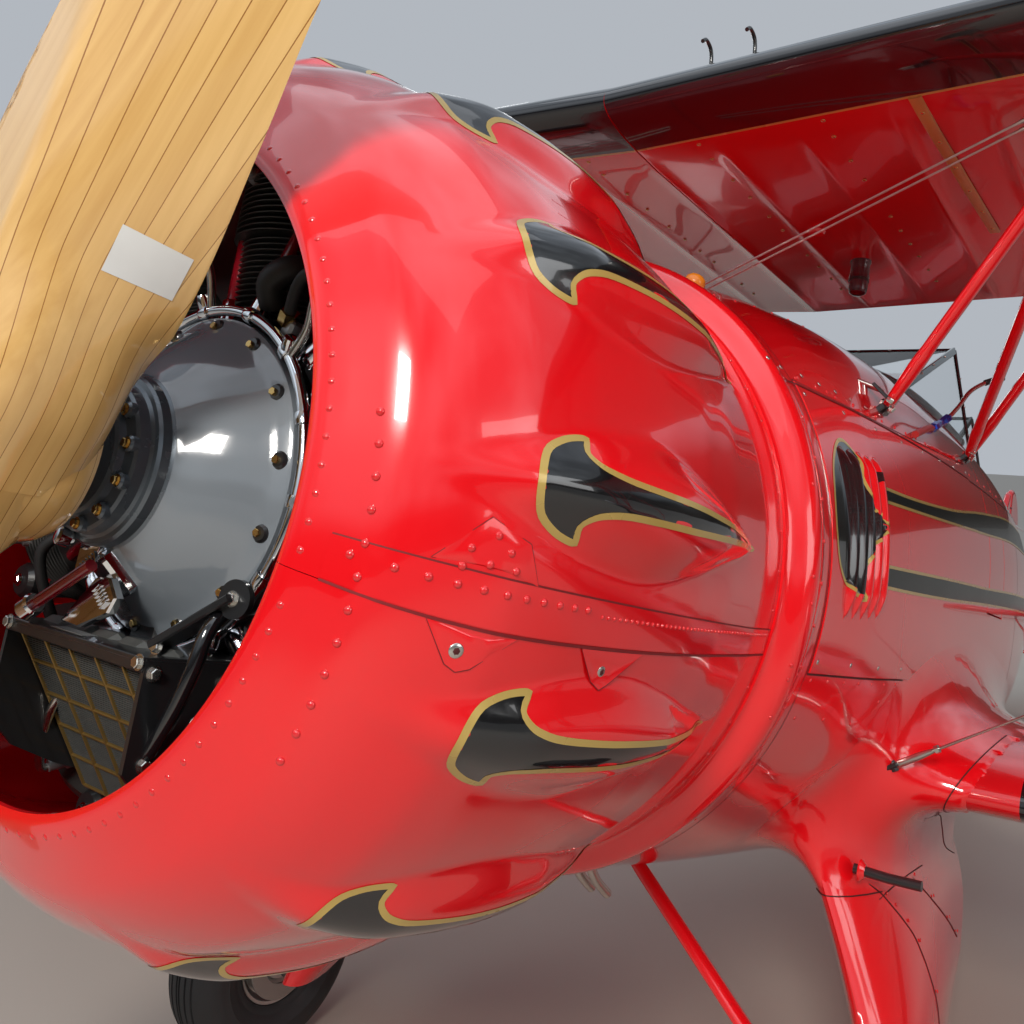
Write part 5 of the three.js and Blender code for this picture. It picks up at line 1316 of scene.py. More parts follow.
nose_r = half_thick(HINGE_AT) * CHORD
for name, (tip, tip_round, root, a0, a1) in SPANS.items():
    tip_x = tip / math.cos(DIHEDRAL)
    rings = [wing_ring(x, 0, CHORD) for x in sorted({*rib_stations(root, tip_round), INNER_RIB})]
    for u in (0.12, 0.24, 0.35, 0.46, 0.56, 0.65, 0.73, 0.80, 0.86, 0.91, 0.95, 0.975, 0.99, 0.9985):
        taper = math.sqrt(1 - (0.985 * u) ** 2)
        rings.append(wing_ring(tip_round + u * (tip_x - tip_round), (1 - taper) * 0.42 * CHORD, taper * CHORD,
                               sag=u < 0.3))
    for side, label in SIDES:
        place = wing_frame(name, side)
        points, faces = lofted([[place @ p for p in ring] for ring in rings])
        count = len(rings[0])
        marks = []
        for face in faces:
            j = min(k % count for k in face)
            banded = len(face) == 4 and max(k % count for k in face) - j == 1
            middle = (ROUND[j][0] + ROUND[j + 1][0]) / 2 if banded else 1
            plain = name == "lower" and sum(abs(points[k].x) for k in face) / len(face) < INNER_RIB
            marks.append(0 if plain or middle >= PIN_EDGE else 1 if middle < PIN_BAND else 2)
        wing = made(f"{name}_wing_skin_{label}", points, faces, [fabric_red, black_band, gold_line], body=None,
                    marks=marks, parked=False)
        cove_r = nose_r + 0.007
        cove = [[place @ Vector((x, hinge_y + cove_r * math.cos(t), hinge_z + cove_r * math.sin(t)))
                 for t in circle(40)] for x in (a0, a1)]
        tail = [[place @ Vector((x, y, z))
                 for y, z in ((hinge_y, -0.3), (2.0, -0.3), (2.0, 0.4), (hinge_y, 0.4))] for x in (a0, a1)]
        cutters = [uncut("cove", lofted(cove), fabric_red), uncut("tail", lofted(tail), fabric_red)]
        if name == "lower":
            cutters.append(uncut("trim", hull_body(between(1.2, 6.69, 0.06), 0.0004), fabric_red))
        carved(wing, cutters)
        dropped(*cutters)
        settled(wing, f"{name}_wing_{label}")

        # The aileron: the same section behind the hinge, with a round nose turning in the cove.
        nose = [(hinge_y + nose_r * math.cos(t), hinge_z + nose_r * math.sin(t))
                for t in np.linspace(-math.pi / 2, -3 * math.pi / 2, 15)]
        flap_rings = []
        for x in rib_stations(a0 + 0.007, a1 - 0.007):
            ring = [Vector((x, f * CHORD, skin_height(f, over, -rib_sag(x, f) * min(1, (f - HINGE_AT) / 0.04))))
                    for line, over in ((OVER, 1), (OVER[::-1], -1)) for f in line if f > HINGE_AT]
            flap_rings.append([place @ p for p in ring + [Vector((x, y, z)) for y, z in nose]])
        body = f"aileron_{name}_{label}"
        middle, foot, horn_side = horn_points(name)
        shown(f"{body}_skin", [lofted(flap_rings)], fabric_red, "red_fabric", body, body=body, sharp=40)
        horn = bar(place @ foot, place @ (middle + Vector((0, 0, horn_side * 0.008))), AFT, 0.044, 0.008)
        spanwise = place.to_3x3() @ Vector(LEFT)
        eye = turned(eyelet(0, 0.020, 0.022, 0.003, 0.005), 32, place @ middle, spanwise)
        base = bar(*(place @ (foot + Vector((0, y, horn_side * 0.0135))) for y in (-0.045, 0.045)),
                   LEFT, 0.050, 0.003)
        shown(f"{body}_horn", [horn, eye, base], gloss_red, "red_tubes", body=body)
        brackets = []
        for x in (a0 + 0.180, a1 - 0.180):
            brackets.append(bar(place @ Vector((x, hinge_y - nose_r - 0.022, hinge_z)),
                                place @ Vector((x, hinge_y - 0.006, hinge_z)), UP, 0.020, 0.007))
            brackets.append(turned(eyelet(0, 0.014, 0.015, 0.003, 0.004), 28,
                                   place @ Vector((x, hinge_y, hinge_z)), spanwise))
        shown(f"{body}_hinges", brackets, engine_black, "red_fabric")

# Aileron links: a streamlined push strut on each side joins the two ailerons through ball ends.
for side, label in SIDES:
    ends = [wing_frame(name, side) @ horn_points(name)[0] for name in ("lower", "upper")]
    out = wing_frame("lower", side).to_3x3() @ Vector(LEFT)
    foot = ends[0] + out * 0.01235
    along = ends[1] - ends[0]
    head = foot + along - out * along.dot(out)
    rings = []
    for t, wide, thin in ((0.012, 0.010, 0.0060), (0.05, 0.0145, 0.0073), (0.5, 0.0150, 0.0075),
                          (0.95, 0.0145, 0.0073), (0.988, 0.010, 0.0060)):
        centre = foot + (head - foot) * t
        rings.append([centre + Vector(AFT) * wide * math.cos(a) + out * thin * math.sin(a)
                      for a in circle(28)])
    eyes = [turned(eyelet(0.0085, 0.014, 0.0152, 0.005, 0.0072), 32, p, out) for p in (foot, head)]
    shown(f"aileron_link_strut_{label}", [lofted(rings), *eyes], gloss_red, "red_tubes",
          f"aileron_link_{label}", body=f"aileron_link_{label}")
    bolt = merged(turned(drum(0.0078, -0.021, 0.010), 20, foot, out),
                  hexagon(foot + out * 0.009, out, 0.012, 0.008))
    shown(f"aileron_link_bolt_{label}", [bolt], bright_screw, "plain_steel", body=f"aileron_lower_{label}")

# Underside hardware of the upper wing: a wood strip over the joint of the tank bay, screw heads
# along the centre rib, a fuel sight gauge and its fuel line, and two vent tubes on top.
gauge_red = finish("gauge_red", (0.10, 0.004, 0.010), rough=0.2, coat=0.8, vary=0.1)
strip_tan = finish("strip_tan", (0.50, 0.22, 0.06), rough=0.35, coat=0.3, vary=0.2, grain=25,
                   stretch=(1, 0.2, 1))
blue_union = finish("blue_union", (0.01, 0.05, 0.42), rough=0.2, metal=0.7, coat=0.3, vary=0.1)
red_hose = finish("red_hose", (0.42, 0.012, 0.010), rough=0.45, vary=0.25, grain=90)
strips, screws = [], []


def strip_line(t):
    """Where the wood strip runs: distance off centre and share of the chord."""
    return 0.631 + 0.027 * t, 0.116 + 0.512 * t


for side in (1, -1):
    rows = []
    for t in np.linspace(0, 1, 20):
        x, f = strip_line(t)
        rows.append([on_wing("upper", x + w, f, -1, lift, side)
                     for w, lift in ((-0.013, 0.0), (-0.0125, 0.0022), (-0.010, 0.003), (0.010, 0.003),
                                     (0.0125, 0.0022), (0.013, 0.0))])
    strips.append(lofted(rows))
    for t in (0.08, 0.26, 0.44, 0.62, 0.80, 0.96):
        screws.append((on_wing("upper", *strip_line(t), -1, 0.003, side), Vector((0, 0, -1))))
    for f in (0.13, 0.18, 0.265, 0.34, 0.43, 0.50, 0.57, 0.64, 0.71, 0.79, 0.86):
        screws += [(on_wing("upper", x, f, -1, 0.0002, side), Vector((0, 0, -1))) for x in (0.150, 0.440)]
shown("tank_bay_strips", strips, strip_tan, "red_fabric")
fasteners("wing_screws", screws, 0.0052, 0.0018, brass, sides=14)
foot = on_wing("upper", 0.277, 0.708, -1)
gauge = turned([(0, 0.004), (0.030, 0.004), (0.030, -0.006), (0.0275, -0.010), (0.0275, -0.040),
                (0.0290, -0.041), (0.0290, -0.049), (0.0275, -0.050), (0.0275, -0.085), (0.024, -0.096),
                (0.014, -0.103), (0, -0.105)], 48, foot, UP)
shown("fuel_gauge_bowl", [gauge], gauge_red, "red_panels")
band = turned(drum(0.0295, -0.054, -0.062, 0.0278), 48, foot, UP)
shown("fuel_gauge_band", [band], gloss_black, "black_metal")
cap = turned([(0, 0.002), (0.022, 0.002), (0.024, -0.003), (0.020, -0.011), (0, -0.012)], 36,
             on_wing("upper", 0.236, 0.52, -1), UP)
shown("tank_drain_cap", [cap], gloss_red, "red_panels")
vents = []
for x in (0.18, 0.285):
    foot = on_wing("upper", x, 0.10, 1)
    path = curved([foot - Vector((0, 0, 0.01)), foot + Vector((0, 0, 0.035)), foot + Vector((0, -0.010, 0.062)),
                   foot + Vector((0, -0.036, 0.070)), foot + Vector((0, -0.052, 0.058))], 8)
    vents.append(tube(path, 0.0045, 14))
shown("tank_vents", vents, engine_black, "black_metal")

# Streamlined struts: drawn steel tube of teardrop section, flattened into a fork end with a
# black fitting and a bright bolt; a cuff of sheet metal covers the foot of each one.
SPARS = (0.250, 0.960)


def streamline(p, q):
    """Unit directions along a strut or wire, aft across it and out across it, and its length."""
    along = (q - p).normalized()
    aft = Vector(AFT)
    aft = (aft - along * aft.dot(along)).normalized()
    return along, aft, along.cross(aft), (q - p).length


def strut(p, q, thick, chord, start=0.0, stop=0.0):
    """A teardrop tube from p to q, thinned over its last few centimetres."""
    p, q = Vector(p), Vector(q)
    along, aft, out, length = streamline(p, q)
    rings = []
    for d, k in ((start, 0.62), (start + 0.012, 0.72), (start + 0.07, 0.97), (start + 0.09, 1.0),
                 (length / 2, 1.0), (length - stop - 0.09, 1.0), (length - stop - 0.07, 0.97),
                 (length - stop - 0.012, 0.72), (length - stop, 0.62)):
        ring = []
        for a in circle(28):
            u = math.cos(a)
            w = math.sin(a) * (1 - 0.35 * max(0.0, u))
            ring.append(p + along * d + aft * chord / 2 * u * k + out * thick / 2 * w * (0.6 + 0.4 * k))
        rings.append(ring)
    return lofted(rings)


def cuff(p, q, thick, chord, at, long):
    """A sheet cuff round a strut, a little larger than the strut itself."""
    p, q = Vector(p), Vector(q)
    along = (q - p).normalized()
    return strut(p + along * (at - long / 2), p + along * (at + long / 2), thick, chord)


def fork(p, q, wide, long=0.060):
    """The fitting at the end p of a strut that runs towards q."""
    p, q = Vector(p), Vector(q)
    along = (q - p).normalized()
    out = Vector(AFT).cross(along).normalized()
    plates = [bar(p - along * 0.020 + out * s, p + along * long + out * s, AFT, wide, 0.004)
              for s in (-0.008, 0.008)]
    bolts = [hexagon(p + along * 0.002 + n * 0.010, n, 0.0085, 0.008) for n in (out, -out)]
    return merged(*plates), merged(*bolts)


def foot_plate(p, half_long, wide, lift=0.0285, thick=0.004):
    """The small plate that spreads a fitting's load over the wing's skin."""
    reach, rise = Vector((0, half_long, 0)), Vector((0, 0, lift))
    return bar(p + rise - reach, p + rise + reach, LEFT, wide, thick)


for side, label in SIDES:
    def spar(name, x, depth, over, clear):
        return on_wing(name, x, depth / CHORD, over, clear, side)
    front_top, rear_top = (spar("upper", 2.950, depth, -1, 0.030) for depth in SPARS)
    front_foot, rear_foot = (spar("lower", 2.950, depth, 1, 0.030) for depth in SPARS)
    tubes, plates, nuts = [], [], []
    for a, b in ((front_foot, front_top), (rear_foot, rear_top), (rear_foot, front_top)):
        tubes.append(strut(a, b, 0.032, 0.076, start=0.006, stop=0.006))
        for p, q in ((a, b), (b, a)):
            metal, bolt = fork(p, q, 0.030)
            plates.append(metal)
            nuts.append(bolt)
    for p, way in ((front_top, 1), (rear_top, 1), (front_foot, -1), (rear_foot, -1)):
        plates.append(bar(p, p + Vector((0, 0, way * 0.031)), AFT, 0.060, 0.012))
        plates.append(foot_plate(p, 0.055, 0.055, lift=way * 0.0285))
    piece = shown(f"interplane_tubes_{label}", tubes, gloss_red, "red_tubes", f"interplane_strut_{label}")
    cabane_front, cabane_rear = (spar("upper", 0.950, depth, -1, 0.030) for depth in (0.281, 0.985))
    foot_front, foot_rear = Vector((side * 0.549, 1.673, 0.449)), Vector((side * 0.571, 2.455, 0.502))
    tubes = []
    for a, b, wide in ((foot_front, cabane_front, 0.046), (foot_rear, cabane_rear, 0.046),
                       (foot_rear, cabane_front, 0.040)):
        tubes.append(strut(a, b, 0.028, wide, start=0.004, stop=0.006))
        for p, q in ((a, b), (b, a)):
            metal, bolt = fork(p, q, 0.022, 0.050)
            plates.append(metal)
            nuts.append(bolt)
        tubes.append(cuff(a, b, 0.031, wide + 0.004, 0.115, 0.16))
    for p in (cabane_front, cabane_rear):
        plates.append(bar(p, p + Vector((0, 0, 0.031)), AFT, 0.050, 0.012))
        plates.append(foot_plate(p, 0.045, 0.050))
    for p in (foot_front, foot_rear):
        into = Vector((-0.75 * side, 0, -0.66))
        plates.append(bar(p, p + into * 0.045, AFT, 0.046, 0.014))
        nuts.append(hexagon(p + Vector((side * 0.012, -0.030, 0.004)), Vector((side * 0.5, -0.2, 0.6)), 0.009,
                            0.010))
    piece = shown(f"cabane_tubes_{label}", tubes, gloss_red, "red_tubes", f"cabane_strut_{label}")
    shown(f"strut_fittings_{label}", plates, engine_black, "black_metal")
    shown(f"strut_bolts_{label}", nuts, bright_screw, "plain_steel")

# Bracing wires: swaged streamlined steel rods with threaded terminals, lock nuts and fork ends,
# each pair meeting the wing at a black fitting; double roll wires cross over the front deck.
wire_steel = finish("wire_steel", (0.55, 0.53, 0.50), rough=0.3, metal=1.0, vary=0.15, grain=50)


def stay(p, q, half_width=0.0060, half_thick=0.0026):
    """A streamlined rod with round threaded ends, each in a terminal with a lock nut."""
    p, q = Vector(p), Vector(q)
    along, aft, out, length = streamline(p, q)
    rings = []
    for d, w, t in ((0.0, 0.0032, 0.0032), (0.13, 0.0034, 0.0034), (0.20, half_width, half_thick),
                    (length - 0.20, half_width, half_thick), (length - 0.13, 0.0034, 0.0034),
                    (length, 0.0032, 0.0032)):
        rings.append([p + along * d + aft * w * math.cos(a) + out * t * math.sin(a) for a in circle(16)])
    ends = []
    for a, w in ((p, along), (q, -along)):
        ends.append(tube([a - w * 0.004, a + w * 0.004, a + w * 0.070, a + w * 0.100],
                         [0.006, 0.0085, 0.0080, 0.0050], 20))
        ends.append(turned(drum(0.0088, 0, 0.009), 6, a + w * 0.104, w))
    return merged(lofted(rings), *ends)


def lug(p, toward):
    """The bolted fork that a wire's end is held by."""
    p = Vector(p)
    w = (Vector(toward) - p).normalized()
    out = Vector(AFT).cross(w).normalized()
    return merged(bar(p - w * 0.030, p + w * 0.018, AFT, 0.034, 0.010),
                  *(hexagon(p + w * 0.004 + n * 0.005, n, 0.0085, 0.007) for n in (out, -out)))


for side, label in SIDES:
    def spar_end(name, x, depth, over):
        return on_wing(name, x, depth / CHORD, over, -0.030, side)
    runs = {"flying_wire_front": (Vector((side * 0.500, 1.788, -0.406)), spar_end("upper", 2.880, SPARS[0], -1),
                                  0.140), "flying_wire_rear": (spar_end("lower", 0.720, SPARS[1], 1),
                                                               spar_end("upper", 2.880, SPARS[1], -1), 0.062),
            "landing_wire": (spar_end("upper", 1.040, SPARS[0], -1), spar_end("lower", 2.880, 0.280, 1), 0.062)}
    fittings = []
    for name, (a, b, clear) in runs.items():
        way = (b - a).normalized()
        start, stop = a + way * clear, b - way * 0.060
        shown(f"{name}_rod_{label}", [stay(start, stop)], wire_steel, "stay_steel", f"{name}_{label}", sharp=40)
        fittings += [lug(start, b), lug(stop, a)]
    shown(f"stay_lugs_{label}", fittings, engine_black, "black_metal")
roll_wires, roll_lugs = [], []
for side in (1, -1):
    for k in (-1, 1):
        foot = Vector((-side * 0.535, 1.668 + 0.012 * k, 0.485))
        top = on_wing("upper", 0.905, 0.180 + 0.010 * k, -1, 0.010, side)
        way = (top - foot).normalized()
        roll_wires.append(tube([foot, foot + way * 0.10, foot + way * 0.12, top - way * 0.12, top - way * 0.10,
                                top], [0.0045, 0.0045, 0.0026, 0.0026, 0.0045, 0.0045], 12))
    roll_lugs.append(bar((-side * 0.556, 1.668, 0.462), (-side * 0.520, 1.668, 0.496), AFT, 0.050, 0.008))
    pad = on_wing("upper", 0.905, 0.180, -1, 0.002, side)
    roll_lugs.append(foot_plate(pad, 0.035, 0.045, lift=0, thick=0.006))
shown("roll_wires", roll_wires, wire_steel, "stay_steel")
shown("roll_wire_lugs", roll_lugs, engine_black, "black_metal")

# Fuel line: from the tank's gauge down the left rear cabane strut to the deck, a red hose with a
# blue anodised union and a bright metal pipe with a black end.
HOSE_RUN = [(0.571, 1.850, 0.426), (0.560, 1.990, 0.472), (0.545, 2.090, 0.499), (0.541, 2.130, 0.507),
            (0.547, 2.170, 0.528), (0.557, 2.220, 0.557), (0.574, 2.260, 0.602), (0.590, 2.300, 0.653),
            (0.619, 2.340, 0.690), (0.657, 2.380, 0.716)]
run = [Vector(p) for p in curved(HOSE_RUN, 8)]
for name, first, last, radius, material, slot in (("fuel_hose", 0, 24, 0.0085, red_hose, "red_tubes"),
                                                  ("fuel_pipe", 38, 66, 0.0060, bright_screw, "plain_steel"),
                                                  ("fuel_hose_end", 64, len(run), 0.0085, rubber_black,
                                                   "black_metal")):
    shown(name, [tube(run[first:last], radius, 16)], material, slot)
union_at = [run[k] for k in (22, 24, 25, 30, 31, 35, 36, 40)]
union_sizes = [0.0095, 0.0095, 0.0130, 0.0130, 0.0100, 0.0100, 0.0125, 0.0125]
shown("fuel_union", [tube(union_at, union_sizes, 6)], blue_union, "plain_steel", sharp=28)

# Windshields: bent clear acrylic held in a black metal frame with screws along its foot, on a
# dark gasket strip that follows the deck.
glass = bpy.data.materials.new("windshield_acrylic")
glass.use_nodes = True
clear_tree = glass.node_tree
pane_shader = clear_tree.nodes["Principled BSDF"]
for socket, value in (("Base Color", (0.93, 0.96, 0.97, 1)), ("Transmission Weight", 1.0), ("IOR", 1.16)):
    pane_shader.inputs[socket].default_value = value
haze = add(clear_tree, "TexNoise", [("Vector", add(clear_tree, "TexCoord").outputs["Object"])], Scale=9)
haze_range = add(clear_tree, "MapRange", [("Value", haze.outputs["Fac"])], To_Min=0.005, To_Max=0.035)
clear_tree.links.new(haze_range.outputs["Result"], pane_shader.inputs["Roughness"])
WINDSHIELDS = {
    "front": ((0.445, 2.090, 0.590), (0.485, 2.530, 0.845), (0.500, 2.850, 0.560)),
    "rear": ((0.340, 3.130, 0.600), (0.360, 3.490, 0.860), (0.390, 3.700, 0.580)),
}


def slab(corners, thick, inset=0.0):
    """A flat pane between four corners, with an even thickness."""
    corners = [Vector(c) for c in corners]
    middle = sum(corners, Vector()) / 4
    corners = [c + (middle - c).normalized() * inset for c in corners]
    n = (corners[1] - corners[0]).cross(corners[3] - corners[0]).normalized() * thick / 2
    return lofted([[c - n for c in corners], [c + n for c in corners]])


deck_shape = uncut("deck_shape", hull_body(between(1.90, 3.82, 0.04), -0.001), gloss_black)
for name, (foot, top, rear) in WINDSHIELDS.items():
    foot, top, rear, foot_2, top_2, rear_2 = (Vector((side * x, y, z)) for side in (1, -1)
                                              for x, y, z in (foot, top, rear))
    panes = [slab([foot, foot_2, top_2, top], 0.005, 0.004)]
    panes += [slab([a, b, b * 0.98 + c * 0.02, c], 0.005, 0.004) for a, b, c in ((foot, top, rear),
                                                                                (foot_2, top_2, rear_2))]
    frames, heads = [], []
    for a, b, wide in ((foot, top, 0.022), (foot_2, top_2, 0.022), (top, top_2, 0.014), (top, rear, 0.014),
                       (top_2, rear_2, 0.014), (foot, rear, 0.016), (foot_2, rear_2, 0.016),
                       (foot, foot_2, 0.018)):
        frames.append(bar(a, b, Vector((0, 0.6, 0.8)), wide, 0.011))
        steps = max(2, int((a - b).length / 0.09))
        for p in (a + (b - a) * k / steps for k in range(1, steps)):
            lean = math.copysign(1, p.x) if abs(p.x) > 0.3 else 0
            heads.append((p + Vector((0.0058 * lean, -0.004, 0.0045)), Vector((0.5 * lean, -0.5, 0.6))))
    slope = (top.z - foot.z) / (top.y - foot.y)
    rim = []
    for k in range(61):
        x = (foot.x + 0.004) * (-1 + k / 30)
        y = foot.y - 0.02
        while y < top.y and foot.z + (y - foot.y) * slope < hull_height(y, x):
            y += 0.002
        rim.append(Vector((x, y, hull_height(y, x) + 0.002)))
    settled(carved(uncut(f"windshield_glass_{name}", merged(*panes), glass), [deck_shape]),
            f"windshield_{name}")
    settled(carved(uncut(f"windshield_frame_{name}", merged(*frames), gloss_black), [deck_shape]))
    shown(f"windshield_gasket_{name}", [tube(rim, 0.0095, 12, flat=0.7, across=AFT)], rubber_black,
          "clear_glass")
    fasteners(f"windshield_screws_{name}", heads, 0.0040, 0.0022, bright_screw, sides=12)

dropped(deck_shape)

# Cockpits: dark brown padded coamings rolled over the metal edge, black panels with dials, a
# slatted wooden floor, control sticks and rudder pedals, and cushions of the same dark leather.
leather = finish("dark_leather", (0.045, 0.018, 0.010), rough=0.42, coat=0.15, vary=0.25, grain=14,
                 relief=[(420, 0.35, 0.0006), (28, 0.25, 0.002)])
panel_black = finish("panel_black", (0.014, 0.014, 0.015), rough=0.48, vary=0.2, grain=40,
                     relief=[(500, 0.2, 0.0003)])
dial_face = finish("dial_face", (0.010, 0.010, 0.010), rough=0.35, vary=0.1)
dial_mark = finish("dial_mark", (0.80, 0.79, 0.74), rough=0.5, vary=0.05)
floor_ash = finish("floor_ash", (0.36, 0.20, 0.08), rough=0.45, coat=0.3, vary=0.25, grain=9,
                   stretch=(1, 0.12, 1))


def rolled_edge(name, outline, radius, material):
    """A padded roll along a closed outline of x, y pairs lying on the deck."""
    path = [Vector((x, y, min(hull_height(y, x), hull_height(y, x * 0.999)))) for x, y in outline]
    rings, sides = [], 20
    count = len(path)
    for i, p in enumerate(path):
        along = (path[(i + 1) % count] - path[i - 1]).normalized()
        n = hull_normal(p)
        side = along.cross(n).normalized()
        rings.append([p + n * (0.002 + radius * math.sin(a)) + side * radius * math.cos(a)
                      for a in circle(sides)])
    points, faces = lofted(rings, caps=False)
    last = (count - 1) * sides
    faces += [(last + j, last + (j + 1) % sides, (j + 1) % sides, j) for j in range(sides)]
    return made(name, points, faces, material, sharp=60)


def dense(outline, step):
    """A closed outline with more points along its sides."""
    result = []
    for a, b in zip(outline, outline[1:] + outline[:1]):
        a, b = Vector(a), Vector(b)
        parts = max(1, round((b - a).length / step))
        result += [tuple(a + (b - a) * k / parts) for k in range(parts)]
    return result


rear_loop = dense(rounded(*COCKPITS["rear"]), 0.02)
rolled_edge("coaming_rear", rear_loop, 0.017, leather)
front_loop = dense(rounded(*COCKPITS["front"]), 0.02)
DOOR_X, PAD_GAP = 0.25, 0.012
fixed = [p for p in front_loop if not (p[0] > DOOR_X and DOOR[0] - PAD_GAP < p[1] < DOOR[1] + PAD_GAP)]
start = next(i for i, p in enumerate(fixed) if p[0] > DOOR_X and p[1] > DOOR[1] and fixed[i - 1][1] < DOOR[0])
fixed = fixed[start:] + fixed[:start]
on_door = [p for p in front_loop if p[0] > DOOR_X and DOOR[0] + PAD_GAP < p[1] < DOOR[1] - PAD_GAP]
for name, run, body in (("coaming_front", fixed, "airframe"), ("coaming_door", on_door, "front_cockpit_door")):
    path = [Vector((x, y, hull_height(y, x) + 0.002)) for x, y in run]
    shown(name, [tube(path, 0.0175, 20)], leather, "seat_leather", body=body, sharp=60)

lining = uncut("lining", hull_body(between(1.145, 3.82, 0.05), -0.0256), panel_black)
for name, (y, z) in {"front": (2.300, 0.170), "rear": (3.305, 0.190)}.items():
    board = uncut(f"instrument_board_{name}", block(-0.7, 0.7, y, y + 0.012, z, HOLE_TOP), panel_black)
    settled(carved(board, [lining], "INTERSECT"), f"instrument_panel_{name}")
    rims, faces_parts, marks_parts, knobs = [], [], [], []
    big = [(-0.26, 0.44), (-0.13, 0.44), (0.0, 0.44), (0.13, 0.44), (0.26, 0.44), (-0.19, 0.31), (-0.065, 0.31),
           (0.065, 0.31), (0.19, 0.31)]
    scale = 1.0 if name == "front" else 0.80
    for i, (x, dz) in enumerate(big):
        r = (0.042 if i % 3 else 0.050) * scale
        at = Vector((x * scale, y + 0.012, z + dz * scale + (0.02 if name == "rear" else 0)))
        rims.append(turned([(r - 0.002, 0), (r + 0.006, 0), (r + 0.006, 0.005), (r + 0.002, 0.009),
                            (r - 0.002, 0.006)], 48, at, AFT))
        faces_parts.append(turned(drum(r, 0.001, 0.002), 40, at, AFT))
        hands = [(30 * k, 0.74 if k % 3 else 0.62, 0.9, 0.0025, 0.0016) for k in range(12)]
        for degrees, near, far, lift, wide in [*hands, (47 * i + 20, 0, 0.72, 0.0036, 0.0024)]:
            way, front = wheel_round(90 - degrees, 1, 0), at + Vector((0, lift, 0))
            marks_parts.append(bar(front + way * r * near, front + way * r * far, Vector(AFT).cross(way),
                                   wide, 0.0008))
    for k in range(6):
        at = Vector(((-0.20 + 0.08 * k) * scale, y + 0.012, z + 0.19))
        knobs.append(turned([(0, 0), (0.004, 0), (0.004, 0.020), (0.010, 0.022), (0.011, 0.030), (0.008, 0.036),
                             (0, 0.037)], 20, at, AFT))
    shown(f"dial_rims_{name}", rims, gloss_black, "black_metal")
    shown(f"dial_faces_{name}", faces_parts, dial_face, "black_metal")
    shown(f"dial_marks_{name}", marks_parts, dial_mark, "black_metal")
    shown(f"panel_knobs_{name}", knobs, bright_screw, "plain_steel")
boards = uncut("cockpit_floor_boards", block(-0.7, 0.7, 1.300, 3.830, -0.443, -0.420), floor_ash)
settled(carved(boards, [lining], "INTERSECT"), "cockpit_floor")
dropped(lining)
slats = [bar((side * x, 1.45, -0.4175), (side * x, 3.72, -0.4175), LEFT, 0.030, 0.007)
         for x in (0.08, 0.14, 0.20, 0.26) for side in (-1, 1)]
shown("floor_slats", slats, floor_ash, "floor_wood")
controls, grips, pedals = [], [], []
for y, half in ((2.40, 0.20), (3.36, 0.0)):
    for x in ((-half, half) if half else (0.0,)):
        stick = curved([(x, y, -0.414), (x, y + 0.01, -0.25), (x, y + 0.05, -0.05), (x, y + 0.04, 0.10)], 8)
        controls.append(tube(stick, 0.0115, 16))
        controls.append(turned([(0, 0), (0.030, 0), (0.030, 0.010), (0.018, 0.020), (0, 0.020)], 28,
                               (x, y, -0.414), UP))
        grips.append(turned([(0, 0), (0.016, 0), (0.0175, 0.02), (0.0155, 0.04), (0.0175, 0.06), (0.0155, 0.08),
                             (0.0175, 0.10), (0.014, 0.118), (0, 0.122)], 28, (x, y + 0.040, 0.02),
                            (0, -0.05, 1)))
        for centre in (x - 0.10, x + 0.10):
            reach = y - 0.52 if y < 3 else y - 0.35
            pedals.append(bar((centre - 0.045, reach, -0.27), (centre + 0.045, reach, -0.27), (0, 0.4, 0.9),
                              0.060, 0.010))
            pedals.append(bar((centre, reach, -0.27), (centre, reach, -0.414), AFT, 0.020, 0.012))
shown("control_sticks", controls, gloss_black, "black_metal")
shown("stick_grips", grips, rubber_black, "black_metal")
shown("rudder_pedals", pedals, cast_grey, "black_metal")


def cushion(x0, x1, y0, y1, z0, z1, bolster, upright=False):
    """A stitched cushion: pillowed pads between five seams, thinner at the rim."""
    halves = []
    for face in (1, -1):
        rows = []
        for u in np.linspace(0, 1, 61):
            row = []
            for v in np.linspace(0, 1, 31):
                edge = ((1 - abs(2 * u - 1) ** 8) * (1 - abs(2 * v - 1) ** 8)) ** 0.5
                puff = bolster * edge * (0.72 + 0.28
                                         * abs(math.sin(math.pi * u * 5)) ** 0.45) if face > 0 else 0
                x = x0 + (x1 - x0) * u
                if upright:
                    row.append(Vector((x, (y0 + y1 - face * (y1 - y0) * edge**0.6) / 2 - puff,
                                       z0 + (z1 - z0) * v)))
                else:
                    row.append(Vector((x, y0 + (y1 - y0) * v, (z0 + z1 + face * (z1 - z0) * edge**0.6) / 2
                                       + puff)))
            rows.append(row)
        halves.append(lofted(rows, around=False, caps=False))
    return merged(*halves)


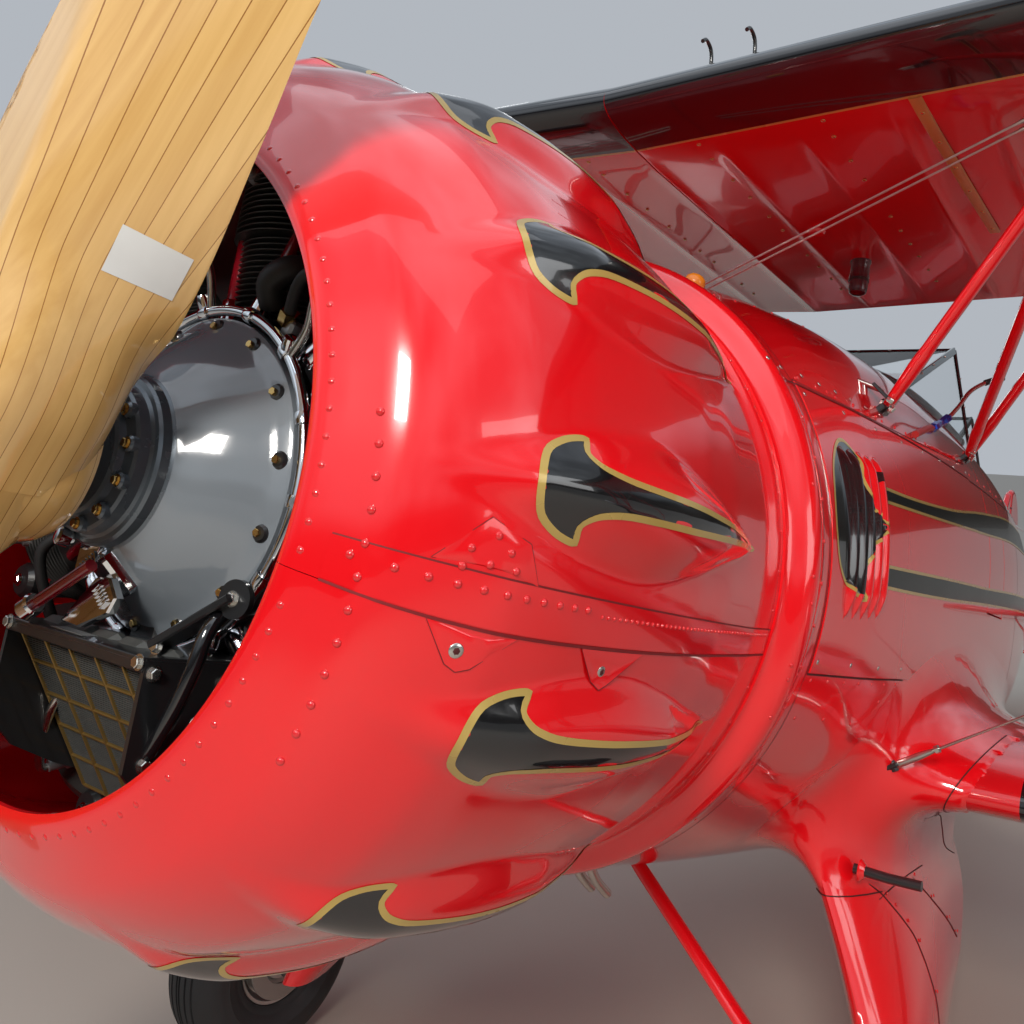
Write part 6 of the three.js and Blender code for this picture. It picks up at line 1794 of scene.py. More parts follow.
SEATS = {"front": (2.520, 2.970, 0.410, -0.060, 0.430), "rear": (3.420, 3.800, 0.260, -0.040, 0.450)}
for name, (y0, y1, half, top, back_top) in SEATS.items():
    pan = [bar((-half, (y0 + y1) / 2, top - 0.095), (half, (y0 + y1) / 2, top - 0.095), AFT, y1 - y0, 0.048),
           bar((-half, y1 - 0.010, (top + back_top) / 2 - 0.02),
               (half, y1 - 0.010, (top + back_top) / 2 - 0.02), UP, back_top - top - 0.02, 0.018)]
    pan += [tube([(x, y, -0.412), (x, y, top - 0.11)], 0.012, 14) for x in (-half + 0.05, half - 0.05)
            for y in (y0 + 0.05, y1 - 0.05)]
    shown(f"seat_frame_{name}", pan, engine_black, "seat_leather", f"seat_{name}")
    pads = 2 if name == "front" else 1
    for k in range(pads):
        x0 = -half + 0.006 + (2 * half - 0.012) / pads * k
        x1 = x0 + (2 * half - 0.012) / pads - 0.004
        seat_pad = made(f"seat_cushion_{name}_{k + 1}", *cushion(x0, x1, y0 + 0.004, y1 - 0.065, top - 0.070,
                                                                 top - 0.018, 0.016), leather, sharp=70)
        back_pad = made(f"seat_back_{name}_{k + 1}", *cushion(x0, x1, y1 - 0.052, y1 - 0.022, top - 0.012,
                                                              back_top, 0.014, True), leather, sharp=70)
head_rest = eased([[3.815, 0.140, 0.842], [3.84, 0.156, 0.856], [3.90, 0.170, 0.872], [4.12, 0.155, 0.830],
                   [4.42, 0.090, 0.735], [4.66, 0.022, 0.640]])
rings = []
for y in [3.815, 3.819, 3.826, 3.84, 3.86, 3.88, *between(3.90, 4.66, 0.03)]:
    half, top = head_rest(y)
    shrink = 0.80 + 0.20 * min(1.0, (y - 3.815) / 0.045) ** 0.5
    ring = []
    for j in range(41):
        a = math.pi * j / 40
        x = half * shrink * math.copysign(abs(math.cos(a)) ** 0.75, math.cos(a))
        base = hull_height(y, x) - 0.02
        ring.append(Vector((x, y, base + (top * shrink + (1 - shrink) * 0.70 - base) * math.sin(a) ** 0.8)))
    low = [Vector((p.x, p.y, hull_height(y, p.x) - 0.03)) for p in ring[-2:0:-3]]
    rings.append(ring + low)
shown("headrest_shell", [lofted(rings)], gloss_red, "red_panels", "headrest_fairing", sharp=45)
pad_rows = [[Vector((0.110 * (u * 2 - 1), 3.800 - 0.018 * (1 - abs(2 * u - 1) ** 4)
                     * (1 - abs(2 * v - 1) ** 4) ** 0.5 + 0.012, 0.735 + 0.095 * v))
             for v in np.linspace(0, 1, 14)] for u in np.linspace(0, 1, 26)]
pad_back = [[Vector((p.x, 3.822, p.z)) for p in row] for row in pad_rows]
pad_points = lofted([row + b[::-1] for row, b in zip(pad_rows, pad_back)])
shown("headrest_pad", [pad_points], leather, "seat_leather", sharp=60)

# Undercarriage legs: spring-steel blades inside wide sheet fairings of streamline section,
# sprayed with the fuselage; a cuff covers each nose and the cover is screwed along its edges.
leg_table = eased([[-1.225, 0.806, 1.490, 1.640, 0.060], [-1.150, 0.786, 1.500, 1.730, 0.088],
                   [-0.900, 0.690, 1.590, 2.100, 0.114], [-0.640, 0.565, 1.640, 2.540, 0.136],
                   [-0.370, 0.425, 1.650, 2.640, 0.146], [-0.100, 0.280, 1.660, 2.700, 0.150]])
TOE = 0.075
TEARDROP = [(0, 0), (0.006, 0.075), (0.02, 0.15), (0.05, 0.27), (0.10, 0.38), (0.16, 0.46), (0.24, 0.50),
            (0.34, 0.495), (0.46, 0.45), (0.58, 0.375), (0.70, 0.285), (0.82, 0.18), (0.92, 0.09), (1, 0.025)]


def toe_in(z):
    """How far the leg's tail stands out for each metre aft of its nose."""
    return TOE * min(1.0, max(0.0, (z + 1.15) / 0.35))


def leg_ring(z, side):
    """The outline of a leg at a height, round its outer face first."""
    x, y0, y1, thick = leg_table(z)
    deep = y1 - y0
    around = TEARDROP + [(u, -w) for u, w in TEARDROP[:0:-1]]
    return [Vector((side * (x + w * thick + toe_in(z) * u * deep), y0 + u * deep, z)) for u, w in around]


WHEEL_AT = Vector((0.965, 1.550, -1.190))
for side, label in SIDES:
    skin = lofted([leg_ring(float(z), side) for z in np.linspace(-1.225, -0.300, 64)])
    shown(f"gear_leg_skin_{label}", [skin], gloss_red, "red_panels", f"gear_leg_{label}", sharp=50)

    # Joint lines and screws on the leg: a cuff round the nose, and the cover's slanting edges.
    seams, heads = [], []
    nose = leg_ring(-0.600, side)
    nose = [p + Vector((0, 0, 0.10 * (p.x * side - 0.565))) for p in nose[-6:] + nose[:6]]
    lower = leg_ring(-1.105, side)
    seams += [tube(nose, 0.0015, 6), tube(lower + lower[:1], 0.0013, 6)]
    for trace in (((0.587, 1.753, -0.579), (0.600, 1.785, -0.597), (0.618, 1.812, -0.619),
                   (0.643, 1.853, -0.656), (0.670, 1.890, -0.703), (0.722, 1.905, -0.820),
                   (0.772, 1.850, -0.960)),
                  ((0.588, 1.800, -0.500), (0.594, 1.824, -0.512), (0.615, 1.955, -0.572),
                   (0.643, 2.071, -0.637), (0.674, 2.194, -0.709), (0.695, 2.270, -0.758))):
        laid = []
        for p in (Vector(p) for p in curved(trace, 6)):
            x, y0, y1, thick = leg_table(p.z)
            u = min(1.0, max(0.0, (p.y - y0) / (y1 - y0)))
            w = np.interp(u, *zip(*TEARDROP))
            laid.append(Vector((side * (x + w * thick + toe_in(p.z) * u * (y1 - y0) + 0.0004), p.y, p.z)))
        seams.append(tube(laid, 0.0016, 6))
        heads += [(p + Vector((0, 0.016, 0.006)), Vector((side, 0, 0.4))) for p in laid[4::5]]
    shown(f"leg_seams_{label}", seams, seam_shadow, "red_panels")
    fasteners(f"leg_screws_{label}", heads, 0.0040, 0.0018, rivet_red)
    step = [(side * 0.580, 1.70, -0.545), (side * 0.65, 1.70, -0.545), (side * 0.716, 1.70, -0.541)]
    shown(f"step_rod_{label}", [tube(step, 0.0105, 20)], engine_black, "black_metal")
    shown(f"step_base_{label}",
          [turned([(0, 0), (0.022, 0), (0.022, 0.004), (0.013, 0.012), (0, 0.012)], 28,
                  (side * 0.592, 1.70, -0.545), (side, 0, 0))], gloss_red, "red_panels")
    spreader = strut((side * 0.772, 1.566, -1.150), (side * 0.060, 1.660, -0.636), 0.030, 0.054)
    shown(f"spreader_bar_{label}", [spreader], gloss_red, "red_tubes")
    axle = turned([(0, 0), (0.046, 0), (0.046, 0.050), (0.040, 0.060), (0.026, 0.064), (0.0248, 0.070),
                   (0.0248, 0.262), (0.020, 0.264), (0, 0.264)], 40,
                  Vector((side * (WHEEL_AT.x - 0.165), WHEEL_AT.y, WHEEL_AT.z)), (side, 0, 0))
    shown(f"axle_{label}", [axle], engine_black, "black_metal", sharp=28)
    caliper_at = Vector((side * 0.850, 1.640, -1.120))
    caliper = bar(caliper_at - Vector((side * 0.022, 0, 0)), caliper_at + Vector((side * 0.030, 0, 0)),
                  (0, 0.7, -0.7), 0.075, 0.040)
    shown(f"brake_block_{label}", [caliper], cast_grey, "black_metal")
    hose = curved([caliper_at + Vector((0, 0.01, 0.02)), caliper_at + Vector((-side * 0.02, 0.03, 0.08)),
                   Vector((side * 0.755, 1.72, -0.95)), Vector((side * 0.700, 1.75, -0.85))], 10)
    shown(f"brake_hose_{label}", [tube(hose, 0.0045, 12)], rubber_black, "black_metal")

# Wing-root and leg-root fairings: sheet beaten to a wide hollow curve where the lower wing and
# the leg leave the fuselage. The three shapes are melted together on a grid of distances and
# the skin is drawn where the blend vanishes; the fairing ends in a lip a little off the wing.
def skin_of(field, low, step):
    """The surface where a grid of distances changes sign, as points and four-cornered faces."""
    inside = field < 0
    cells = tuple(n - 1 for n in field.shape)
    total, hits = np.zeros((*cells, 3)), np.zeros(cells)
    corners = [(i, j, k) for i in (0, 1) for j in (0, 1) for k in (0, 1)]

    def corner(values, c):
        return values[c[0]:c[0] + cells[0], c[1]:c[1] + cells[1], c[2]:c[2] + cells[2]]
    for p in corners:
        for axis in range(3):
            if p[axis]:
                continue
            q = tuple(c + (a == axis) for a, c in enumerate(p))
            fp, fq = corner(field, p), corner(field, q)
            cross = corner(inside, p) != corner(inside, q)
            t = np.where(cross, fp / np.where(fp == fq, 1, fp - fq), 0)
            for a in range(3):
                total[..., a] += np.where(cross, p[a] + (t if a == axis else 0), 0)
            hits += cross
    used = hits > 0
    number = np.full(cells, -1)
    number[used] = np.arange(used.sum())
    where = np.argwhere(used)
    points = (where + total[used] / hits[used][:, None]) * step + np.array(low)
    faces = []
    for axis in range(3):
        u, v = (axis + 1) % 3, (axis + 2) % 3
        first = np.take(inside, range(field.shape[axis] - 1), axis)
        second = np.take(inside, range(1, field.shape[axis]), axis)
        for at in np.argwhere(first != second):
            if at[u] == 0 or at[v] == 0 or at[u] >= cells[u] or at[v] >= cells[v]:
                continue
            quad = []
            for du, dv in ((-1, -1), (0, -1), (0, 0), (-1, 0)):
                c = at.copy()
                c[u] += du
                c[v] += dv
                quad.append(int(number[tuple(c)]))
            faces.append(tuple(quad) if first[tuple(at)] else tuple(quad[::-1]))
    return points, faces


def outline_distance(outline, px, py):
    """Signed distance from points to a closed outline in a plane, less than nought inside."""
    best, inner = np.full(px.shape, 1e9), np.zeros(px.shape, bool)
    for (x0, y0), (x1, y1) in zip(outline, outline[1:] + outline[:1]):
        dx, dy = x1 - x0, y1 - y0
        t = np.clip(((px - x0) * dx + (py - y0) * dy) / max(dx * dx + dy * dy, 1e-12), 0, 1)
        best = np.minimum(best, (px - x0 - t * dx) ** 2 + (py - y0 - t * dy) ** 2)
        if y0 != y1:
            inner ^= ((y0 > py) != (y1 > py)) & (px < dx * (py - y0) / dy + x0)
    return np.where(inner, -1, 1) * np.sqrt(best)


def melted(a, b, reach):
    """The smaller of two distances, with the crease between them blended over a reach."""
    h = np.clip((reach - np.abs(a - b)) / reach, 0, None)
    return np.minimum(a, b) - h * h * reach / 4


STEP = 0.015
LOW = (0.20, 1.42, -0.96)
xs, ys, zs = (np.arange(lo, hi, STEP) for lo, hi in zip(LOW, (0.93, 3.60, 0.12)))
gx, gy, gz = np.meshgrid(xs, ys, zs, indexing="ij")
half, middle, high, power = (np.array(v)[None, :, None] for v in zip(*(hull_section(float(y)) for y in ys)))
swell = ((gx / half) ** power + (np.abs(gz - middle) / high) ** power) ** (1 / power) - 1
slopes = np.gradient(swell, STEP)
hull_gap = swell / np.sqrt(sum(s * s for s in slopes) + 1e-9)
lead_y, lead_z = LEADS["lower"]
section_line = [(f * CHORD, skin_height(f, over)) for f, over in ROUND]
FLAT_LOW, FLAT_STEP = -0.75, 0.006
flat_y, flat_z = np.meshgrid(ys - lead_y, np.arange(FLAT_LOW, 0.65, FLAT_STEP), indexing="ij")
flat = outline_distance(section_line, flat_y, flat_z)
depth = gz - lead_z - gx * math.tan(DIHEDRAL)
row_of = np.broadcast_to(np.arange(len(ys))[None, :, None], gx.shape)
slot_of = (depth - FLAT_LOW) / FLAT_STEP
lower_slot = np.clip(slot_of.astype(int), 0, flat.shape[1] - 2)
share = np.clip(slot_of - lower_slot, 0, 1)
wing_gap = flat[row_of, lower_slot] * (1 - share) + flat[row_of, lower_slot + 1] * share
leg_gap = np.empty(gx.shape)
for k, z in enumerate(zs):
    ring = [(p.x, p.y) for p in leg_ring(float(z), 1)]
    leg_gap[:, :, k] = outline_distance(ring, gx[:, :, k], gy[:, :, k]) * 0.92
plain = np.minimum(np.minimum(hull_gap, wing_gap), leg_gap)
blend = melted(melted(hull_gap, wing_gap - 0.004, 0.24), leg_gap, 0.16)
end_plane = (gx - 0.366 * gz - 0.905) / 1.065
blend = np.maximum(blend, end_plane)
field = blend + 0.0012
field[:2], field[:, :2], field[:, :, :2] = 1, 1, 1
field[-2:], field[:, -2:], field[:, :, -2:] = 1, 1, 1
points, faces = skin_of(field, LOW, STEP)
spot = (points - np.array(LOW)) / STEP
cell = np.clip(spot.astype(int), 0, np.array(gx.shape) - 2)
part = spot - cell
gap = sum(plain[cell[:, 0] + i, cell[:, 1] + j, cell[:, 2] + k]
          * np.where(i, part[:, 0], 1 - part[:, 0]) * np.where(j, part[:, 1], 1 - part[:, 1])
          * np.where(k, part[:, 2], 1 - part[:, 2]) for i in (0, 1) for j in (0, 1) for k in (0, 1))
proud = gap > -0.0009
kept = [f for f in faces if any(proud[v] for v in f) and min(points[v][2] for v in f) > -0.93
        and max(points[v][1] for v in f) < 3.56]
numbers = {v: n for n, v in enumerate(sorted({v for f in kept for v in f}))}
for side, label in SIDES:
    placed = [Vector((side * points[v][0], points[v][1], points[v][2])) for v in numbers]
    fairing = made(f"root_fairing_{label}", placed,
                   [tuple(numbers[v] for v in (f if side > 0 else f[::-1])) for f in kept], gloss_red, sharp=50,
                   turned_out=False)
    cut = bmesh.new()
    cut.from_mesh(fairing.data)
    cut.transform(LEVEL.inverted())
    paths = []
    found = bmesh.ops.bisect_plane(cut, geom=cut.verts[:] + cut.edges[:] + cut.faces[:],
                                   plane_co=(side * 0.898, 0, 0), plane_no=(side, 0, -0.459))
    for edge in (e for e in found["geom_cut"] if isinstance(e, bmesh.types.BMEdge)):
        p, q = (v.co.copy() for v in edge.verts)
        if max(p.y, q.y) < 2.1:
            paths.append(tube([p, q], 0.0016, 6))
    cut.free()
    fall = [(0.684, 2.0, -0.44), (0.640, 2.16, -0.462), (0.6235, 2.259, -0.481), (0.6145, 2.330, -0.510),
            (0.611, 2.370, -0.536), (0.6165, 2.405, -0.580), (0.6245, 2.530, -0.613), (0.634, 2.600, -0.640)]
    skin_tree = BVHTree.FromPolygons([LEVEL.inverted() @ v.co for v in fairing.data.vertices],
                                     [tuple(p.vertices) for p in fairing.data.polygons])
    drawn = [skin_tree.find_nearest(Vector((side * x, y, z)))[0] for x, y, z in curved(fall, 5)]
    paths.append(tube(drawn, 0.0016, 6))
    shown(f"root_fairing_joint_{label}", paths, seam_shadow, "red_panels")

# Main wheels: cast aluminium hubs whose five pockets are flat black discs of painted shade, a polished
# cap and through bolts, and balloon tyres with six straight grooves, a bead line and moulded side rings.
tyre_black = finish("tyre_black", (0.020, 0.020, 0.021), rough=0.62, vary=0.25, grain=30,
                    relief=[(260, 0.25, 0.0006)])
hub_cast = finish("hub_cast", (0.62, 0.62, 0.61), rough=0.30, metal=1.0, vary=0.10, grain=24,
                  relief=[(180, 0.10, 0.0004)])
disc_steel = finish("brake_disc", (0.45, 0.44, 0.43), rough=0.24, metal=1.0, vary=0.12, grain=6,
                    stretch=(8, 1, 1))
TYRE = [(0.1325, -0.068), (0.140, -0.074), (0.150, -0.077), (0.153, -0.0775), (0.156, -0.080), (0.170, -0.087),
        (0.185, -0.092), (0.188, -0.0935), (0.191, -0.0925), (0.206, -0.0948), (0.222, -0.0925),
        (0.238, -0.0865), (0.252, -0.077), (0.262, -0.067), (0.2695, -0.056), (0.2722, -0.051),
        (0.2700, -0.050), (0.2700, -0.0455), (0.2745, -0.0445), (0.2780, -0.031), (0.2735, -0.0300),
        (0.2735, -0.0250), (0.2785, -0.0240), (0.2797, -0.0085), (0.2745, -0.0075), (0.2745, -0.0025),
        (0.2799, -0.0015), (0.2799, 0.0)]
TYRE = TYRE + [(r, -w) for r, w in TYRE[-2::-1]]
HUB = [(0.0255, -0.075), (0.060, -0.075), (0.064, -0.070), (0.066, -0.060), (0.080, -0.052), (0.110, -0.050),
       (0.117, -0.056), (0.122, -0.066), (0.130, -0.0672), (0.1318, -0.064), (0.1300, -0.058), (0.1250, -0.050),
       (0.1250, 0.050), (0.1300, 0.058), (0.1318, 0.064), (0.130, 0.0672), (0.122, 0.066), (0.117, 0.056),
       (0.110, 0.047), (0.090, 0.050), (0.070, 0.062), (0.058, 0.080), (0.050, 0.092), (0.0255, 0.096)]
for side, label in SIDES:
    centre = Vector((side * WHEEL_AT.x, WHEEL_AT.y, WHEEL_AT.z))
    way = Vector((side, 0, 0))
    shown(f"tyre_rubber_{label}", [turned(TYRE, 160, centre, way)], tyre_black, "tyre_rubber", f"tyre_{label}",
          body=f"wheel_{label}", sharp=34)
    shown(f"wheel_casting_{label}", [turned(HUB, 96, centre, way)], hub_cast, "hub_aluminium",
          f"wheel_hub_{label}", body=f"wheel_{label}", sharp=28)
    parts, bolts, pocket_shades = [], [], []
    for k in range(5):
        a = math.radians(72 * k)
        out = Vector((0, math.cos(a), math.sin(a)))
        parts.append(bar(centre + out * 0.062 + way * 0.070, centre + out * 0.112 + way * 0.050, way, 0.012,
                         0.020))
        b = a + math.radians(36)
        hole = Vector((0, math.cos(b), math.sin(b)))
        # Each pocket is a thin black disc on the hub's face: painted shade where a hollow would be.
        pocket_shades.append(turned([(0, 0), (0.0125, 0), (0.0145, 0.0015), (0.0145, 0.003), (0, 0.003)], 24,
                            centre + hole * 0.096 + way * 0.0465, way))
        bolts.append(hexagon(centre + hole * 0.077 + way * 0.057, way, 0.0065, 0.008))
    parts.append(turned([(0, 0.1005), (0.030, 0.1005), (0.044, 0.097), (0.048, 0.092), (0.048, 0.088),
                         (0, 0.088)], 48, centre, way))
    disc = turned([(0.070, -0.086), (0.112, -0.086), (0.1125, -0.0855), (0.1125, -0.0805), (0.112, -0.080),
                   (0.070, -0.080)], 80, centre, way)
    valve = turned([(0, 0), (0.0042, 0), (0.0042, 0.024), (0.0034, 0.026), (0, 0.026)], 16,
                   centre + Vector((0, 0.1135, 0)) + way * 0.050, way + Vector((0, -0.25, 0)))
    shown(f"hub_ribs_{label}", parts, polished, "hub_aluminium", body=f"wheel_{label}", sharp=28)
    shown(f"hub_pocket_shades_{label}", pocket_shades, engine_black, "hub_aluminium", body=f"wheel_{label}", sharp=28)
    shown(f"hub_bolts_{label}", [*bolts, valve], bright_screw, "plain_steel", body=f"wheel_{label}")
    shown(f"brake_disc_{label}", [disc], disc_steel, "plain_steel", body=f"wheel_{label}", sharp=28)

# Exhaust: a stub of heat-browned steel tube, open at its mouth, that leaves the cowl under the
# right of the belly and is held by a bolted clamp. Two bright breather pipes end to its left.
exhaust_metal = finish("exhaust_metal", (0.17, 0.13, 0.11), rough=0.30, metal=1.0, vary=0.3, grain=7,
                       relief=[(120, 0.06, 0.0005)])
pipe_path = [Vector(p)
             for p in curved([(-0.250, 1.130, -0.480), (-0.257, 1.220, -0.575), (-0.262, 1.300, -0.640),
                              (-0.264, 1.390, -0.664), (-0.266, 1.500, -0.684)], 8)]
PIPE_SIDES = 40
outer, inner = (tube(pipe_path, radius, PIPE_SIDES, caps=False) for radius in (0.0415, 0.0375))
count = len(outer[0])
points = outer[0] + inner[0]
faces = outer[1] + [tuple(k + count for k in f[::-1]) for f in inner[1]]
for start in (0, count - PIPE_SIDES):
    for a, b in ((start + j, start + (j + 1) % PIPE_SIDES) for j in range(PIPE_SIDES)):
        faces.append((a, b, b + count, a + count))
exhaust = made("exhaust_stub", points, faces, exhaust_metal, sharp=50)
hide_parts("exhaust_pipe")
clamp_at = pipe_path[12]
collar = turned(eyelet(0.0415, 0.0475, 0.0485, 0.008, 0.011), 48, clamp_at, pipe_path[13] - clamp_at)
clamp_bolt = hexagon(clamp_at + Vector((-0.050, 0, 0)), (0, 0.3, -1), 0.008, 0.012)
shown("exhaust_clamp", [collar, clamp_bolt], bright_screw, "plain_steel")
breather = [curved([(x, 1.36, -0.615), (x, 1.40, -0.655), (x + 0.004, 1.45, -0.690)], 6) for x in (0.10, 0.14)]
shown("breather_pipes", [tube(p, 0.0105, 18) for p in breather], bright_screw, "plain_steel")

# Tail: steel-tube outlines and ribs under fabric, a little thicker in the middle, with round
# edges; the ribs show as soft ridges running fore and aft.
TAIL_RIBS, RIDGE, LEAF_THICK = 0.19, 0.0022, 0.0215


def leaf(outline, middle, upright):
    """A covered tail surface: outline pairs, a pillowed skin on both sides and a round rim."""
    rim = []
    smooth = [Vector(p) for p in curved(outline, 6, closed=True)]
    for a, b in zip(smooth, smooth[1:] + smooth[:1]):
        parts = max(1, round((b - a).length / 0.018))
        rim += [a.lerp(b, k / parts) for k in range(parts)]
    count = len(rim)
    starts = np.array([tuple(p) for p in rim])
    spans = np.roll(starts, -1, 0) - starts

    def inset(u, v):
        off = np.array((u, v)) - starts
        t = np.clip((off * spans).sum(1) / (spans**2).sum(1), 0, 1)
        return float(np.hypot(*(off - spans * t[:, None]).T).min())

    def inside(u, v):
        below = starts[:, 1] > v
        rise = np.where(spans[:, 1] == 0, 1, spans[:, 1])
        return int(((below != np.roll(below, -1)) & (u < starts[:, 0] + spans[:, 0] * (v - starts[:, 1])
                                                     / rise)).sum()) % 2 == 1
    low, high = starts.min(0), starts.max(0)
    steps = (0.050, TAIL_RIBS / 12) if upright else (TAIL_RIBS / 12, 0.050)
    grid = [Vector((u, v)) for u in np.arange(low[0], high[0], steps[0]) for v in np.arange(low[1], high[1],
                                                                                            steps[1])
            if inside(u, v) and inset(u, v) > 0.034]
    for i in range(count):
        along = (rim[(i + 1) % count] - rim[i - 1]).normalized()
        for d in (-0.004, -0.010, -0.018, -0.028, 0.004, 0.010, 0.018, 0.028):
            p = rim[i] + Vector((along.y, -along.x)) * d
            if inside(p.x, p.y) and inset(p.x, p.y) > abs(d) * 0.92:
                grid.append(p)
    verts, _, faces, *_ = delaunay_2d_cdt(rim + grid, [], [list(range(count))], 1, 1e-6)
    points, all_faces = [], []
    for s in (1, -1):
        base = len(points)
        for p in verts:
            d = inset(p.x, p.y)
            w = LEAF_THICK * (1 - (1 - min(1.0, d / 0.028)) ** 2) ** 0.5
            across = p.y if upright else p.x
            show = min(1.0, d / 0.10)
            w -= RIDGE * show * (1 - abs(2 * ((across / TAIL_RIBS) % 1) - 1) ** 4)
            points.append(Vector((middle + s * w, p.x, p.y)) if upright else Vector((p.x, p.y, middle + s * w)))
        all_faces += [tuple(base + k for k in (f if s > 0 else f[::-1])) for f in faces]
    return points, all_faces


FIN = [(6.02, 0.330), (6.150, 0.500), (6.400, 0.755), (6.560, 0.980), (6.640, 1.078), (6.672, 1.098),
       (6.690, 1.093), (6.697, 1.070), (6.697, 0.8), (6.697, 0.272), (6.40, 0.272), (6.1, 0.272)]
RUDDER = [(6.745, -0.050), (6.731, -0.040), (6.728, 0.0), (6.728, 0.5), (6.728, 1.070), (6.733, 1.100),
          (6.752, 1.126), (6.810, 1.144), (6.930, 1.116), (7.050, 1.008), (7.128, 0.830), (7.162, 0.600),
          (7.148, 0.380), (7.089, 0.190), (6.990, 0.052), (6.860, -0.037)]
shown("fin_skin", [leaf(FIN, 0, True)], fabric_red, "red_fabric", "fin", sharp=60)


def hinge_tube(low, high):
    """The profile of the round tube that a tail surface turns on, bevelled at both ends."""
    return [(0, low), (0.020, low), (LEAF_THICK, low + 0.004), (LEAF_THICK, high - 0.004), (0.020, high),
            (0, high)]


post = turned(hinge_tube(-0.050, 1.108), 40, (0, 6.726, 0), UP)
shown("rudder_skin", [leaf(RUDDER, 0, True), post], fabric_red, "red_fabric", "rudder", body="rudder", sharp=60)
tail_brackets = []
HINGE_RING = eyelet(0.009, 0.0245, 0.0255, 0.003, 0.004)
for z in (0.480, 1.000):
    tail_brackets.append(bar((0, 6.680, z), (0, 6.718, z), UP, 0.008, 0.034))
    tail_brackets.append(turned(HINGE_RING, 32, (0, 6.726, z), UP))
STAB_Z = 0.245
STABILISER = [(0.300, 5.830), (0.900, 5.960), (1.330, 6.100), (1.520, 6.230), (1.586, 6.420), (0.9, 6.423),
              (0.06, 6.423), (0.03, 6.2), (0.03, 5.80)]
ELEVATOR = [(0.093, 6.478), (0.110, 6.458), (0.140, 6.456), (0.8, 6.456), (1.570, 6.456), (1.594, 6.468),
            (1.598, 6.520), (1.540, 6.638), (1.330, 6.758), (0.900, 6.858), (0.420, 6.888), (0.250, 6.878),
            (0.122, 6.640)]
for side, label in SIDES:
    shown(f"stabiliser_skin_{label}", [leaf([(side * x, y) for x, y in STABILISER], STAB_Z, False)], fabric_red,
          "red_fabric", f"stabiliser_{label}", sharp=60)
    tube_nose = turned([(0, 0.0965), (0.020, 0.0965), *hinge_tube(0.096, 1.586)[2:]], 40, (0, 6.452, STAB_Z),
                       (side, 0, 0))
    shown(f"elevator_skin_{label}", [leaf([(side * x, y) for x, y in ELEVATOR], STAB_Z, False), tube_nose],
          fabric_red, "red_fabric", f"elevator_{label}", body="elevator", sharp=60)
    brace = strut((side * 0.075, 6.128, -0.043), (side * 0.845, 6.248, 0.222), 0.022, 0.040)
    piece = shown(f"tail_brace_{label}", [brace], gloss_red, "red_tubes", f"tail_strut_{label}")
    upper_wire = stay((side * 0.012, 6.500, 0.900), (side * 0.980, 6.270, 0.275), 0.0045, 0.0022)
    shown(f"tail_wire_{label}", [upper_wire], wire_steel, "stay_steel")
    tail_brackets += [bar((side * 0.962, 6.270, 0.266), (side * 1.005, 6.270, 0.266), AFT, 0.040, 0.005),
                      bar((side * 0.020, 6.500, 0.880), (side * 0.020, 6.500, 0.925), AFT, 0.030, 0.005),
                      bar((side * 0.800, 6.246, 0.221), (side * 0.880, 6.252, 0.221), AFT, 0.040, 0.005)]
    for x in (0.420, 1.250):
        tail_brackets.append(bar((side * x, 6.405, STAB_Z), (side * x, 6.444, STAB_Z), LEFT, 0.008, 0.034))
        tail_brackets.append(turned(HINGE_RING, 32, (side * x, 6.452, STAB_Z), LEFT))
shown("tail_brackets", tail_brackets, engine_black, "black_metal", sharp=28)

# Tailwheel: three spring leaves clamped under the stern carry a steel steering fork; a solid
# tyre on a cast hub turns between its cheeks.
TAIL_Y, MAIN_TYRE, TAIL_TYRE = 6.600, 0.280, 0.130
ground_z = WHEEL_AT.z * math.cos(STANCE) - WHEEL_AT.y * math.sin(STANCE) - MAIN_TYRE
tail_z = (ground_z + TAIL_TYRE + TAIL_Y * math.sin(STANCE)) / math.cos(STANCE)
TAIL = Matrix.Translation((0, TAIL_Y, tail_z)) @ Matrix.Rotation(STANCE, 4, "X")


def at_tail(part):
    """A part laid out round the tailwheel's axle, moved to its place."""
    return [TAIL @ Vector(p) for p in part[0]], part[1]


king_y, crown = -0.050, 0.140
spring_top = crown + 0.014 + 0.00035
LEAF_SECTION = [(-0.027, -0.0035), (0.027, -0.0035), (0.029, -0.0015), (0.029, 0.0015), (0.027, 0.0035),
                (-0.027, 0.0035), (-0.029, 0.0015), (-0.029, -0.0015)]
leaves = []
for long, low in ((0.0, 0.0), (0.16, -0.0085), (0.34, -0.017)):
    path = [Vector((0, y, z + low))
            for y, z in curved([(king_y - 0.010, spring_top + 0.036), (-0.25, spring_top + 0.052),
                                (-0.50, spring_top + 0.105), (-0.735, spring_top + 0.188)], 10)
            if y < king_y - 0.010 - long + 0.001]
    leaves.append(lofted([[p + Vector((x, 0, z)) for x, z in LEAF_SECTION] for p in path]))
socket = turned([(0.0166, 0.0002), (0.028, 0.0002), (0.0315, 0.004), (0.0315, 0.036), (0.028, 0.040),
                 (0.0166, 0.040)], 48, (0, king_y, spring_top), UP)
clamps = [bar((-0.036, y, z), (0.036, y, z), (0, 1, 0.15), 0.030, 0.026)
          for y, z in ((-0.30, spring_top + 0.052), (-0.545, spring_top + 0.108))]
shown("tailwheel_spring_leaves", [at_tail(merged(*leaves, socket))], engine_black, "plain_steel",
      "tailwheel_spring", sharp=35)
shown("tailwheel_spring_clamps", [at_tail(merged(*clamps))], cast_grey, "plain_steel")
fork_parts = [bar((0, king_y - 0.022, crown + 0.007), (0, 0.018, crown + 0.007), LEFT, 0.110, 0.014),
              turned([(0, 0.008), (0.0155, 0.008), (0.0155, 0.0615), (0.012, 0.064), (0, 0.064)], 36,
                     (0, king_y, crown), UP), turned(drum(0.0098, -0.058, 0.058), 28, (0, 0, 0), LEFT)]
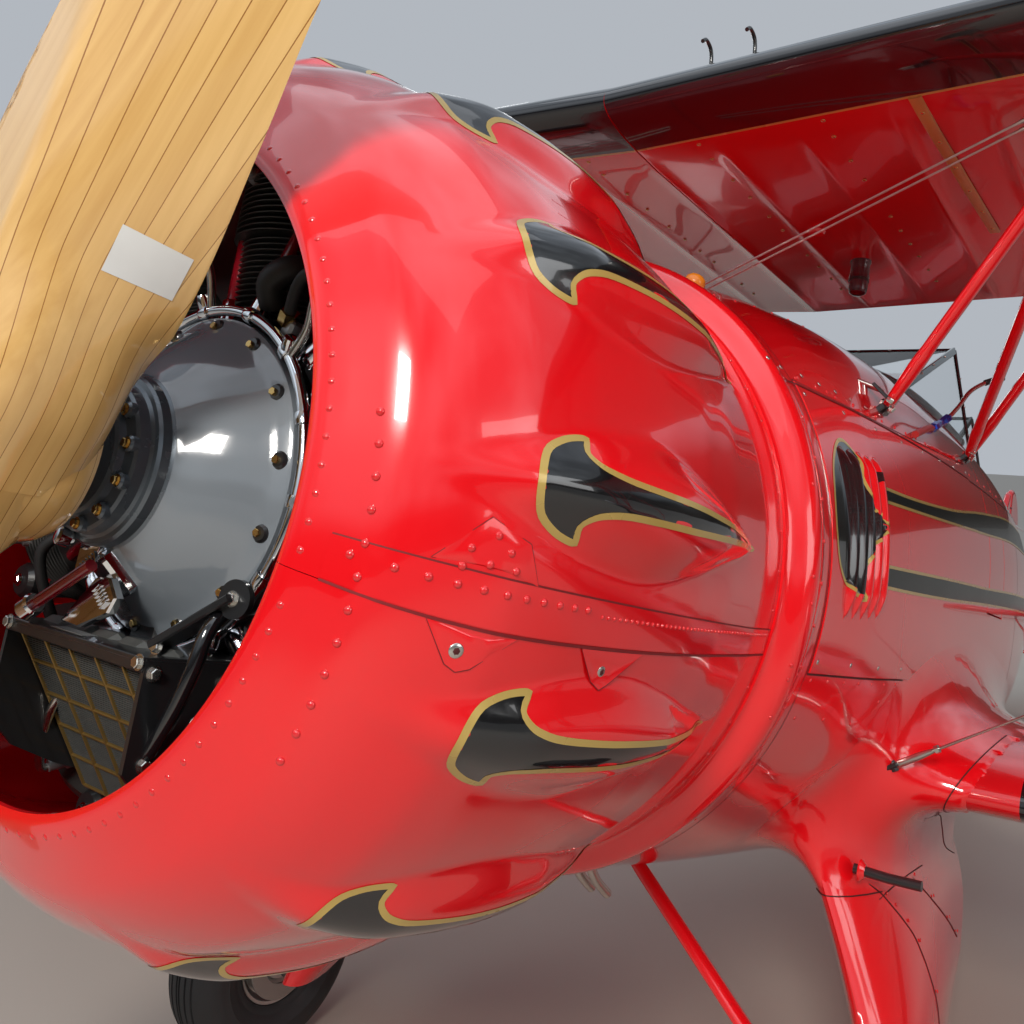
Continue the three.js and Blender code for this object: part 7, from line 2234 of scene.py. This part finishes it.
for s in (1, -1):
    cheek = [(-0.070, crown + 0.010), (0.016, crown + 0.010), (0.018, 0.06), (0.020, 0.0), (0.012, -0.016),
             (0, -0.020), (-0.012, -0.016), (-0.022, 0.0), (-0.040, 0.05), (-0.068, crown - 0.03)]
    plate = [[Vector((s * x, y, z)) for y, z in cheek] for x in (0.0482, 0.0555)]
    fork_parts.append(lofted(plate))
    fork_parts.append(hexagon((s * 0.0555, 0, 0), (s, 0, 0), 0.014, 0.010))
    fork_parts.append(bar((s * 0.030, king_y - 0.02, crown + 0.012), (s * 0.100, king_y - 0.02, crown + 0.012),
                          AFT, 0.016, 0.005))
shown("tailwheel_fork_steel", [at_tail(merged(*fork_parts))], gloss_black, "plain_steel", "tailwheel_fork",
      body="tailwheel_fork", sharp=35)
small = [(0.060, -0.0275), (0.064, -0.034), (0.076, -0.0395), (0.096, -0.0418), (0.112, -0.0385),
         (0.123, -0.030), (0.1285, -0.019), (0.1240, -0.0175), (0.1240, -0.0125), (0.1296, -0.0115),
         (0.1299, 0.0)]
small = small + [(r, -w) for r, w in small[-2::-1]]
shown("tailwheel_tyre", [at_tail(turned(small, 96, (0, 0, 0), LEFT))], tyre_black, "tyre_rubber", "tailwheel",
      body="tailwheel", sharp=34)
tail_hub = turned([(0.0106, -0.034), (0.022, -0.034), (0.026, -0.028), (0.050, -0.022), (0.056, -0.027),
                   (0.0598, -0.0275), (0.0598, 0.0275), (0.056, 0.027), (0.050, 0.022), (0.026, 0.028),
                   (0.022, 0.034), (0.0106, 0.034)], 64, (0, 0, 0), LEFT)
shown("tailwheel_hub", [at_tail(tail_hub)], hub_cast, "hub_aluminium", body="tailwheel", sharp=28)

# Fuselage fasteners: screws and camlocks along the panel edges, the deck and the collar, with
# the joint lines between the sheets drawn as fine dark grooves.
def hull_line(points, width=0.0024, lift=0.0006):
    """A groove drawn along points that lie on the hull."""
    rows = []
    for i, p in enumerate(points):
        n = hull_normal(p)
        across = n.cross(points[min(i + 1, len(points) - 1)] - points[max(i - 1, 0)]).normalized()
        rows.append([p + n * lift - across * width / 2, p + n * lift + across * width / 2])
    return lofted(rows, around=False, caps=False)


def deck_joint(y):
    """Height of the joint between the side sheets and the deck."""
    return 0.37 + 0.042 * (y - 1.16)


def over_panel(y, z):
    """The side panel's lift where there is a panel."""
    return panel_lift(y, z) if PANEL_Y[0] < y < PANEL_Y[1] else 0.0


foot_of, top_of = (lambda y: float(panel_foot(y)[0])), (lambda y: float(panel_top(y)[0]))
grooves, screws, bright = [], [], []
for side in (1, -1):
    def girdle(y, first, last, count):
        return [hull_point(y, t if side > 0 else math.pi - t) for t in np.linspace(first, last, count)]
    deck = [on_side(y, deck_joint(y), over_panel(y, deck_joint(y)), side) for y in between(1.13, 3.86, 0.03)]
    grooves.append(hull_line(deck, 0.0034, 0.0012))
    edge = ([on_side(1.211, z, 0, side) for z in np.linspace(foot_of(1.22) - 0.003, top_of(1.22), 24)],
            [on_side(y, foot_of(y) - 0.0035, 0, side) for y in between(1.211, 2.405, 0.03)],
            [on_side(y, top_of(y) + 0.0035, 0, side) for y in between(1.211, 2.405, 0.03)])
    grooves += [hull_line(run, 0.0034, 0.0010) for run in edge]
    grooves += [hull_line(girdle(y, -1.05, 0.62, 40)) for y in (2.412, 3.17)]
    grooves.append(hull_line(girdle(1.205, -1.45, 1.50, 80), 0.0018))
    locks = [(y, deck_joint(y) + 0.030, over_panel(y, deck_joint(y) + 0.030))
             for y in (1.127, 1.196, 1.273, 1.343, 1.411, 1.480, 1.560, 1.640)]
    for y in between(1.235, 2.39, 0.165):
        locks += [(y, top_of(y) - 0.020, 0.0030), (y, foot_of(y) + 0.020, 0.0030)]
    bright += [(p, hull_normal(p)) for p in (on_side(*lock, side) for lock in locks)]
    for y in between(1.24, 2.38, 0.082):
        screws += [on_side(y, z, 0, side) for z in (top_of(y) + 0.014, foot_of(y) - 0.014)]
    places = [(y, deck_joint(y) + 0.022) for y in between(1.25, 3.80, 0.12)]
    places += [(1.176, float(z)) for z in np.linspace(-0.50, 0.52, 15)]
    places += [(1.125, 0.173), (1.122, 0.017), (1.128, -0.028), (1.118, -0.133), (1.122, -0.157),
               (1.122, -0.223), (1.246, -0.227), (1.379, -0.231), (1.532, -0.241), (1.650, -0.195),
               (1.664, -0.061), (1.655, 0.074)]
    screws += [Vector((side * hull_side(y, z), y, z)) for y, z in places]
    screws += [Vector((side * 0.30, y, hull_height(y, 0.30))) for y in between(1.25, 2.05, 0.10)]
belly = [Vector((0, y, hull_height(y, 0, -1))) for y in between(1.2, 3.85, 0.05)]
grooves.append(hull_line(belly))
top_line = [Vector((0, y, hull_height(y, 0))) for y in between(1.2, 2.05, 0.05)]
grooves.append(hull_line(top_line))
shown("fuselage_joint_lines", grooves, seam_shadow, "red_panels")
fasteners("fuselage_screws", [(p, hull_normal(p)) for p in screws], 0.0040, 0.0018, rivet_red, sides=10,
          rings=4)
fasteners("fuselage_camlocks", bright, 0.0050, 0.0016, bright_screw, sides=14)
knob_at = Vector((0.256, 1.237, hull_height(1.237, 0.256)))
orange = finish("orange_plastic", (0.80, 0.22, 0.01), rough=0.3, coat=0.4, vary=0.06)
knob = turned([(0, 0), (0.022, 0), (0.023, 0.006), (0.019, 0.016), (0.011, 0.022), (0, 0.024)], 36, knob_at,
              hull_normal(knob_at))
shown("fuel_drain_button", [knob], orange, "red_panels")
